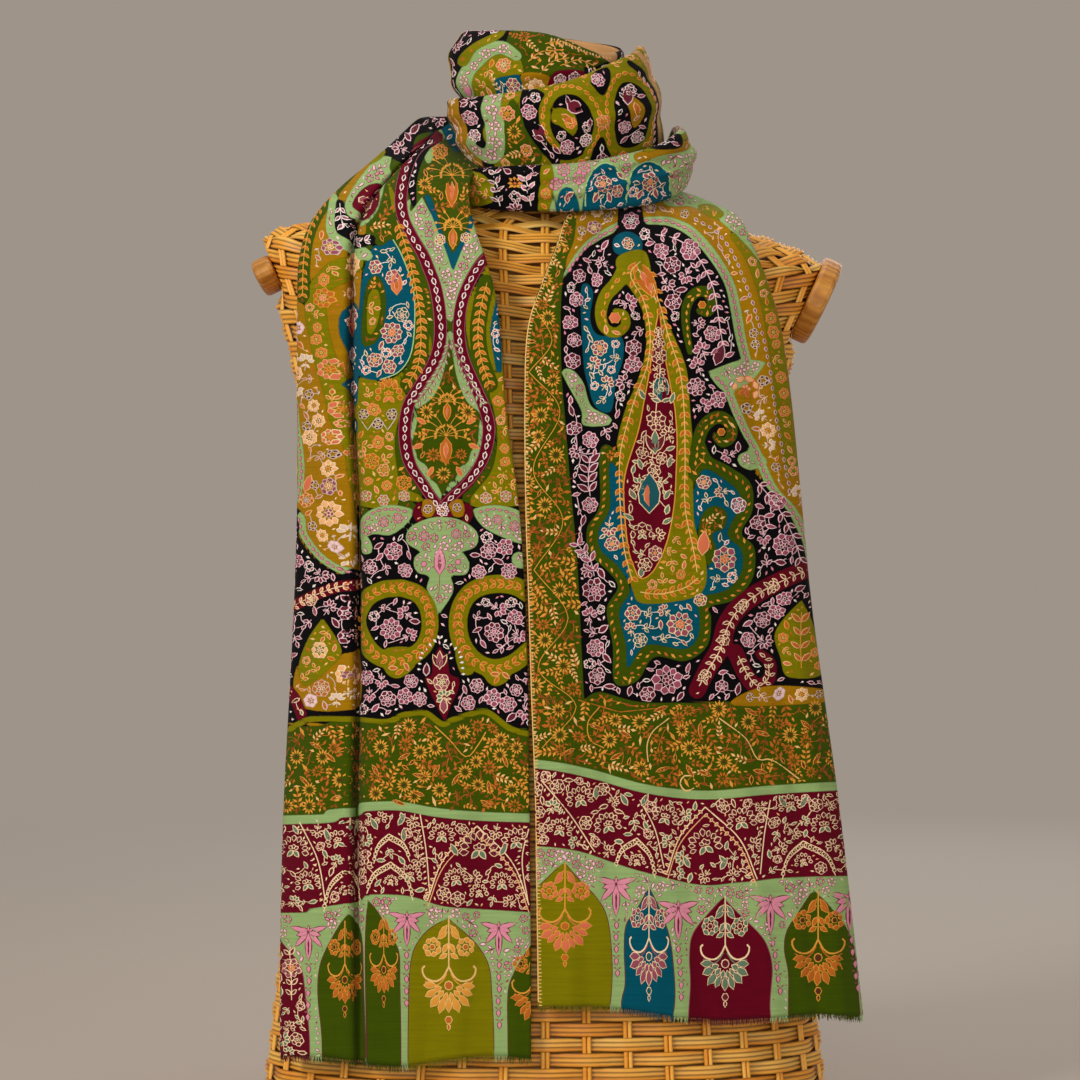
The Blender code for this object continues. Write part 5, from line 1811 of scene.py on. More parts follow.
def right_ground(ground):
    area, band = ground.area, ground.band
    area("mustard", [(440, 120), (1300, 120), (1300, 705), (440, 705)], False)
    area("mint", [(655, 140), (800, 140), (800, 262), (765, 264), (748, 250), (732, 232),
                  (712, 216), (690, 207), (662, 201)])
    area("olive", [(698, 206), (712, 205), (724, 214), (716, 220), (702, 213)])
    band("olive", [(733, 236), (752, 262), (766, 300), (776, 350), (784, 410), (792, 470)],
         [3.0, 6.0, 7.0, 8.0, 7.0])
    area("green", [(440, 150), (582, 150), (577, 212), (574, 240), (566, 262), (562, 290),
                   (562, 366), (566, 420), (571, 480), (578, 560), (582, 640), (585, 700),
                   (585, 780), (440, 780)])
    area("green", [(440, 697), (590, 692), (640, 699), (700, 703), (770, 695), (830, 684),
                   (1300, 684), (1300, 800), (440, 800)])
    band("mint", FIELD_LEFT_EDGE, [3.0, 4.5, 4.0])
    band("mint", [(640, 222), (656, 221), (672, 223), (692, 233), (713, 257), (728, 283),
                  (735, 309), (740, 337), (746, 362)], [3.5, 5.0, 5.5, 5.0])
    band("mint", [(712, 372), (726, 389), (737, 414), (747, 436), (755, 450), (772, 488),
                  (791, 510), (803, 533), (811, 560), (819, 600)], 4.5)
    area("black", FIELD)
    area("mint", [(707, 372), (707, 372), (741, 360), (766, 362), (766, 362), (750, 382),
                  (724, 391)])
    area("mint", [(739, 455), (756, 450), (768, 462), (768, 462), (751, 470), (739, 464)])
    area("teal", [(614, 238), (628, 232), (641, 240), (640, 254), (626, 256), (614, 252)])
    # teal shape and mint edge at the left of the field
    area("mint", [(562, 370), (572, 370), (583, 383), (591, 406), (610, 417), (608, 425),
                  (583, 425), (581, 410), (564, 378)])
    area("teal", [(581, 288), (593, 292), (590, 318), (598, 335), (621, 337), (623, 358),
                  (616, 381), (611, 411), (596, 407), (588, 385), (583, 360)])
    # scalloped shape behind the paisley
    area("green", SCALLOP)
    area("teal", [(613, 462), (610, 508), (599, 530), (601, 550), (618, 566), (630, 590),
                  (619, 612), (626, 645), (628, 668), (646, 645), (684, 649), (698, 636),
                  (699, 612), (697, 598), (726, 590), (741, 572), (741, 550), (727, 534),
                  (739, 508), (738, 492), (722, 478), (702, 470), (690, 500), (660, 560)])
    area("green", [(700, 520), (712, 506), (726, 512), (724, 528), (712, 534), (716, 550),
                   (708, 566), (698, 556)])
    # the paisley and its hooked neck
    band("olive", [(640, 258), (628, 266), (618, 282), (606, 296), (601, 312), (604, 327),
                   (615, 333), (625, 326), (624, 315), (616, 312)],
         [7.0, 7.5, 6.5, 5.5, 5.0, 4.5, 3.5])
    area("olive", PAISLEY)
    area("maroon", CORE)
    # curls on black
    band("green", [(690, 352), (686, 330), (686, 308), (694, 294), (706, 292), (712, 302),
                   (708, 312), (700, 311)], [3.0, 5.0, 5.5, 4.0])
    band("green", [(694, 474), (697, 446), (704, 426), (718, 417), (730, 424), (731, 437),
                   (722, 443), (715, 436)], [6.0, 6.5, 5.5, 3.5])
    # maroon scroll and the leaf at the right
    band("maroon", [(810, 568), (786, 578), (759, 592), (738, 608), (726, 626), (720, 648),
                    (708, 668), (697, 690)], [8.5, 9.5, 9.5, 8.5])
    band("maroon", [(735, 652), (745, 674), (756, 686), (768, 680), (770, 664), (760, 654)],
         [8.0, 8.0, 6.0, 5.0])
    area("olive", [(801, 600), (801, 600), (784, 618), (774, 636), (780, 657), (788, 677),
                   (824, 672), (814, 628)])
    area("mustard", [(735, 698), (769, 686), (826, 690), (826, 702), (740, 706)])
    # bands towards the hem
    area("maroon", [(440, 764), (440, 764), *MINT_TOP, (1300, 770), (1300, 770), (1300, 876),
                    (1300, 876), *MAROON_FOOT[::-1], (440, 846), (440, 846)])
    band("mint", [(440, 760), *MINT_TOP, (950, 782), (1300, 778)], 4.3)
    area("mint", [(440, 846), (440, 846), *MAROON_FOOT, (1300, 876), (1300, 876), (1300, 1200),
                  (1300, 1200), (440, 1200), (440, 1200)])
    for colour, loop in RIGHT_ARCHES + BEYOND_ARCHES:
        area(colour, loop)
    area("green", [(440, 880), (500, 880), (514, 905), (518, 960), (512, 1080), (440, 1080)])


def right_threads(threads):
    place, line, chain, vine = threads.place, threads.line, threads.chain, threads.vine
    # the paisley: buds down both rims, motifs in its core
    bud = leaf(9.0, 5.0, GOLD_AMBER, points=6)
    small = grain(7.0, 3.2, "gold")
    left_rim = smooth_line([(640, 262), (630, 275), (643, 300), (650, 330), (648, 362), (637, 392),
                            (627, 424), (620, 455), (620, 500), (624, 548), (632, 580)])
    right_rim = smooth_line([(648, 268), (658, 300), (668, 335), (680, 372), (684, 412), (685, 460),
                             (685, 508), (693, 548), (697, 572)])
    vine(left_rim, [bud, small], 9.0, (1.2, "honey"), 36.0, keep=6.0)
    vine(right_rim, [bud, small], 9.0, (1.2, "honey"), 36.0, keep=6.5, size=1.1)
    vine(smooth_line([(640, 592), (660, 594), (684, 588), (698, 578)]), [bud], 8.5, (1.2, "honey"),
         38.0, keep=6.0)
    place(leaf(44.0, 19.0, GOLD_AMBER, points=12), (634, 262), 58.0, keep=14.0)
    place(leaf(30.0, 8.0, HONEY_SALMON), (639, 270), 58.0)
    line(smooth_line([(636, 266), (646, 284), (656, 300)]), 1.2, "cream")
    line(smooth_loop(CORE), 1.5, "gold", 1.5)
    for y, size in ((332, 5.5), (343, 7.0), (356, 9.0)):
        place(blossom(6, size, CREAM_MAROON, CREAM_ROSE), (659, y), RNG.uniform(0, 60), keep=size)
    place(leaf(30.0, 17.0, CREAM_TEAL), (661, 402), -90.0, keep=9.0)
    place(grain(16.0, 3.0, "cream"), (661, 394), -90.0)
    for way in (-20.0, 200.0):
        place(leaf(11.0, 5.0, CREAM_SAGE), (661, 402), way, keep=4.0)
    place(blossom(8, 11.0, CREAM_MAROON, CREAM_ROSE), (656, 421), keep=11.0)
    place(tulip(26.0, CREAM_MAROON, CREAM_SAGE), (655, 442), keep=9.0)
    place(leaf(42.0, 24.0, CREAM_TEAL), (649, 514), -90.0, keep=14.0)
    place(leaf(28.0, 13.0, CREAM_SALMON), (649, 508), -90.0)
    for x, y, heading in ((636, 500, -120), (664, 500, -60), (634, 520, -150), (662, 524, -30),
                          (642, 470, -110), (668, 468, -75), (645, 400, -120), (670, 404, -70)):
        place(leaf(13.0, 6.0, CREAM_SAGE), (x, y), heading, keep=4.0)
    place(fan(12.0, 5, CREAM_MAROON, CREAM_SAGE), (642, 534), keep=9.0)
    place(blossom(6, 8.5, CREAM_ROSE, PEACH_SALMON), (655, 553), keep=8.0)
    place(leaf(12.0, 7.0, CREAM_SAGE), (641, 578), -90.0, keep=6.0)
    line(smooth_line([(658, 330), (660, 370), (656, 410), (655, 440), (649, 475)]), 1.1, "cream")
    # hook, curls and scallops
    place(ball(6.5, GOLD_SALMON), (615, 318), keep=6.0)
    chain(smooth_line([(636, 262), (622, 276), (608, 294), (603, 312), (607, 326)]), [bud, small],
          9.0, keep=5.0)
    place(ball(4.5, GOLD_AMBER), (702, 305), keep=5.0)
    chain(smooth_line([(690, 350), (687, 328), (687, 310), (695, 297), (706, 296)]), small, 7.5,
          keep=4.0)
    place(ball(4.5, GOLD_AMBER), (721, 432), keep=5.0)
    chain(smooth_line([(695, 470), (698, 446), (706, 428), (718, 421), (728, 428)]), small, 7.5,
          keep=4.0)
    rim = smooth_line([(606, 456), (605, 506), (593, 528), (595, 552), (612, 568), (624, 588),
                       (613, 610), (619, 648), (621, 676), (641, 664), (652, 651), (685, 655),
                       (702, 642), (705, 614), (704, 603), (730, 595), (746, 576), (748, 549),
                       (735, 534), (746, 509), (744, 487), (725, 472), (706, 463)])
    chain(rim, [small, grain(6.5, 3.0, "amber")], 7.4, 28.0, keep=4.2)
    # flowers
    for x, y, radius, petals, outer, inner in (
            (590, 505, 9.0, 7, PINK_ROSE, PINK_DEEP), (594, 590, 13.0, 8, PINK_DEEP, PINK_ROSE),
            (595, 648, 10.0, 8, PINK_ROSE, PINK_DEEP), (597, 676, 9.0, 7, PINK_DEEP, PINK_ROSE),
            (667, 680, 16.0, 9, PINK_ROSE, PINK_DEEP),
            (724, 559, 13.5, 8, CREAM_ROSE, PEACH_SALMON),
            (680, 624, 13.5, 9, CREAM_ROSE, PEACH_SALMON),
            (600, 348, 9.0, 7, CREAM_ROSE, PEACH_SALMON), (690, 250, 11.0, 7, PINK_ROSE, PINK_DEEP),
            (712, 334, 9.0, 7, PINK_ROSE, PINK_DEEP), (696, 387, 10.0, 8, PINK_DEEP, PINK_ROSE),
            (783, 545, 12.0, 8, PINK_ROSE, PINK_DEEP), (762, 620, 9.0, 7, PINK_DEEP, PINK_ROSE),
            (777, 502, 9.0, 6, PINK_ROSE, PINK_DEEP), (631, 221, 9.5, 7, PINK_ROSE, WHITE_NIGHT),
            (594, 228, 7.5, 6, LILAC_ROSE, CREAM_AMBER),
            (628, 244, 6.5, 6, CREAM_ROSE, PEACH_SALMON),
            (650, 208, 6.5, 6, LILAC_ROSE, CREAM_AMBER), (692, 192, 8.0, 7, ROSE_PINK, PINK_MAROON),
            (712, 196, 7.0, 6, ROSE_PINK, PINK_MAROON), (576, 300, 8.0, 6, PINK_ROSE, PINK_DEEP),
            (574, 340, 8.0, 6, PINK_DEEP, PINK_ROSE), (738, 505, 8.5, 6, WHITE_ROSE, PINK_DEEP),
            (590, 440, 9.0, 7, PINK_ROSE, PINK_DEEP), (612, 544, 8.0, 6, CREAM_ROSE, PEACH_SALMON),
            (704, 482, 8.0, 6, CREAM_ROSE, PEACH_SALMON), (748, 640, 8.5, 6, PINK_ROSE, PINK_DEEP),
            (700, 600, 7.0, 6, CREAM_ROSE, PEACH_SALMON),
            (640, 640, 8.0, 6, CREAM_TEAL, CREAM_ROSE)):
        place(rosette(radius, outer, inner, inner, petals), (x, y), RNG.uniform(0, 45), keep=radius)
    vine(smooth_line([(590, 496), (588, 480), (590, 456)]), leaf(14.0, 7.0, PINK_DEEP), 9.5,
         (1.0, "pale_pink"), 48.0, keep=9.0)
    vine(smooth_line([(594, 576), (590, 560), (578, 545)]), leaf(11.0, 5.5, PINK_ROSE), 10.0,
         (1.0, "pale_pink"))
    vine(smooth_line([(655, 235), (672, 238), (690, 248), (704, 268), (714, 292), (720, 330),
                      (724, 352)]), leaf(9.0, 4.8, PINK_ROSE, points=6), 12.0, (1.0, "pale_pink"),
         50.0, keep=5.0)
    vine(smooth_line([(755, 480), (772, 500), (786, 522), (796, 546), (800, 560)]),
         leaf(11.0, 5.5, PINK_DEEP), 12.0, (1.0, "pale_pink"), 46.0, keep=6.0)
    place(leaf(24.0, 12.0, PINK_DEEP), (715, 366), -70.0, keep=8.0)
    place(leaf(26.0, 13.0, PEACH_SALMON), (702, 556), -84.0, keep=9.0)
    place(fan(15.0, 5, ("salmon", "peach"), ("salmon", "amber")), (745, 390), 20.0, keep=12.0)
    scroll = [leaf(8.5, 4.6, CREAM_MAROON, points=6), leaf(8.0, 4.2, CREAM_ROSE, points=6)]
    vine(smooth_line([(807, 570), (784, 580), (759, 593), (738, 610), (727, 628), (720, 650),
                      (708, 670), (699, 686)]), scroll, 9.0, (1.2, "cream"), 52.0, keep=8.0)
    for x, y, size in ((772, 587, 6.5), (741, 607, 6.5), (723, 640, 6.5), (704, 676, 6.0)):
        place(blossom(6, size, CREAM_MAROON, CREAM_ROSE), (x, y), RNG.uniform(0, 60), keep=size)
    vine(smooth_line([(738, 656), (748, 676), (758, 686), (768, 678), (768, 664)]),
         leaf(7.0, 4.0, CREAM_MAROON, points=6), 8.0, (1.1, "cream"), 50.0, keep=6.0)
    vine(smooth_line([(801, 668), (800, 640), (801, 612)]), leaf(13.0, 6.0, PEACH_AMBER), 13.0,
         (1.2, "gold"), 45.0, keep=8.0)
    # chains along the mint edges
    rose_dot = leaf(7.0, 4.0, ROSE_PINK, points=6, edge=1.0)
    chain(smooth_line(FIELD_LEFT_EDGE), rose_dot, 6.5, keep=4.0)
    chain(smooth_line([(640, 222), (656, 221), (672, 223), (692, 233), (713, 257), (728, 283),
                       (735, 309), (740, 337), (746, 360)]), rose_dot, 6.5, keep=4.0)
    chain(smooth_line([(712, 374), (726, 389), (737, 414), (747, 436), (755, 450), (772, 488),
                       (791, 510), (803, 533), (811, 560), (819, 600)]), rose_dot, 6.5, keep=4.0)
    chain(smooth_line([(690, 216), (724, 240), (748, 290), (766, 352), (776, 420), (789, 490)]),
          leaf(6.5, 3.8, LILAC_ROSE, points=6, edge=1.0), 8.0, keep=3.6)
    # stems in the green border
    for points in (((529, 262), (549, 268), (532, 300), (552, 340), (529, 372)),
                   ((529, 372), (560, 412), (533, 470), (563, 520), (534, 570)),
                   ((534, 570), (568, 618), (538, 668), (576, 706), (542, 748))):
        line(smooth_line(points), 1.0, "gold", 1.2)
    line(smooth_line([(669, 718), (653, 731), (647, 745), (648, 762)]), 1.4, "honey", 1.5)
    line(smooth_line([(719, 718), (745, 738), (757, 759), (772, 760), (799, 779)]), 1.4, "honey",
         1.5)
    line(smooth_line([(694, 776), (684, 776), (680, 784), (686, 791), (694, 788)]), 1.6, "honey",
         1.5)
    line(smooth_line([(600, 706), (588, 722), (590, 740), (604, 748)]), 1.3, "gold", 1.5)
    line([(578, 700), (620, 712), (660, 708)], 1.2, "amber", 1.5)
    for x, y in ((640, 722), (610, 740), (690, 748), (724, 762), (748, 722), (790, 735), (815, 708),
                 (560, 735), (545, 640), (560, 590), (545, 505), (556, 455), (541, 415), (548, 318),
                 (545, 280)):
        place(daisy(13, 9.5, "gold", "brown", 2.6), (x, y), RNG.uniform(0, 45), keep=8.5)
    for x, y, heading in ((588, 724, 20), (632, 738, -150), (668, 706, 160), (744, 708, 30),
                          (770, 736, -160), (800, 720, 40), (700, 722, 90), (655, 772, -20),
                          (712, 776, 200), (752, 770, 10), (610, 760, -30), (575, 748, 150),
                          (686, 764, 60), (820, 752, 120)):
        place(leaf(16.0, 5.0, ("gold", "umber")), (x, y), heading, keep=5.0)
        place(grain(13.0, 2.4, "honey"), (x, y), heading)
    threads.reserve(smooth_line(MINT_TOP), 3.8)
    for points in (((617, 905), (617, 1080)), ((680, 925), (682, 1080)),
                   ((771, 915), (778, 960), (780, 1080)), ((850, 905), (856, 1080))):
        threads.reserve(smooth_line(points), 4.5)
    maroon_band_threads(threads, RIGHT_BAND)
    for at, ink, second, eye, height, half_width in (
            ((565, 868), "gold", "salmon", "amber", 95.0, 26.0),
            ((649, 893), "cream", "rose", "dark_teal", 104.0, 19.5),
            ((725, 902), "cream", "sage", "maroon", 101.0, 24.5),
            ((818, 896), "gold", "amber", "brown", 101.0, 26.5)):
        spray(threads, at, ink, second, eye, height, half_width)
    for x, y, buds, drift in ((616, 884, 5, 0.2), (678, 908, 5, 0.6), (770, 902, 5, 2.0),
                              (849, 899, 5, 1.6)):
        lotus_and_buds(threads, x, y, buds, 25.0, drift)
    for x, y in ((530, 930), (528, 960), (527, 990)):
        place(leaf(8.0, 4.2, ROSE_PINK), (x, y), 90.0)
    for colour, loop in RIGHT_ARCHES:
        threads.leave_plain(loop)
        line(smooth_loop(loop)[:-1], 1.0, "maroon" if colour != "maroon" else "rose")
    blanket(threads, threads.edge, "honey")


def spray(threads, at, ink, second, eye, height, half_width):
    """The spray under an arch, drawn out to its height and half width."""
    threads.place(arch_spray(ink, second, eye), at, 0.0, half_width / SPRAY_HALF_WIDTH,
                  squash=height / SPRAY_UNITS * SPRAY_HALF_WIDTH / half_width)


def blanket(threads, edge, ink):
    """Blanket stitch along an edge of the cloth."""
    threads.chain(edge, grain(5.0, 1.7, ink), 3.6, 90.0, 0.4)
    threads.line(edge + (0.8, 0.0), 1.5, ink)


def lotus_and_buds(threads, x, y, buds, size, drift=0.0):
    """A hanging flower between two arches, over a row of buds."""
    threads.place(lotus(size, DEEP_PINK), (x, y), keep=20.0)
    for number in range(buds):
        spot = (x + RNG.uniform(-0.7, 0.7) + drift * (number + 1),
                y + size * 1.35 + 3.0 + 12.0 * number)
        threads.place(leaf(9.0, 5.4, DEEP_PINK, points=6, edge=0.9), spot, 90.0)
        for way in (-20.0, 200.0):
            threads.place(grain(5.0, 2.2, "rose"), spot, way)


RIGHT_BAND = {
    "big": (((705, 807), (667, 873), (757, 879)),),
    "small": (((637, 838), (616, 861), (655, 873)), ((803, 841), (782, 874), (835, 870))),
    "lines": (((541, 780), (568, 812), (595, 852)), ((640, 800), (655, 830), (664, 868)),
              ((770, 800), (764, 835), (760, 874))),
    "fans": ((580, 800, 15), (665, 818, 14), (741, 822, 16), (560, 830, 13), (608, 826, 15),
             (790, 806, 13), (824, 826, 15), (705, 846, 18), (637, 862, 9), (803, 862, 10)),
    "leaves": ((628, 806, -120), (641, 806, -60), (786, 808, -120), (800, 808, -60),
               (596, 800, -90), (690, 868, -120), (720, 870, -60)),
}


def maroon_band_threads(threads, band):
    """Arches of dotted lines over fans and leaves, in the band above the hem."""
    oval = leaf(6.0, 3.6, CREAM_AMBER, points=6, edge=1.0)
    for apex, left, right in band["big"]:
        for foot in (left, right):
            middle = (apex[0] * 0.45 + foot[0] * 0.55 + (foot[0] - apex[0]) * 0.12,
                      apex[1] * 0.55 + foot[1] * 0.45)
            edge = smooth_line([apex, middle, foot])
            threads.line(edge, 1.5, "cream", 2.0)
            threads.line(edge + np.array([0.0, 7.5]), 1.2, "peach", 2.0)
            threads.chain(edge + np.array([0.0, 3.8]), oval, 7.0, 90.0, keep=3.0)
    for apex, left, right in band["small"]:
        for foot in (left, right):
            middle = (apex[0] * 0.4 + foot[0] * 0.6 + (foot[0] - apex[0]) * 0.1,
                      apex[1] * 0.6 + foot[1] * 0.4)
            edge = smooth_line([apex, middle, foot])
            threads.line(edge, 1.4, "cream", 2.0)
            threads.line(edge + np.array([0.0, 5.5]), 1.2, "cream", 2.0)
            threads.chain(edge + np.array([0.0, 2.8]), ball(2.3, ("cream", "brown"), 1.0), 5.0,
                          keep=2.0)
    for points in band["lines"]:
        threads.line(smooth_line(points), 1.4, "cream", 2.0)
        threads.chain(smooth_line(points), grain(5.0, 2.2, "cream"), 6.0, 60.0, 1.5)
    for x, y, radius in band["fans"]:
        threads.place(fan(float(radius), 9 if radius > 12 else 7, CREAM_MAROON, CREAM_SAGE), (x, y),
                      RNG.uniform(-14, 14), keep=radius * 0.95)
    for x, y, heading in band["leaves"]:
        threads.place(leaf(15.0, 6.5, CREAM_SAGE), (x, y), heading, keep=5.5)


# ---- The left end ----

LEFT_LENS_LEFT = ((437, 138), (416, 152), (406, 172), (401, 196), (403, 217), (413, 238),
                  (423, 255), (430, 272), (436, 289), (440, 315), (440, 341), (434, 362),
                  (420, 385), (409, 404), (405, 426), (406, 447), (411, 466), (422, 483),
                  (435, 502), (443, 510))
LEFT_LENS_RIGHT = ((505, 236), (492, 252), (480, 265), (468, 286), (461, 307), (459, 332),
                   (463, 357), (475, 385), (485, 409), (489, 430), (484, 457), (471, 478),
                   (456, 493), (444, 505))
GREEN_BAND_LEFT = ((397, 221), (408, 255), (416, 289), (421, 324), (419, 362), (408, 384))
GREEN_BAND_RIGHT = ((487, 283), (481, 307), (478, 332), (481, 358), (490, 384))
RING_LEFT = ((402, 588), (418, 594), (428, 608), (430, 628), (424, 646), (410, 657), (394, 661),
             (376, 655), (364, 640), (358, 620), (366, 600), (382, 590), (398, 588))
RING_RIGHT = ((532, 596), (515, 586), (494, 584), (474, 590), (462, 604), (458, 624), (462, 644),
              (474, 660), (492, 668), (512, 664), (530, 650))
OUTER_GREEN_BAND = ((392, 128), (372, 146), (352, 168), (332, 192), (317, 214), (308, 236),
                    (304, 262), (303, 296))
CRESCENT = ((340, 204), (343, 227), (354, 241), (371, 240))
OUTER_MINT_LINE = ((296, 400), (298, 430), (302, 470), (298, 500))
LEFT_ARCHES = (
    ("maroon",
     arch((270, 925), [(240, 950), (225, 990)], [(284, 944), (301, 966), (306, 995), (310, 1038)])),
    ("green", arch((347, 914), [(330, 942), (320, 966), (318, 995), (322, 1038)],
                   [(352, 920), (362, 935), (364, 980), (366, 1038)])),
    ("green", arch((368, 900), [(366, 935), (366, 980), (367, 1038)],
                   [(378, 912), (391, 935), (399, 952), (400, 978), (401, 1038)])),
    ("olive", arch((448, 918), [(428, 930), (416, 945), (411, 961), (409, 987), (408, 1038)],
                   [(464, 932), (478, 946), (489, 966), (492, 995), (494, 1038)])),
    ("green", arch((545, 925), [(528, 949), (513, 975), (508, 995), (508, 1038)],
                   [(560, 950), (570, 980), (572, 1020)])),
    ("teal", arch((195, 925), [(180, 945), (172, 980)], [(208, 945), (214, 980)])),
    ("olive", arch((120, 925), [(98, 950), (90, 990)], [(140, 950), (148, 990)])),
)


def left_ground(ground):
    area, band = ground.area, ground.band
    area("mustard", [(-200, 60), (600, 60), (600, 1100), (-200, 1100)], False)
    # inner, larger part: green and olive grounds
    area("green", [(380, 120), (380, 120), (520, 120), (520, 120), (535, 520), (535, 520),
                   (356, 520), (356, 520), (360, 300)])
    area("olive", [(386, 175), (386, 175), (404, 220), (420, 300), (432, 350), (408, 396),
                   (395, 440), (398, 505), (356, 505), (356, 505), (357, 385), (385, 382),
                   (410, 362), (416, 320), (412, 285), (400, 250)])
    area("olive", [(493, 255), (515, 255), (530, 505), (530, 505), (470, 505), (492, 470),
                   (497, 430), (486, 385), (470, 350), (466, 320), (472, 290)])
    band("green", GREEN_BAND_LEFT, 8.0)
    band("green", GREEN_BAND_RIGHT, 8.0)
    band("teal", [(499, 300), (496, 332), (499, 370)], [3.0, 6.0, 3.0])
    # what lies between the two maroon bands
    area("mint", [(419, 192), (419, 192), (450, 240), (478, 208), (478, 208), (492, 245),
                  (480, 265), (468, 286), (460, 310), (451, 322), (441, 310), (434, 280),
                  (420, 250), (406, 222), (404, 206)])
    area("teal", [(424, 196), (424, 196), (428, 140), (446, 128), (476, 208), (476, 208),
                  (473, 226), (463, 248), (453, 273), (453, 273), (446, 252), (434, 222)])
    area("green", [(410, 212), (416, 180), (424, 150), (440, 128), (470, 140), (490, 215),
                   (471, 216), (466, 232), (453, 255), (453, 255), (442, 232), (432, 200),
                   (424, 196)])
    area("mint", [(425, 155), (440, 128), (447, 124), (450, 132), (438, 146), (430, 164)])
    area("teal", [(440, 126), (448, 118), (460, 150), (452, 150)])
    # teal paisley
    area("teal", [(393, 240), (401, 254), (411, 280), (415, 307), (412, 350), (400, 371),
                  (380, 380), (358, 374), (359, 350), (361, 289), (371, 250), (382, 246)])
    area("green", [(366, 288), (378, 276), (386, 296), (383, 330), (372, 345), (362, 341)])
    area("olive", [(368, 298), (377, 289), (381, 304), (377, 326), (368, 335)])
    # lens
    area("mint", [(450, 330), (463, 352), (476, 385), (486, 409), (490, 430), (484, 457),
                  (471, 478), (456, 493), (444, 505), (434, 500), (421, 483), (410, 466),
                  (405, 447), (404, 426), (408, 404), (420, 385), (434, 362), (441, 345)])
    area("green", [(450, 334), (450, 334), (444, 370), (434, 396), (414, 412), (411, 424),
                   (411, 440), (416, 452), (418, 460), (427, 466), (430, 478), (437, 484),
                   (443, 497), (443, 497), (449, 484), (456, 478), (459, 468), (468, 462),
                   (471, 452), (478, 442), (479, 426), (480, 414), (466, 400), (456, 374)])
    band("mint", [(416, 418), (411, 440)], 2.0)
    band("maroon", LEFT_LENS_LEFT, 6.0)
    band("maroon", LEFT_LENS_RIGHT, 6.0)
    # painted shadow: a black band beside the maroon band at the top
    band("black", [(430, 142), (418, 160), (412, 182), (414, 204)], [4.0, 5.0, 5.0, 3.0])
    # row of mint and lilac below, and the black ground
    band("olive", [(357, 498), (390, 492), (425, 500)], [7.0, 7.0, 3.0])
    area("black", [(357, 516), (357, 516), (410, 512), (443, 504), (480, 512), (535, 508),
                   (535, 508), (540, 735), (540, 735), (356, 722), (356, 722)])
    area("mint", [(413, 509), (413, 509), (393, 505), (373, 509), (360, 520), (354, 534),
                  (361, 541), (360, 549), (365, 554), (372, 552), (372, 543), (367, 538),
                  (374, 534), (390, 535), (402, 528), (411, 518)])
    area("mint", [(473, 509), (473, 509), (493, 505), (515, 509), (530, 520), (536, 546),
                  (536, 546), (518, 543), (500, 536), (485, 528), (476, 518)])
    area("mint", [(512, 556), (520, 552), (530, 558), (526, 568), (514, 566)])
    area("mustard", [(418, 504), (428, 499), (438, 506), (434, 517), (422, 516)])
    area("mustard", [(467, 504), (457, 499), (448, 506), (452, 517), (464, 516)])
    band("maroon", [(443, 506), (436, 520), (424, 522), (417, 514), (419, 506)], [5.5, 5.0, 3.5])
    band("maroon", [(443, 506), (450, 520), (462, 522), (469, 514), (467, 506)], [5.5, 5.0, 3.5])
    area("mint", [(440, 517), (424, 520), (409, 529), (407, 543), (422, 551), (422, 551),
                  (414, 559), (417, 572), (431, 575), (431, 575), (427, 592), (438, 616),
                  (438, 616), (453, 592), (450, 575), (450, 575), (466, 574), (469, 562),
                  (461, 552), (461, 552), (476, 546), (477, 532), (460, 520)])
    # olive rings with tails
    band("olive", RING_LEFT, 8.5)
    area("olive", [(384, 650), (412, 648), (416, 664), (400, 678), (386, 672)])
    band("olive", [(395, 586), (372, 592), (356, 606)], 5.0)
    band("olive", RING_RIGHT, 9.0)
    area("olive", [(456, 650), (474, 662), (472, 674), (460, 672)])
    area("olive", [(484, 664), (510, 664), (508, 680), (494, 686), (484, 676)])
    area("maroon", [(440, 646), (440, 646), (433, 660), (432, 674), (424, 678), (424, 678),
                    (430, 692), (438, 708), (445, 722), (445, 722), (450, 708), (458, 690),
                    (460, 678), (460, 678), (450, 674), (448, 660)])
    # outer strip, left of the crease
    band("olive", [(352, 262), (330, 276), (316, 300), (322, 350), (330, 384), (336, 410),
                   (346, 440), (350, 480), (354, 520)],
         [12.0, 10.0, 11.0, 9.0, 8.0, 10.0, 8.0, 5.0])
    band("green", OUTER_GREEN_BAND,
         [8.0, 8.0, 7.5, 7.0, 7.0])
    area("mint", [(392, 152), (376, 160), (356, 184), (344, 208), (352, 222), (364, 226),
                  (378, 210), (386, 180)])
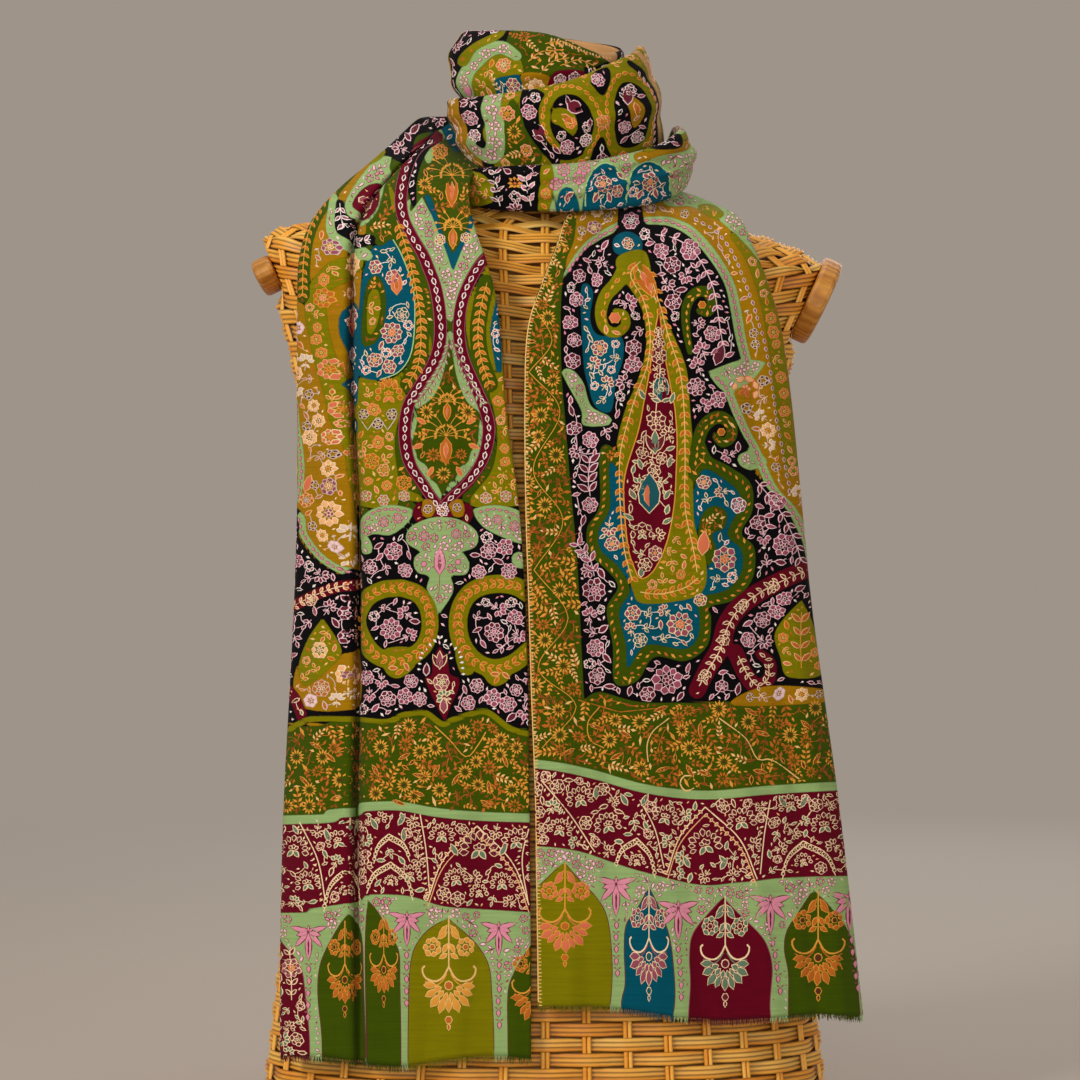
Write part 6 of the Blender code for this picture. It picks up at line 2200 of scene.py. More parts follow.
    # painted shadow: black for the deep shadow between the collar and this end
    area("black", [(402, 130), (384, 142), (378, 154), (392, 158), (402, 164), (412, 150),
                   (418, 136), (440, 130), (452, 118), (440, 108), (424, 116), (412, 124)])
    area("olive", [(378, 146), (367, 152), (366, 164), (378, 162), (386, 152)])
    area("maroon", [(377, 184), (362, 190), (352, 206), (360, 221), (372, 216), (380, 200)])
    band("mint", [(334, 198), (337, 228), (350, 247), (368, 256)], [4.0, 11.0, 11.0, 5.0])
    band("black", CRESCENT, [4.0, 8.0, 8.0, 5.0])
    band("mint", OUTER_MINT_LINE, [2.0, 3.5, 3.0])
    area("teal", [(336, 310), (346, 303), (358, 306), (360, 340), (358, 372), (346, 370),
                  (338, 352), (334, 330)])
    area("teal", [(335, 383), (347, 377), (358, 372), (357, 405), (346, 398)])
    area("teal", [(344, 424), (357, 420), (357, 432), (348, 432)])
    band("mint", [(250, 500), (298, 514), (304, 534), (320, 556), (339, 569), (358, 576)], 3.6)
    area("black", [(-200, 520), (-200, 520), (250, 505), (297, 520), (300, 538), (317, 560),
                   (338, 574), (358, 581), (357, 722), (357, 722), (-200, 730), (-200, 730)])
    band("maroon", [(270, 618), (294, 606), (316, 595), (338, 587), (357, 584)], 5.5)
    area("mustard", [(300, 662), (342, 654), (357, 652), (357, 705), (300, 706)])
    area("olive", [(323, 618), (323, 618), (308, 640), (299, 668), (306, 686), (330, 668),
                   (342, 650)])
    band("maroon", [(280, 686), (294, 696), (304, 720)], 5.5)
    # bands towards the hem
    area("green", [(-200, 720), (-200, 720), (287, 727), (313, 715), (357, 717), (387, 718),
                   (404, 711), (425, 710), (442, 720), (453, 716), (468, 711), (487, 708),
                   (511, 725), (560, 733), (560, 733), (560, 840), (560, 840), (-200, 840),
                   (-200, 840)])
    band("olive", [(287, 731), (313, 719), (357, 720), (387, 722), (404, 715), (425, 713),
                   (442, 724), (453, 720), (468, 715), (487, 712), (511, 729), (540, 736)], 3.0)
    foot = [(-200, 915), (284, 913), (309, 909), (360, 901), (366, 895), (408, 896), (442, 906),
            (477, 909), (560, 914)]
    mint_line = [(-200, 824), (284, 820), (330, 814), (358, 811), (363, 807), (399, 806),
                 (434, 812), (477, 816), (560, 819)]
    area("maroon", [(-200, 824), (-200, 824), *mint_line[1:-1], (560, 819), (560, 819), (560, 914),
                    (560, 914), *foot[-2:0:-1], (-200, 915), (-200, 915)])
    band("mint", mint_line, 4.4)
    area("mint", [(-200, 915), (-200, 915), *foot[1:-1], (560, 914), (560, 914), (560, 1200),
                  (560, 1200), (-200, 1200), (-200, 1200)])
    for colour, loop in LEFT_ARCHES:
        area(colour, loop)


LEFT_BAND = {
    "big": (((477, 826), (428, 899), (529, 905)),),
    "small": (((391, 862), (367, 888), (413, 895)), ((346, 868), (324, 906), (360, 900)),
              ((389, 834), (374, 858), (410, 856))),
    "lines": (((300, 822), (318, 860), (326, 904)), ((420, 814), (426, 850), (430, 895)),
              ((530, 824), (522, 860), (528, 902))),
    "fans": ((479, 850, 20), (456, 880, 13), (502, 884, 13), (442, 836, 14), (516, 842, 15),
             (294, 850, 16), (308, 884, 14), (410, 876, 13), (338, 842, 13), (479, 893, 10),
             (391, 882, 8), (346, 892, 8)),
    "leaves": ((378, 830, -120), (398, 826, -60), (330, 842, -110), (350, 836, -70),
               (404, 842, -90), (458, 856, -120), (500, 856, -60)),
}


def golden_bud(threads, x, y, size):
    """A pointed golden bud that hangs under a sheaf of curved whiskers."""
    threads.place(leaf(size * 1.25, size * 0.55, GOLD_AMBER), (x, y), 90.0, keep=size * 0.7)
    threads.place(leaf(size * 0.8, size * 0.24, HONEY_SALMON, points=6), (x, y + size * 0.2), 90.0)
    for heading in (-172.0, -148.0, -124.0, -102.0, -78.0, -56.0, -32.0, -8.0):
        threads.place(sprig(size * 0.85, 1, "gold", "gold", 5.0, 3.0,
                            -0.25 if heading < -90.0 else 0.25), (x, y), heading)
    threads.taken.append((x, y - size * 0.35, size * 0.6))


def left_threads(threads):
    place, line, chain, vine = threads.place, threads.line, threads.chain, threads.vine
    oval = leaf(8.5, 5.0, ("white", "maroon"), points=6)
    chain(smooth_line(LEFT_LENS_LEFT), oval, 9.2, keep=5.5)
    chain(smooth_line(LEFT_LENS_RIGHT), oval, 9.2, keep=5.5)
    for side in (LEFT_LENS_LEFT, LEFT_LENS_RIGHT):
        path = smooth_line(side)
        line(path + np.array([6.0, 0.0]), 0.9, "rose")
        line(path - np.array([6.0, 0.0]), 0.9, "rose")
    bud = leaf(9.0, 4.4, GOLD_AMBER, points=6)
    vine(smooth_line(GREEN_BAND_LEFT), bud, 8.0, (1.1, "gold"),
         42.0, keep=8.0)
    vine(smooth_line(GREEN_BAND_RIGHT), bud, 8.0, (1.1, "gold"), 42.0,
         keep=8.0)
    # sprays and buds on the inner part
    golden_bud(threads, 452, 176, 26.0)
    golden_bud(threads, 453, 228, 18.0)
    place(rosette(9.0, GOLD_AMBER, GOLD_BROWN, GOLD_BROWN, 8), (440, 152), keep=9.0)
    place(rosette(6.0, CREAM_ROSE, PEACH_SALMON, PEACH_SALMON, 6), (440, 240), keep=6.0)
    place(rosette(6.0, CREAM_ROSE, PEACH_SALMON, PEACH_SALMON, 6), (466, 238), keep=6.0)
    golden_bud(threads, 446, 436, 24.0)
    golden_bud(threads, 447, 402, 16.0)
    for x, y, heading in ((427, 424, -150), (466, 424, -30), (424, 444, 160), (468, 444, 20),
                          (434, 466, 120), (456, 466, 60)):
        place(leaf(13.0, 6.0, GOLD_SALMON), (x, y), heading, keep=5.0)
    for points in (((451, 340), (444, 360), (432, 384), (418, 402)),
                   ((452, 340), (460, 360), (470, 382), (482, 402))):
        vine(smooth_line(points), leaf(8.0, 4.0, ROSE_MINT, points=6), 8.0, (1.0, "rose"), 40.0,
             keep=6.0)
    place(leaf(26.0, 13.0, GOLD_SALMON), (397, 296), -92.0, keep=11.0)
    place(leaf(14.0, 6.0, PEACH_AMBER), (397, 292), -92.0)
    line(smooth_line([(393, 240), (401, 254), (411, 280), (415, 307), (412, 350), (400, 371),
                      (380, 380)]), 1.5, "mint", 2.0)
    place(fan(15.0, 7, GOLD_AMBER, GOLD_SALMON), (389, 396), keep=13.0)
    place(blossom(9, 12.0, GOLD_AMBER, None, 0.25, 170.0, -175.0, 0.1), (389, 388))
    for x, y in ((364, 414), (378, 424), (392, 414)):
        place(blossom(6, 6.0, ("lilac", "brown"), CREAM_AMBER), (x, y), RNG.uniform(0, 60),
              keep=6.0)
    line([(360, 418), (368, 430), (378, 416), (388, 430), (396, 418)], 1.2, "lilac", 2.0)
    # flowers
    for x, y, radius, petals, outer, inner in (
            (392, 333, 12.0, 9, CREAM_ROSE, PEACH_SALMON),
            (375, 360, 8.0, 6, CREAM_ROSE, PEACH_SALMON),
            (402, 315, 8.0, 6, CREAM_TEAL, CREAM_ROSE), (372, 461, 9.0, 7, GOLD_AMBER, GOLD_BROWN),
            (404, 483, 8.5, 7, GOLD_AMBER, GOLD_BROWN), (384, 470, 7.0, 6, PEACH_AMBER, GOLD_BROWN),
            (394, 551, 10.0, 7, PINK_ROSE, PINK_DEEP), (370, 567, 8.0, 7, PINK_DEEP, PINK_ROSE),
            (405, 570, 8.0, 7, PINK_ROSE, PINK_DEEP), (489, 551, 9.0, 7, PINK_DEEP, PINK_ROSE),
            (479, 572, 8.0, 7, PINK_ROSE, PINK_DEEP), (509, 571, 9.0, 8, PINK_ROSE, PINK_DEEP),
            (391, 629, 12.0, 9, PINK_ROSE, PINK_DEEP), (494, 632, 11.0, 8, PINK_DEEP, PINK_ROSE),
            (367, 678, 8.5, 7, PINK_ROSE, PINK_DEEP), (388, 699, 9.0, 7, PINK_DEEP, PINK_ROSE),
            (411, 681, 8.0, 6, PINK_ROSE, PINK_DEEP), (420, 699, 8.0, 7, PINK_ROSE, PINK_DEEP),
            (477, 686, 8.0, 7, PINK_DEEP, PINK_ROSE), (508, 704, 9.0, 7, PINK_ROSE, PINK_DEEP),
            (468, 703, 8.0, 6, PINK_ROSE, PINK_DEEP), (516, 690, 7.0, 6, PINK_DEEP, PINK_ROSE),
            (349, 264, 13.0, 8, CREAM_PEACH, CREAM_ROSE),
            (330, 247, 9.0, 7, LILAC_ROSE, CREAM_AMBER),
            (323, 298, 11.0, 8, GOLD_AMBER, PEACH_SALMON),
            (329, 369, 12.0, 8, PEACH_SALMON, GOLD_AMBER),
            (337, 409, 10.0, 7, PEACH_SALMON, GOLD_AMBER),
            (330, 437, 9.0, 7, CREAM_SALMON, GOLD_AMBER),
            (345, 452, 8.0, 6, PEACH_SALMON, GOLD_AMBER),
            (329, 486, 9.5, 7, LILAC_ROSE, CREAM_AMBER),
            (329, 513, 14.0, 9, CREAM_PEACH, CREAM_ROSE),
            (307, 500, 8.0, 7, PEACH_AMBER, LILAC_ROSE),
            (348, 355, 8.5, 7, WHITE_ROSE, PEACH_SALMON),
            (350, 388, 8.0, 6, WHITE_ROSE, PEACH_SALMON),
            (365, 204, 8.5, 6, CREAM_ROSE, PEACH_SALMON),
            (373, 154, 5.5, 6, GOLD_AMBER, PEACH_SALMON),
            (320, 650, 9.0, 6, CREAM_PEACH, CREAM_ROSE),
            (346, 675, 12.0, 8, CREAM_PEACH, LILAC_ROSE),
            (322, 688, 9.5, 7, LILAC_AMBER, CREAM_ROSE), (442, 682, 9.0, 6, CREAM_ROSE, CREAM_SAGE),
            (312, 600, 6.5, 6, CREAM_ROSE, CREAM_SAGE),
            (443, 510, 7.0, 8, WHITE_ROSE, PEACH_SALMON)):
        place(rosette(radius, outer, inner, inner, petals), (x, y), RNG.uniform(0, 45), keep=radius)
    place(leaf(28.0, 15.0, ("salmon", "maroon")), (347, 337), -92.0, keep=10.0)
    place(leaf(16.0, 8.0, GOLD_SALMON), (347, 332), -92.0)
    place(leaf(20.0, 9.0, PEACH_SALMON, 0.5), (312, 474), 110.0, keep=7.0)
    place(tulip(20.0, CREAM_MAROON, CREAM_ROSE), (440, 660), keep=9.0)
    place(leaf(17.0, 9.0, CREAM_ROSE), (444, 714), -90.0, keep=7.0)
    # mint shape: pink bud and lines
    place(leaf(30.0, 13.0, ROSE_PINK), (440, 576), -90.0, keep=9.0)
    place(leaf(20.0, 6.0, PINK_ROSE), (440, 572), -90.0)
    line([(440, 576), (439, 596)], 1.0, "rose")
    for x, y, heading in ((432, 552, 215), (448, 552, -35), (433, 562, 205), (447, 562, -25),
                          (438, 584, 125), (441, 584, 55), (438, 592, 120), (441, 592, 60),
                          (440, 532, -90), (434, 530, -130), (446, 530, -50)):
        place(leaf(8.5, 4.2, ROSE_MINT, points=6, edge=1.0), (x, y), heading, keep=3.5)
    for x, y in ((424, 564), (458, 562)):
        place(ball(3.6, ROSE_PINK, 1.0), (x, y), keep=4.0)
    # chains on mint scrolls, on rings and along edges
    rose_dot = leaf(6.5, 3.6, ROSE_PINK, points=6, edge=1.0)
    for points in (((298, 514), (304, 534), (320, 556), (339, 569), (358, 576)),
                   ((411, 513), (393, 509), (374, 513), (364, 524)),
                   ((475, 513), (493, 509), (513, 514), (527, 524)), OUTER_MINT_LINE):
        chain(smooth_line(points), rose_dot, 6.5, keep=3.5)
    for x, y in ((384, 522), (398, 518), (498, 520), (514, 526), (424, 536), (456, 534)):
        place(rosette(6.0, ROSE_PINK, PINK_MAROON, PINK_MAROON, 6), (x, y), RNG.uniform(0, 60),
              keep=6.0)
    gold_leaf = leaf(10.0, 5.0, GOLD_AMBER, points=6)
    vine(smooth_line(RING_LEFT), gold_leaf, 8.5, None, 30.0,
         keep=7.0, size=0.85)
    vine(smooth_line(RING_RIGHT), gold_leaf, 8.5, None, 30.0, keep=7.5, size=0.9)
    for x, y, heading in ((388, 668, 0), (404, 662, 60), (490, 674, 0), (502, 672, 40)):
        place(leaf(11.0, 5.5, PEACH_AMBER), (x, y), heading, keep=5.0)
    ring = grain(7.0, 3.4, "amber")
    chain(smooth_line([(386, 582), (402, 581), (420, 587), (432, 602), (436, 624), (431, 648),
                       (418, 662)]), ring, 6.0, 50.0, keep=4.0)
    chain(smooth_line([(520, 580), (494, 577), (472, 583), (456, 600), (452, 624), (456, 648),
                       (468, 666)]), ring, 6.0, -50.0, keep=4.0)
    white_bud = grain(5.5, 3.0, "white")
    arc = smooth_line([(416, 672), (420, 652), (432, 640), (440, 634), (449, 640), (462, 652),
                       (466, 676)])
    chain(arc, white_bud, 6.0, 90.0, keep=4.0)
    for x, y, way in ((384, 500, -150), (404, 496, -120), (366, 496, -60), (486, 498, -60),
                      (506, 496, -120), (520, 500, -80)):
        place(blossom(6, 6.5, LILAC_AMBER, CREAM_ROSE), (x, y), way, keep=6.5)
    vine(smooth_line([(284, 612), (294, 606), (316, 595), (338, 587), (357, 584)]),
         leaf(7.0, 4.0, CREAM_SALMON, points=6), 7.5, (1.1, "cream"), 48.0, keep=6.0)
    # herringbone on the outer green strip and white leaves on the black crescent
    vine(smooth_line(OUTER_GREEN_BAND),
         bud, 8.0, (1.1, "gold"), 44.0, keep=7.0, size=0.8)
    vine(smooth_line(CRESCENT), leaf(8.5, 4.5, WHITE_ROSE, points=6),
         8.0, (1.0, "white"), 44.0, keep=7.0)
    # green band above the hem
    for x, y in ((323, 757), (297, 757), (340, 780), (381, 747), (463, 732), (465, 772), (420, 752),
                 (500, 755), (404, 785), (512, 790), (310, 790), (440, 790)):
        place(daisy(13, 9.0, "gold", "brown", 2.5), (x, y), RNG.uniform(0, 45), keep=8.5)
    for x, y, heading in ((310, 742, 30), (336, 762, -140), (372, 764, 60), (398, 760, -30),
                          (412, 774, 10), (440, 764, 120), (452, 786, -60), (488, 780, 80),
                          (508, 768, -110), (392, 800, 20), (350, 745, 150), (425, 796, -160),
                          (480, 800, 30), (300, 776, 45), (330, 800, -20)):
        place(leaf(15.0, 4.8, ("gold", "umber")), (x, y), heading, keep=5.0)
        place(grain(12.0, 2.3, "honey"), (x, y), heading)
    threads.reserve(smooth_line([(284, 820), (330, 814), (358, 811), (363, 807), (399, 806),
                                 (434, 812), (477, 816), (528, 819)]), 3.8)
    for points in (((309, 950), (312, 1080)), ((407, 936), (407, 1080)), ((499, 946), (500, 1080))):
        threads.reserve(smooth_line(points), 4.5)
    line(smooth_line([(435, 726), (450, 740), (466, 757), (478, 745), (486, 732)]), 1.4, "gold",
         2.0)
    maroon_band_threads(threads, LEFT_BAND)
    for at, ink, second, eye, height, half_width in (
            ((449, 922), "honey", "gold", "amber", 104.0, 27.0),
            ((345, 926), "gold", "amber", "brown", 88.0, 17.0),
            ((384, 916), "gold", "amber", "brown", 88.0, 14.0),
            ((534, 942), "gold", "amber", "brown", 90.0, 22.0)):
        spray(threads, at, ink, second, eye, height, half_width)
    place(rosette(11.0, CREAM_ROSE, PEACH_SALMON, PEACH_SALMON, 8), (292, 968), keep=11.0)
    vine([(292, 1000), (292, 980), (290, 950)], leaf(9.0, 5.0, CREAM_MAROON), 10.0, (1.0, "cream"),
         keep=6.0)
    for x, y, buds in ((309, 932, 5), (407, 918, 5), (499, 928, 6)):
        lotus_and_buds(threads, x, y, buds, 22.0)
    for colour, loop in LEFT_ARCHES:
        if colour != "maroon":
            threads.leave_plain(loop)
        line(smooth_loop(loop)[:-1], 1.0, "maroon" if colour != "maroon" else "rose")


# ---- The turns round the neck ----

LOWER_ARCHES = (
    ((586, 216), (586, 186), (594, 170), (606, 163), (618, 170), (627, 186), (628, 214)),
    ((629, 212), (629, 184), (636, 168), (650, 161), (664, 168), (673, 186), (674, 210)),
)


def lower_ground(ground):
    area, band = ground.area, ground.band
    area("mint", [(545, 90), (545, 90), (1100, 60), (1100, 60), (1100, 260), (1100, 260),
                  (545, 260), (545, 260)])
    area("olive", [(440, 172), (486, 176), (492, 202), (440, 206)])
    area("olive", [(541, 158), (552, 168), (554, 190), (545, 216), (536, 216), (540, 188)])
    area("teal", [(556, 214), (559, 194), (567, 187), (575, 193), (579, 214)])
    for loop in LOWER_ARCHES:
        area("teal", loop)
    band("teal", [(745, 170), (760, 150), (782, 148), (796, 168)], 7.0)
    band("mustard", [(640, 158), (664, 150), (690, 146), (720, 136)], 5.0)
    band("olive", [(650, 150), (672, 142), (700, 134), (740, 122)], 3.0)
    area("black", [(652, 138), (668, 128), (684, 132), (684, 146), (668, 150), (654, 148)])
    area("olive", [(830, 100), (880, 100), (900, 220), (840, 220)])
    area("black", [(900, 90), (960, 90), (980, 220), (920, 220)])
    area("green", [(990, 90), (1100, 90), (1100, 240), (1000, 240)])


def lower_threads(threads):
    place, chain, vine, line = threads.place, threads.chain, threads.vine, threads.line
    vine([(499, 206), (498, 190), (494, 172)], leaf(10.0, 5.0, WHITE_ROSE, points=6), 9.0,
         (1.0, "white"), keep=7.0)
    vine([(530, 206), (528, 188), (524, 172)], leaf(11.0, 5.5, ("white", "pink"), points=6), 10.0,
         (1.0, "white"), keep=7.0)
    place(daisy(8, 8.0, "gold", "salmon", 4.0), (515, 183), keep=8.0)
    for x, y, radius in ((603, 184, 9.5), (650, 182, 9.5)):
        place(rosette(radius, CREAM_ROSE, PEACH_SALMON, PEACH_SALMON, 7), (x, y), keep=radius)
    for x, y, heading in ((594, 203, -70), (612, 203, -110), (640, 200, -70), (661, 199, -110),
                          (617, 172, 40), (665, 172, 30), (567, 204, -90)):
        place(leaf(13.0, 6.0, CREAM_ROSE), (x, y), heading, keep=5.0)
    for loop in LOWER_ARCHES:
        line(smooth_line(loop), 1.6, "mint", 2.0)
    for x, y in ((564, 170), (556, 184), (579, 178), (584, 168), (700, 165), (716, 178),
                 (730, 160)):
        place(rosette(7.5, ROSE_PINK, PINK_MAROON, PINK_MAROON, 6), (x, y), keep=7.0)
    place(rosette(7.0, WHITE_NIGHT, PINK_ROSE, PINK_ROSE, 6), (668, 139), keep=7.0)
    chain(smooth_line([(470, 160), (520, 160), (580, 156), (640, 144), (676, 128)]),
          grain(6.0, 2.6, "lilac"), 8.0)


def middle_ground(ground):
    area, band = ground.area, ground.band
    area("olive", [(484, 60), (484, 60), (760, 20), (760, 20), (760, 240), (760, 240), (484, 240),
                   (484, 240)])
    area("mustard", [(440, 90), (456, 92), (466, 120), (470, 170), (440, 176)])
    area("green", [(508, 108), (514, 100), (526, 122), (540, 160), (506, 164), (500, 140)])
    band("mint", [(492, 96), (494, 118), (496, 136), (491, 150), (480, 156), (470, 148),
                  (471, 140)], [9.0, 9.5, 9.0, 8.0, 6.0, 4.0])
    area("black", [(519, 88), (519, 88), (530, 88), (546, 96), (556, 118), (560, 140), (559, 168),
                   (546, 158), (532, 140), (522, 118)])
    area("black", [(569, 88), (584, 94), (593, 110), (595, 132), (588, 152), (570, 160), (552, 156),
                   (538, 140), (540, 112), (550, 94)])
    band("olive", [(560, 150), (548, 134), (544, 112), (553, 94), (568, 88), (584, 92), (597, 108),
                   (600, 132), (592, 154)], [3.0, 5.5, 6.5, 7.0, 6.5])
    area("olive", [(562, 108), (574, 114), (577, 128), (573, 136), (573, 136), (560, 126),
                   (552, 122), (553, 110)])
    area("black", [(633, 82), (645, 88), (651, 106), (651, 132), (641, 146), (624, 146), (615, 128),
                   (615, 100), (622, 86)])
    band("olive", [(618, 150), (609, 128), (610, 98), (622, 78), (638, 76), (652, 88), (657, 116),
                   (654, 142)], [6.0, 6.5, 6.0])
    area("mustard", [(633, 96), (642, 104), (643, 118), (636, 128), (630, 116), (628, 104)])
    area("black", [(592, 84), (592, 84), (604, 96), (612, 84), (616, 68), (600, 72)])
    area("black", [(596, 150), (603, 136), (612, 148), (620, 166), (596, 168)])
    band("black", [(640, 64), (653, 80), (660, 108), (662, 150)], 3.4)
    band("tan", [(654, 52), (664, 80), (669, 120), (671, 160)], 4.0)
    area("black", [(680, 40), (720, 40), (730, 200), (690, 200)])
    area("mint", [(740, 40), (790, 40), (790, 220), (750, 220)])
    area("maroon", [(820, 40), (870, 40), (880, 220), (830, 220)])
    area("green", [(430, 60), (380, 60), (370, 220), (425, 220)])
    area("teal", [(340, 60), (290, 60), (280, 220), (335, 220)])
    area("mustard", [(230, 60), (280, 60), (270, 220), (220, 220)])


def middle_threads(threads):
    place, chain = threads.place, threads.chain
    pink_bloom = centred(blossom(5, 5.6, ROSE_PALE, MAROON_CREAM, edge=0.9))
    pink_leaf = centred(leaf(7.0, 3.6, ROSE_PALE, points=6, edge=0.9))
    chain(smooth_line([(493, 90), (495, 118), (496, 138), (490, 151), (480, 156), (471, 149)]),
          [pink_bloom, pink_leaf], 8.0, 20.0, keep=4.5)
    for x, y, heading in ((489, 96, 70), (489, 108, 110), (490, 124, 70), (490, 138, 100),
                          (500, 100, 110), (501, 114, 70), (502, 130, 110), (500, 143, 80),
                          (493, 158, 20), (476, 161, 170)):
        place(pink_leaf, (x, y), heading, 0.85, keep=2.6)
    for x, y, radius, outer, inner in ((473, 118, 8.0, PINK_ROSE, PINK_DEEP),
                                       (475, 136, 7.0, WHITE_ROSE, PINK_DEEP),
                                       (529, 112, 8.5, PINK_ROSE, PINK_DEEP),
                                       (568, 147, 8.5, PINK_ROSE, PINK_DEEP),
                                       (587, 140, 7.0, WHITE_ROSE, PINK_DEEP),
                                       (601, 80, 7.5, PINK_ROSE, PINK_DEEP),
                                       (626, 127, 7.5, PINK_ROSE, PINK_DEEP),
                                       (641, 137, 7.0, WHITE_ROSE, PINK_DEEP),
                                       (508, 114, 8.5, PEACH_SALMON, GOLD_AMBER),
                                       (524, 150, 7.0, PEACH_SALMON, GOLD_AMBER),
                                       (603, 122, 8.0, PEACH_SALMON, GOLD_AMBER)):
        place(rosette(radius, outer, inner, inner, 7), (x, y), RNG.uniform(0, 45), keep=radius)
    place(leaf(26.0, 13.0, ("white", "maroon")), (534, 122), 62.0, keep=9.0)
    place(leaf(19.0, 15.0, ("pale_pink", "maroon"), 0.5), (583, 112), -150.0, keep=9.0)
    place(leaf(20.0, 12.0, ("pale_pink", "maroon"), 0.3), (628, 106), -80.0, keep=7.0)
    place(leaf(16.0, 8.0, PEACH_AMBER), (561, 114), 40.0, keep=6.0)
    place(leaf(15.0, 7.0, PEACH_AMBER), (635, 102), 84.0, keep=6.0)
    place(leaf(14.0, 7.0, WHITE_NIGHT), (527, 92), -70.0, keep=5.0)
    place(leaf(12.0, 6.0, PINK_DEEP), (590, 118), 100.0, keep=5.0)
    place(leaf(12.0, 6.0, PINK_DEEP), (552, 146), 40.0, keep=5.0)
    gold_bud = leaf(8.5, 4.4, GOLD_AMBER, points=6)
    chain(smooth_line([(560, 152), (547, 134), (543, 112), (553, 92), (568, 87), (584, 91),
                       (598, 108), (600, 132), (592, 154)]), gold_bud, 8.0, keep=5.0)
    chain(smooth_line([(616, 150), (608, 128), (609, 98), (621, 77), (638, 75), (653, 88),
                       (658, 116), (654, 142)]), gold_bud, 8.0, keep=5.0)
    chain(smooth_line([(643, 68), (654, 84), (660, 108), (661, 146)]),
          leaf(7.0, 3.4, PINK_ROSE, points=6), 7.0, 25.0, keep=4.0)
    chain(smooth_line([(452, 104), (458, 126), (460, 150)]), leaf(9.0, 4.6, PEACH_SALMON, points=6),
          9.0, keep=5.0)


def inner_ground(ground):
    area, band = ground.area, ground.band
    area("green", [(505, -60), (505, -60), (640, -60), (640, -60), (640, 130), (640, 130),
                   (505, 130), (505, 130)])
    area("olive", [(474, 110), (474, 110), (470, 92), (478, 68), (494, 56), (514, 56), (524, 70),
                   (524, 110), (524, 110)])
    band("mint", [(462, 110), (462, 92), (470, 70), (486, 52), (502, 48), (516, 56)],
         [7.0, 8.0, 7.0, 5.0])
    area("olive", [(458, 62), (470, 46), (484, 36), (500, 30), (496, 40), (478, 50), (466, 66)])
    area("teal", [(493, 98), (496, 80), (508, 76), (522, 76), (530, 96), (528, 110), (493, 110)])
    area("mustard", [(522, 74), (550, 76), (556, 92), (530, 98)])
    area("maroon", [(548, 92), (552, 74), (566, 70), (584, 72), (590, 82), (566, 96)])
    area("black", [(584, 70), (600, 66), (620, 56), (640, 44), (660, 60), (650, 100), (590, 100)])
    area("tan", [(556, 20), (556, 20), (640, 20), (640, 20), (618, 62), (600, 52), (578, 40),
                 (556, 33)])
    area("tan", [(640, -60), (640, -60), (980, -60), (980, -60), (980, 36), (980, 36), (860, 38),
                 (700, 44), (640, 48), (640, 48)])
    area("mint", [(660, 60), (700, 60), (710, 130), (665, 130)])
    area("green", [(710, 52), (790, 46), (800, 130), (715, 130)])
    area("mustard", [(820, 40), (860, 40), (860, 130), (820, 130)])
    area("olive", [(400, 20), (440, 20), (440, 130), (400, 130)])
    area("maroon", [(330, 20), (380, 20), (380, 130), (330, 130)])
    area("green", [(200, 20), (300, 20), (300, 130), (200, 130)])


def inner_threads(threads):
    place, chain, vine = threads.place, threads.chain, threads.vine
    pink_bloom = centred(blossom(5, 5.4, ROSE_PALE, MAROON_CREAM, edge=0.9))
    pink_leaf = centred(leaf(7.0, 3.8, ROSE_PALE, points=6, edge=1.0))
    chain(smooth_line([(463, 84), (471, 71), (486, 54), (502, 49), (514, 56)]),
          [pink_bloom, pink_leaf], 8.5, 20.0, keep=4.5)
    place(leaf(20.0, 9.0, ROSE_PINK), (462, 98), -72.0, keep=7.0)
    top = threads.edge[(threads.edge[:, 0] > 548.0) & (threads.edge[:, 0] < 616.0)]
    chain(top, grain(4.5, 1.8, "peach"), 3.4, 90.0, 0.5)
    place(rosette(8.0, PEACH_SALMON, CREAM_ROSE, GOLD_AMBER, 7), (504, 65), keep=8.0)
    for x, y, heading in ((505, 100, -80), (514, 98, -60), (499, 92, -120)):
        place(sprig(16.0, 3, "cream", "gold", 5.0), (x, y), heading, keep=6.0)
    for points in (((540, 74), (552, 62), (570, 58)), ((528, 62), (540, 52), (562, 50)),
                   ((560, 66), (580, 60), (596, 66)), ((545, 44), (565, 42), (585, 52))):
        vine(smooth_line(points), grain(8.5, 2.6, "peach"), 8.0, (1.2, "gold"), 38.0, keep=4.0)
    place(daisy(9, 11.0, "gold", "salmon", 3.4), (556, 50), keep=9.0)
    for x, y in ((560, 80), (574, 78), (610, 70)):
        place(rosette(6.5, WHITE_ROSE, PINK_ROSE, PINK_DEEP, 6), (x, y), keep=6.0)


PATTERNS = {
    "left_fall": (left_ground, left_threads, (-160, 118, 545, 1075)),
    "right_fall": (right_ground, right_threads, (505, 190, 1090, 1040)),
    "lower_turn": (lower_ground, lower_threads, (440, 110, 1080, 222)),
    "middle_turn": (middle_ground, middle_threads, (220, 45, 890, 175)),
    "inner_turn": (inner_ground, inner_threads, (220, 25, 880, 112)),
}


# ---- Putting it together ----

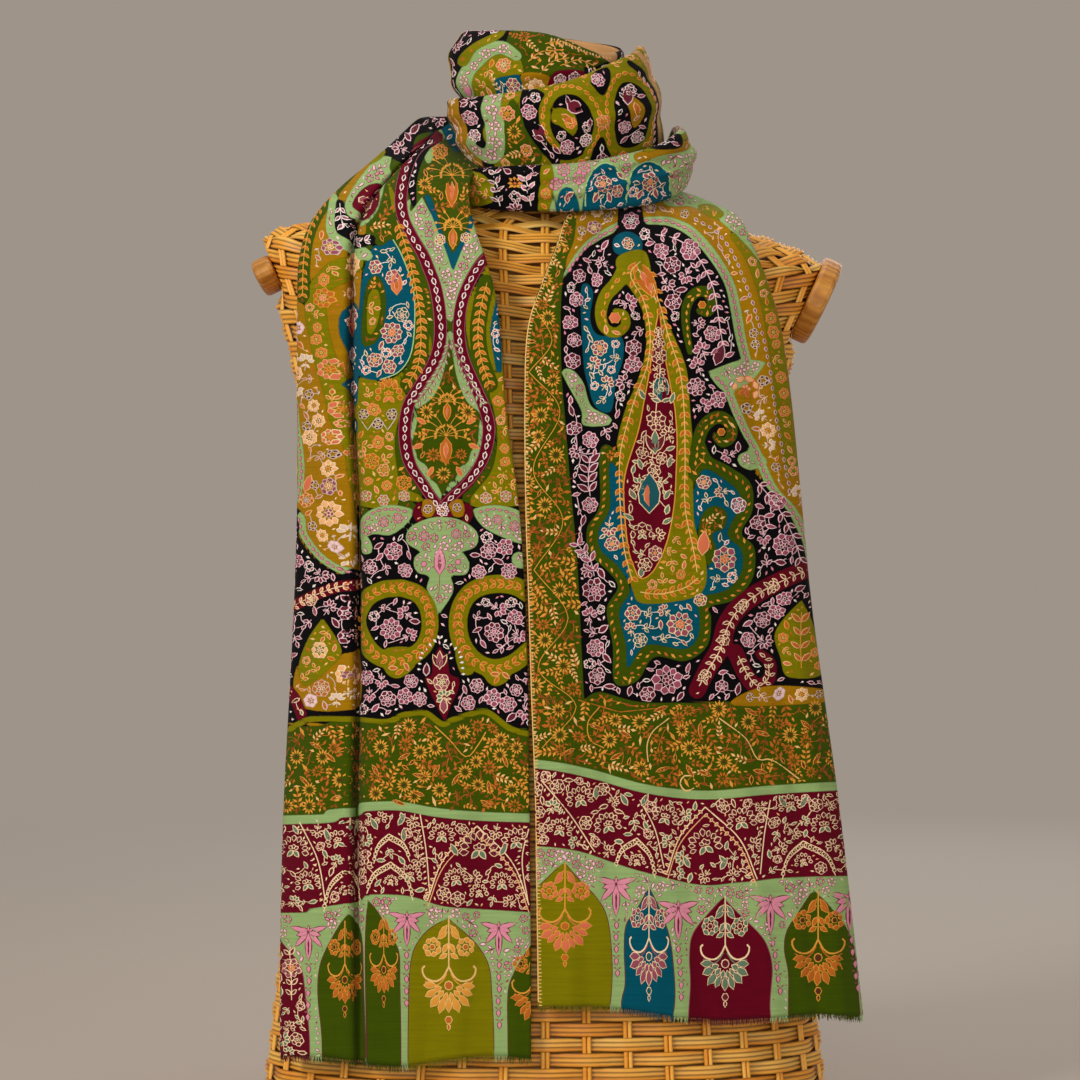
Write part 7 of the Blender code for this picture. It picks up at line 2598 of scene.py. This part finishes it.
SCATTER_SPACING = 2.8           # pitch of the places that scattered motifs are tried at, in units
STRAND_PITCH = 0.8 * MM
STRAND_HALF = 0.35 * MM
STRAND_RINGS, STRAND_CORNERS = 4, 3
STRAND_JITTER = 0.3             # how far a strand may leave its place, in pitches
STRAND_SHORTEST, STRAND_LONGEST = 0.45, 0.98            # shares of the room under the hem
STRAND_SWAY, STRAND_SWAY_OUT = 0.9, 0.5                 # in millimetres, a usual one
STRAND_CURVE = 1.5
STRAND_TAPER = 0.55
STRAND_ROOT = 0.8 * MM          # how far a strand starts above the hem
ABOVE_HEM = (0.0, 4.0)          # where a strand's colour is read, in units above the hem
FRONT_BELLY = -0.04             # a turn faces the front where its belly is in front of this


def add_wall(item):
    """Give a sheet its thickness, half of it on either side."""
    wall = item.modifiers.new("wall", "SOLIDIFY")
    wall.thickness = CLOTH_WALL
    wall.offset = 0.0
    wall.use_even_offset = False


def fringe(name, grid, chart, drawn):
    """Frayed ends: fine strands under the hem, each in the colour of the cloth above it."""
    hem, above = grid[0], chart[0] - ABOVE_HEM
    run = run_along(hem)
    spots = np.arange(STRAND_PITCH / 2.0, run[-1], STRAND_PITCH)
    spots = spots + RNG.uniform(-STRAND_JITTER, STRAND_JITTER, len(spots)) * STRAND_PITCH
    roots = points_at(spots, run, hem)
    ahead = unit_rows(points_at(spots + MM, run, hem) - roots)
    outward = np.stack([ahead[:, 1], -ahead[:, 0], np.zeros(len(ahead))], axis=1)
    read = drawn.read(points_at(spots, run, above))
    names = list(read)
    shades = np.argmax(np.stack([read[colour] for colour in names]), axis=0)
    points, faces = [], []
    for number, root in enumerate(roots):
        length = HEM_RISE * RNG.uniform(STRAND_SHORTEST, STRAND_LONGEST)
        sway = (ahead[number] * RNG.normal(0.0, STRAND_SWAY) * MM
                + outward[number] * RNG.normal(0.0, STRAND_SWAY_OUT) * MM)
        for step in range(STRAND_RINGS):
            share = step / (STRAND_RINGS - 1.0)
            drop = STRAND_ROOT - (length + STRAND_ROOT) * share
            middle = root + sway * share ** STRAND_CURVE + (0.0, 0.0, drop)
            half = STRAND_HALF * (1.0 - STRAND_TAPER * share)
            points += [middle + ahead[number] * half, middle + outward[number] * half,
                       middle - ahead[number] * half - outward[number] * half * 0.5]
        for step in range(STRAND_RINGS - 1):
            base = STRAND_CORNERS * (STRAND_RINGS * number + step)
            for corner in range(STRAND_CORNERS):
                a, b = base + corner, base + (corner + 1) % STRAND_CORNERS
                faces.append((a, b, b + STRAND_CORNERS, a + STRAND_CORNERS))
    mesh = bpy.data.meshes.new(name)
    mesh.from_pydata([tuple(point) for point in points], [], faces)
    for colour in names:
        mesh.materials.append(thread_material(colour))
    strand_faces = (STRAND_RINGS - 1) * STRAND_CORNERS
    mesh.polygons.foreach_set("material_index", np.repeat(shades, strand_faces).astype(np.int32))
    mesh.shade_smooth()
    return linked(name, mesh)


camera()
studio()

grids = {
    "left_fall": fall_grid(LEFT_ROWS, LEFT_FOLDS),
    "right_fall": fall_grid(RIGHT_ROWS, RIGHT_FOLDS),
    "lower_turn": turn_grid(LOWER_TURN, LOWER_TURN_CENTRE, ARC_COLUMNS, False),
    "middle_turn": turn_grid(MIDDLE_TURN, MIDDLE_TURN_CENTRE, TURN_COLUMNS, True),
    "inner_turn": turn_grid(INNER_TURN, INNER_TURN_CENTRE, TURN_COLUMNS, True, True),
}
twill = cloth_material("cloth_twill")
for name, grid in grids.items():
    hanging = name.endswith("fall")
    chart = fall_chart(grid) if hanging else turn_chart(grid)
    paint, stitch, box = PATTERNS[name]
    drawn = Ground()
    paint(drawn)
    item = cloth_object(name + "_cloth", grid, chart)
    drawn.put_on(item, chart)
    item.data.materials.append(twill)
    add_wall(item)
    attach(item, "root")
    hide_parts(name)

    threads = Threads(name + "_threads", drawn)
    threads.edge = chart[:, 0] if hanging else chart[:, len(LIP_ROLLED)]
    stitch(threads)
    threads.scatter(box, SCATTER_SPACING, KITS, VINES)
    front = np.zeros(grid.shape[:2], dtype=bool)
    if hanging:
        front[:, :FRONT_COLUMNS] = True
    else:
        shows = grid[:, grid.shape[1] // 2, 1] < FRONT_BELLY
        front[shows, len(LIP_ROLLED) + 2:-len(FOOT) - 2] = True
    normals = grid_normals(grid, front)
    work = threads.lay(grid, chart, normals)
    with_pieces = [work]
    if hanging:
        with_pieces.append(fringe(name + "_fringe", grid, chart, drawn))
    for piece in with_pieces:
        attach(piece, "root")

form = wicker_form()
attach(form, "root")
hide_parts("form_torso")

wood = wood_material()
for name in ("arm_cap_left", "arm_cap_right", "neck_cap"):
    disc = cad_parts[name]
    disc.data.materials.clear()
    disc.data.materials.append(wood)
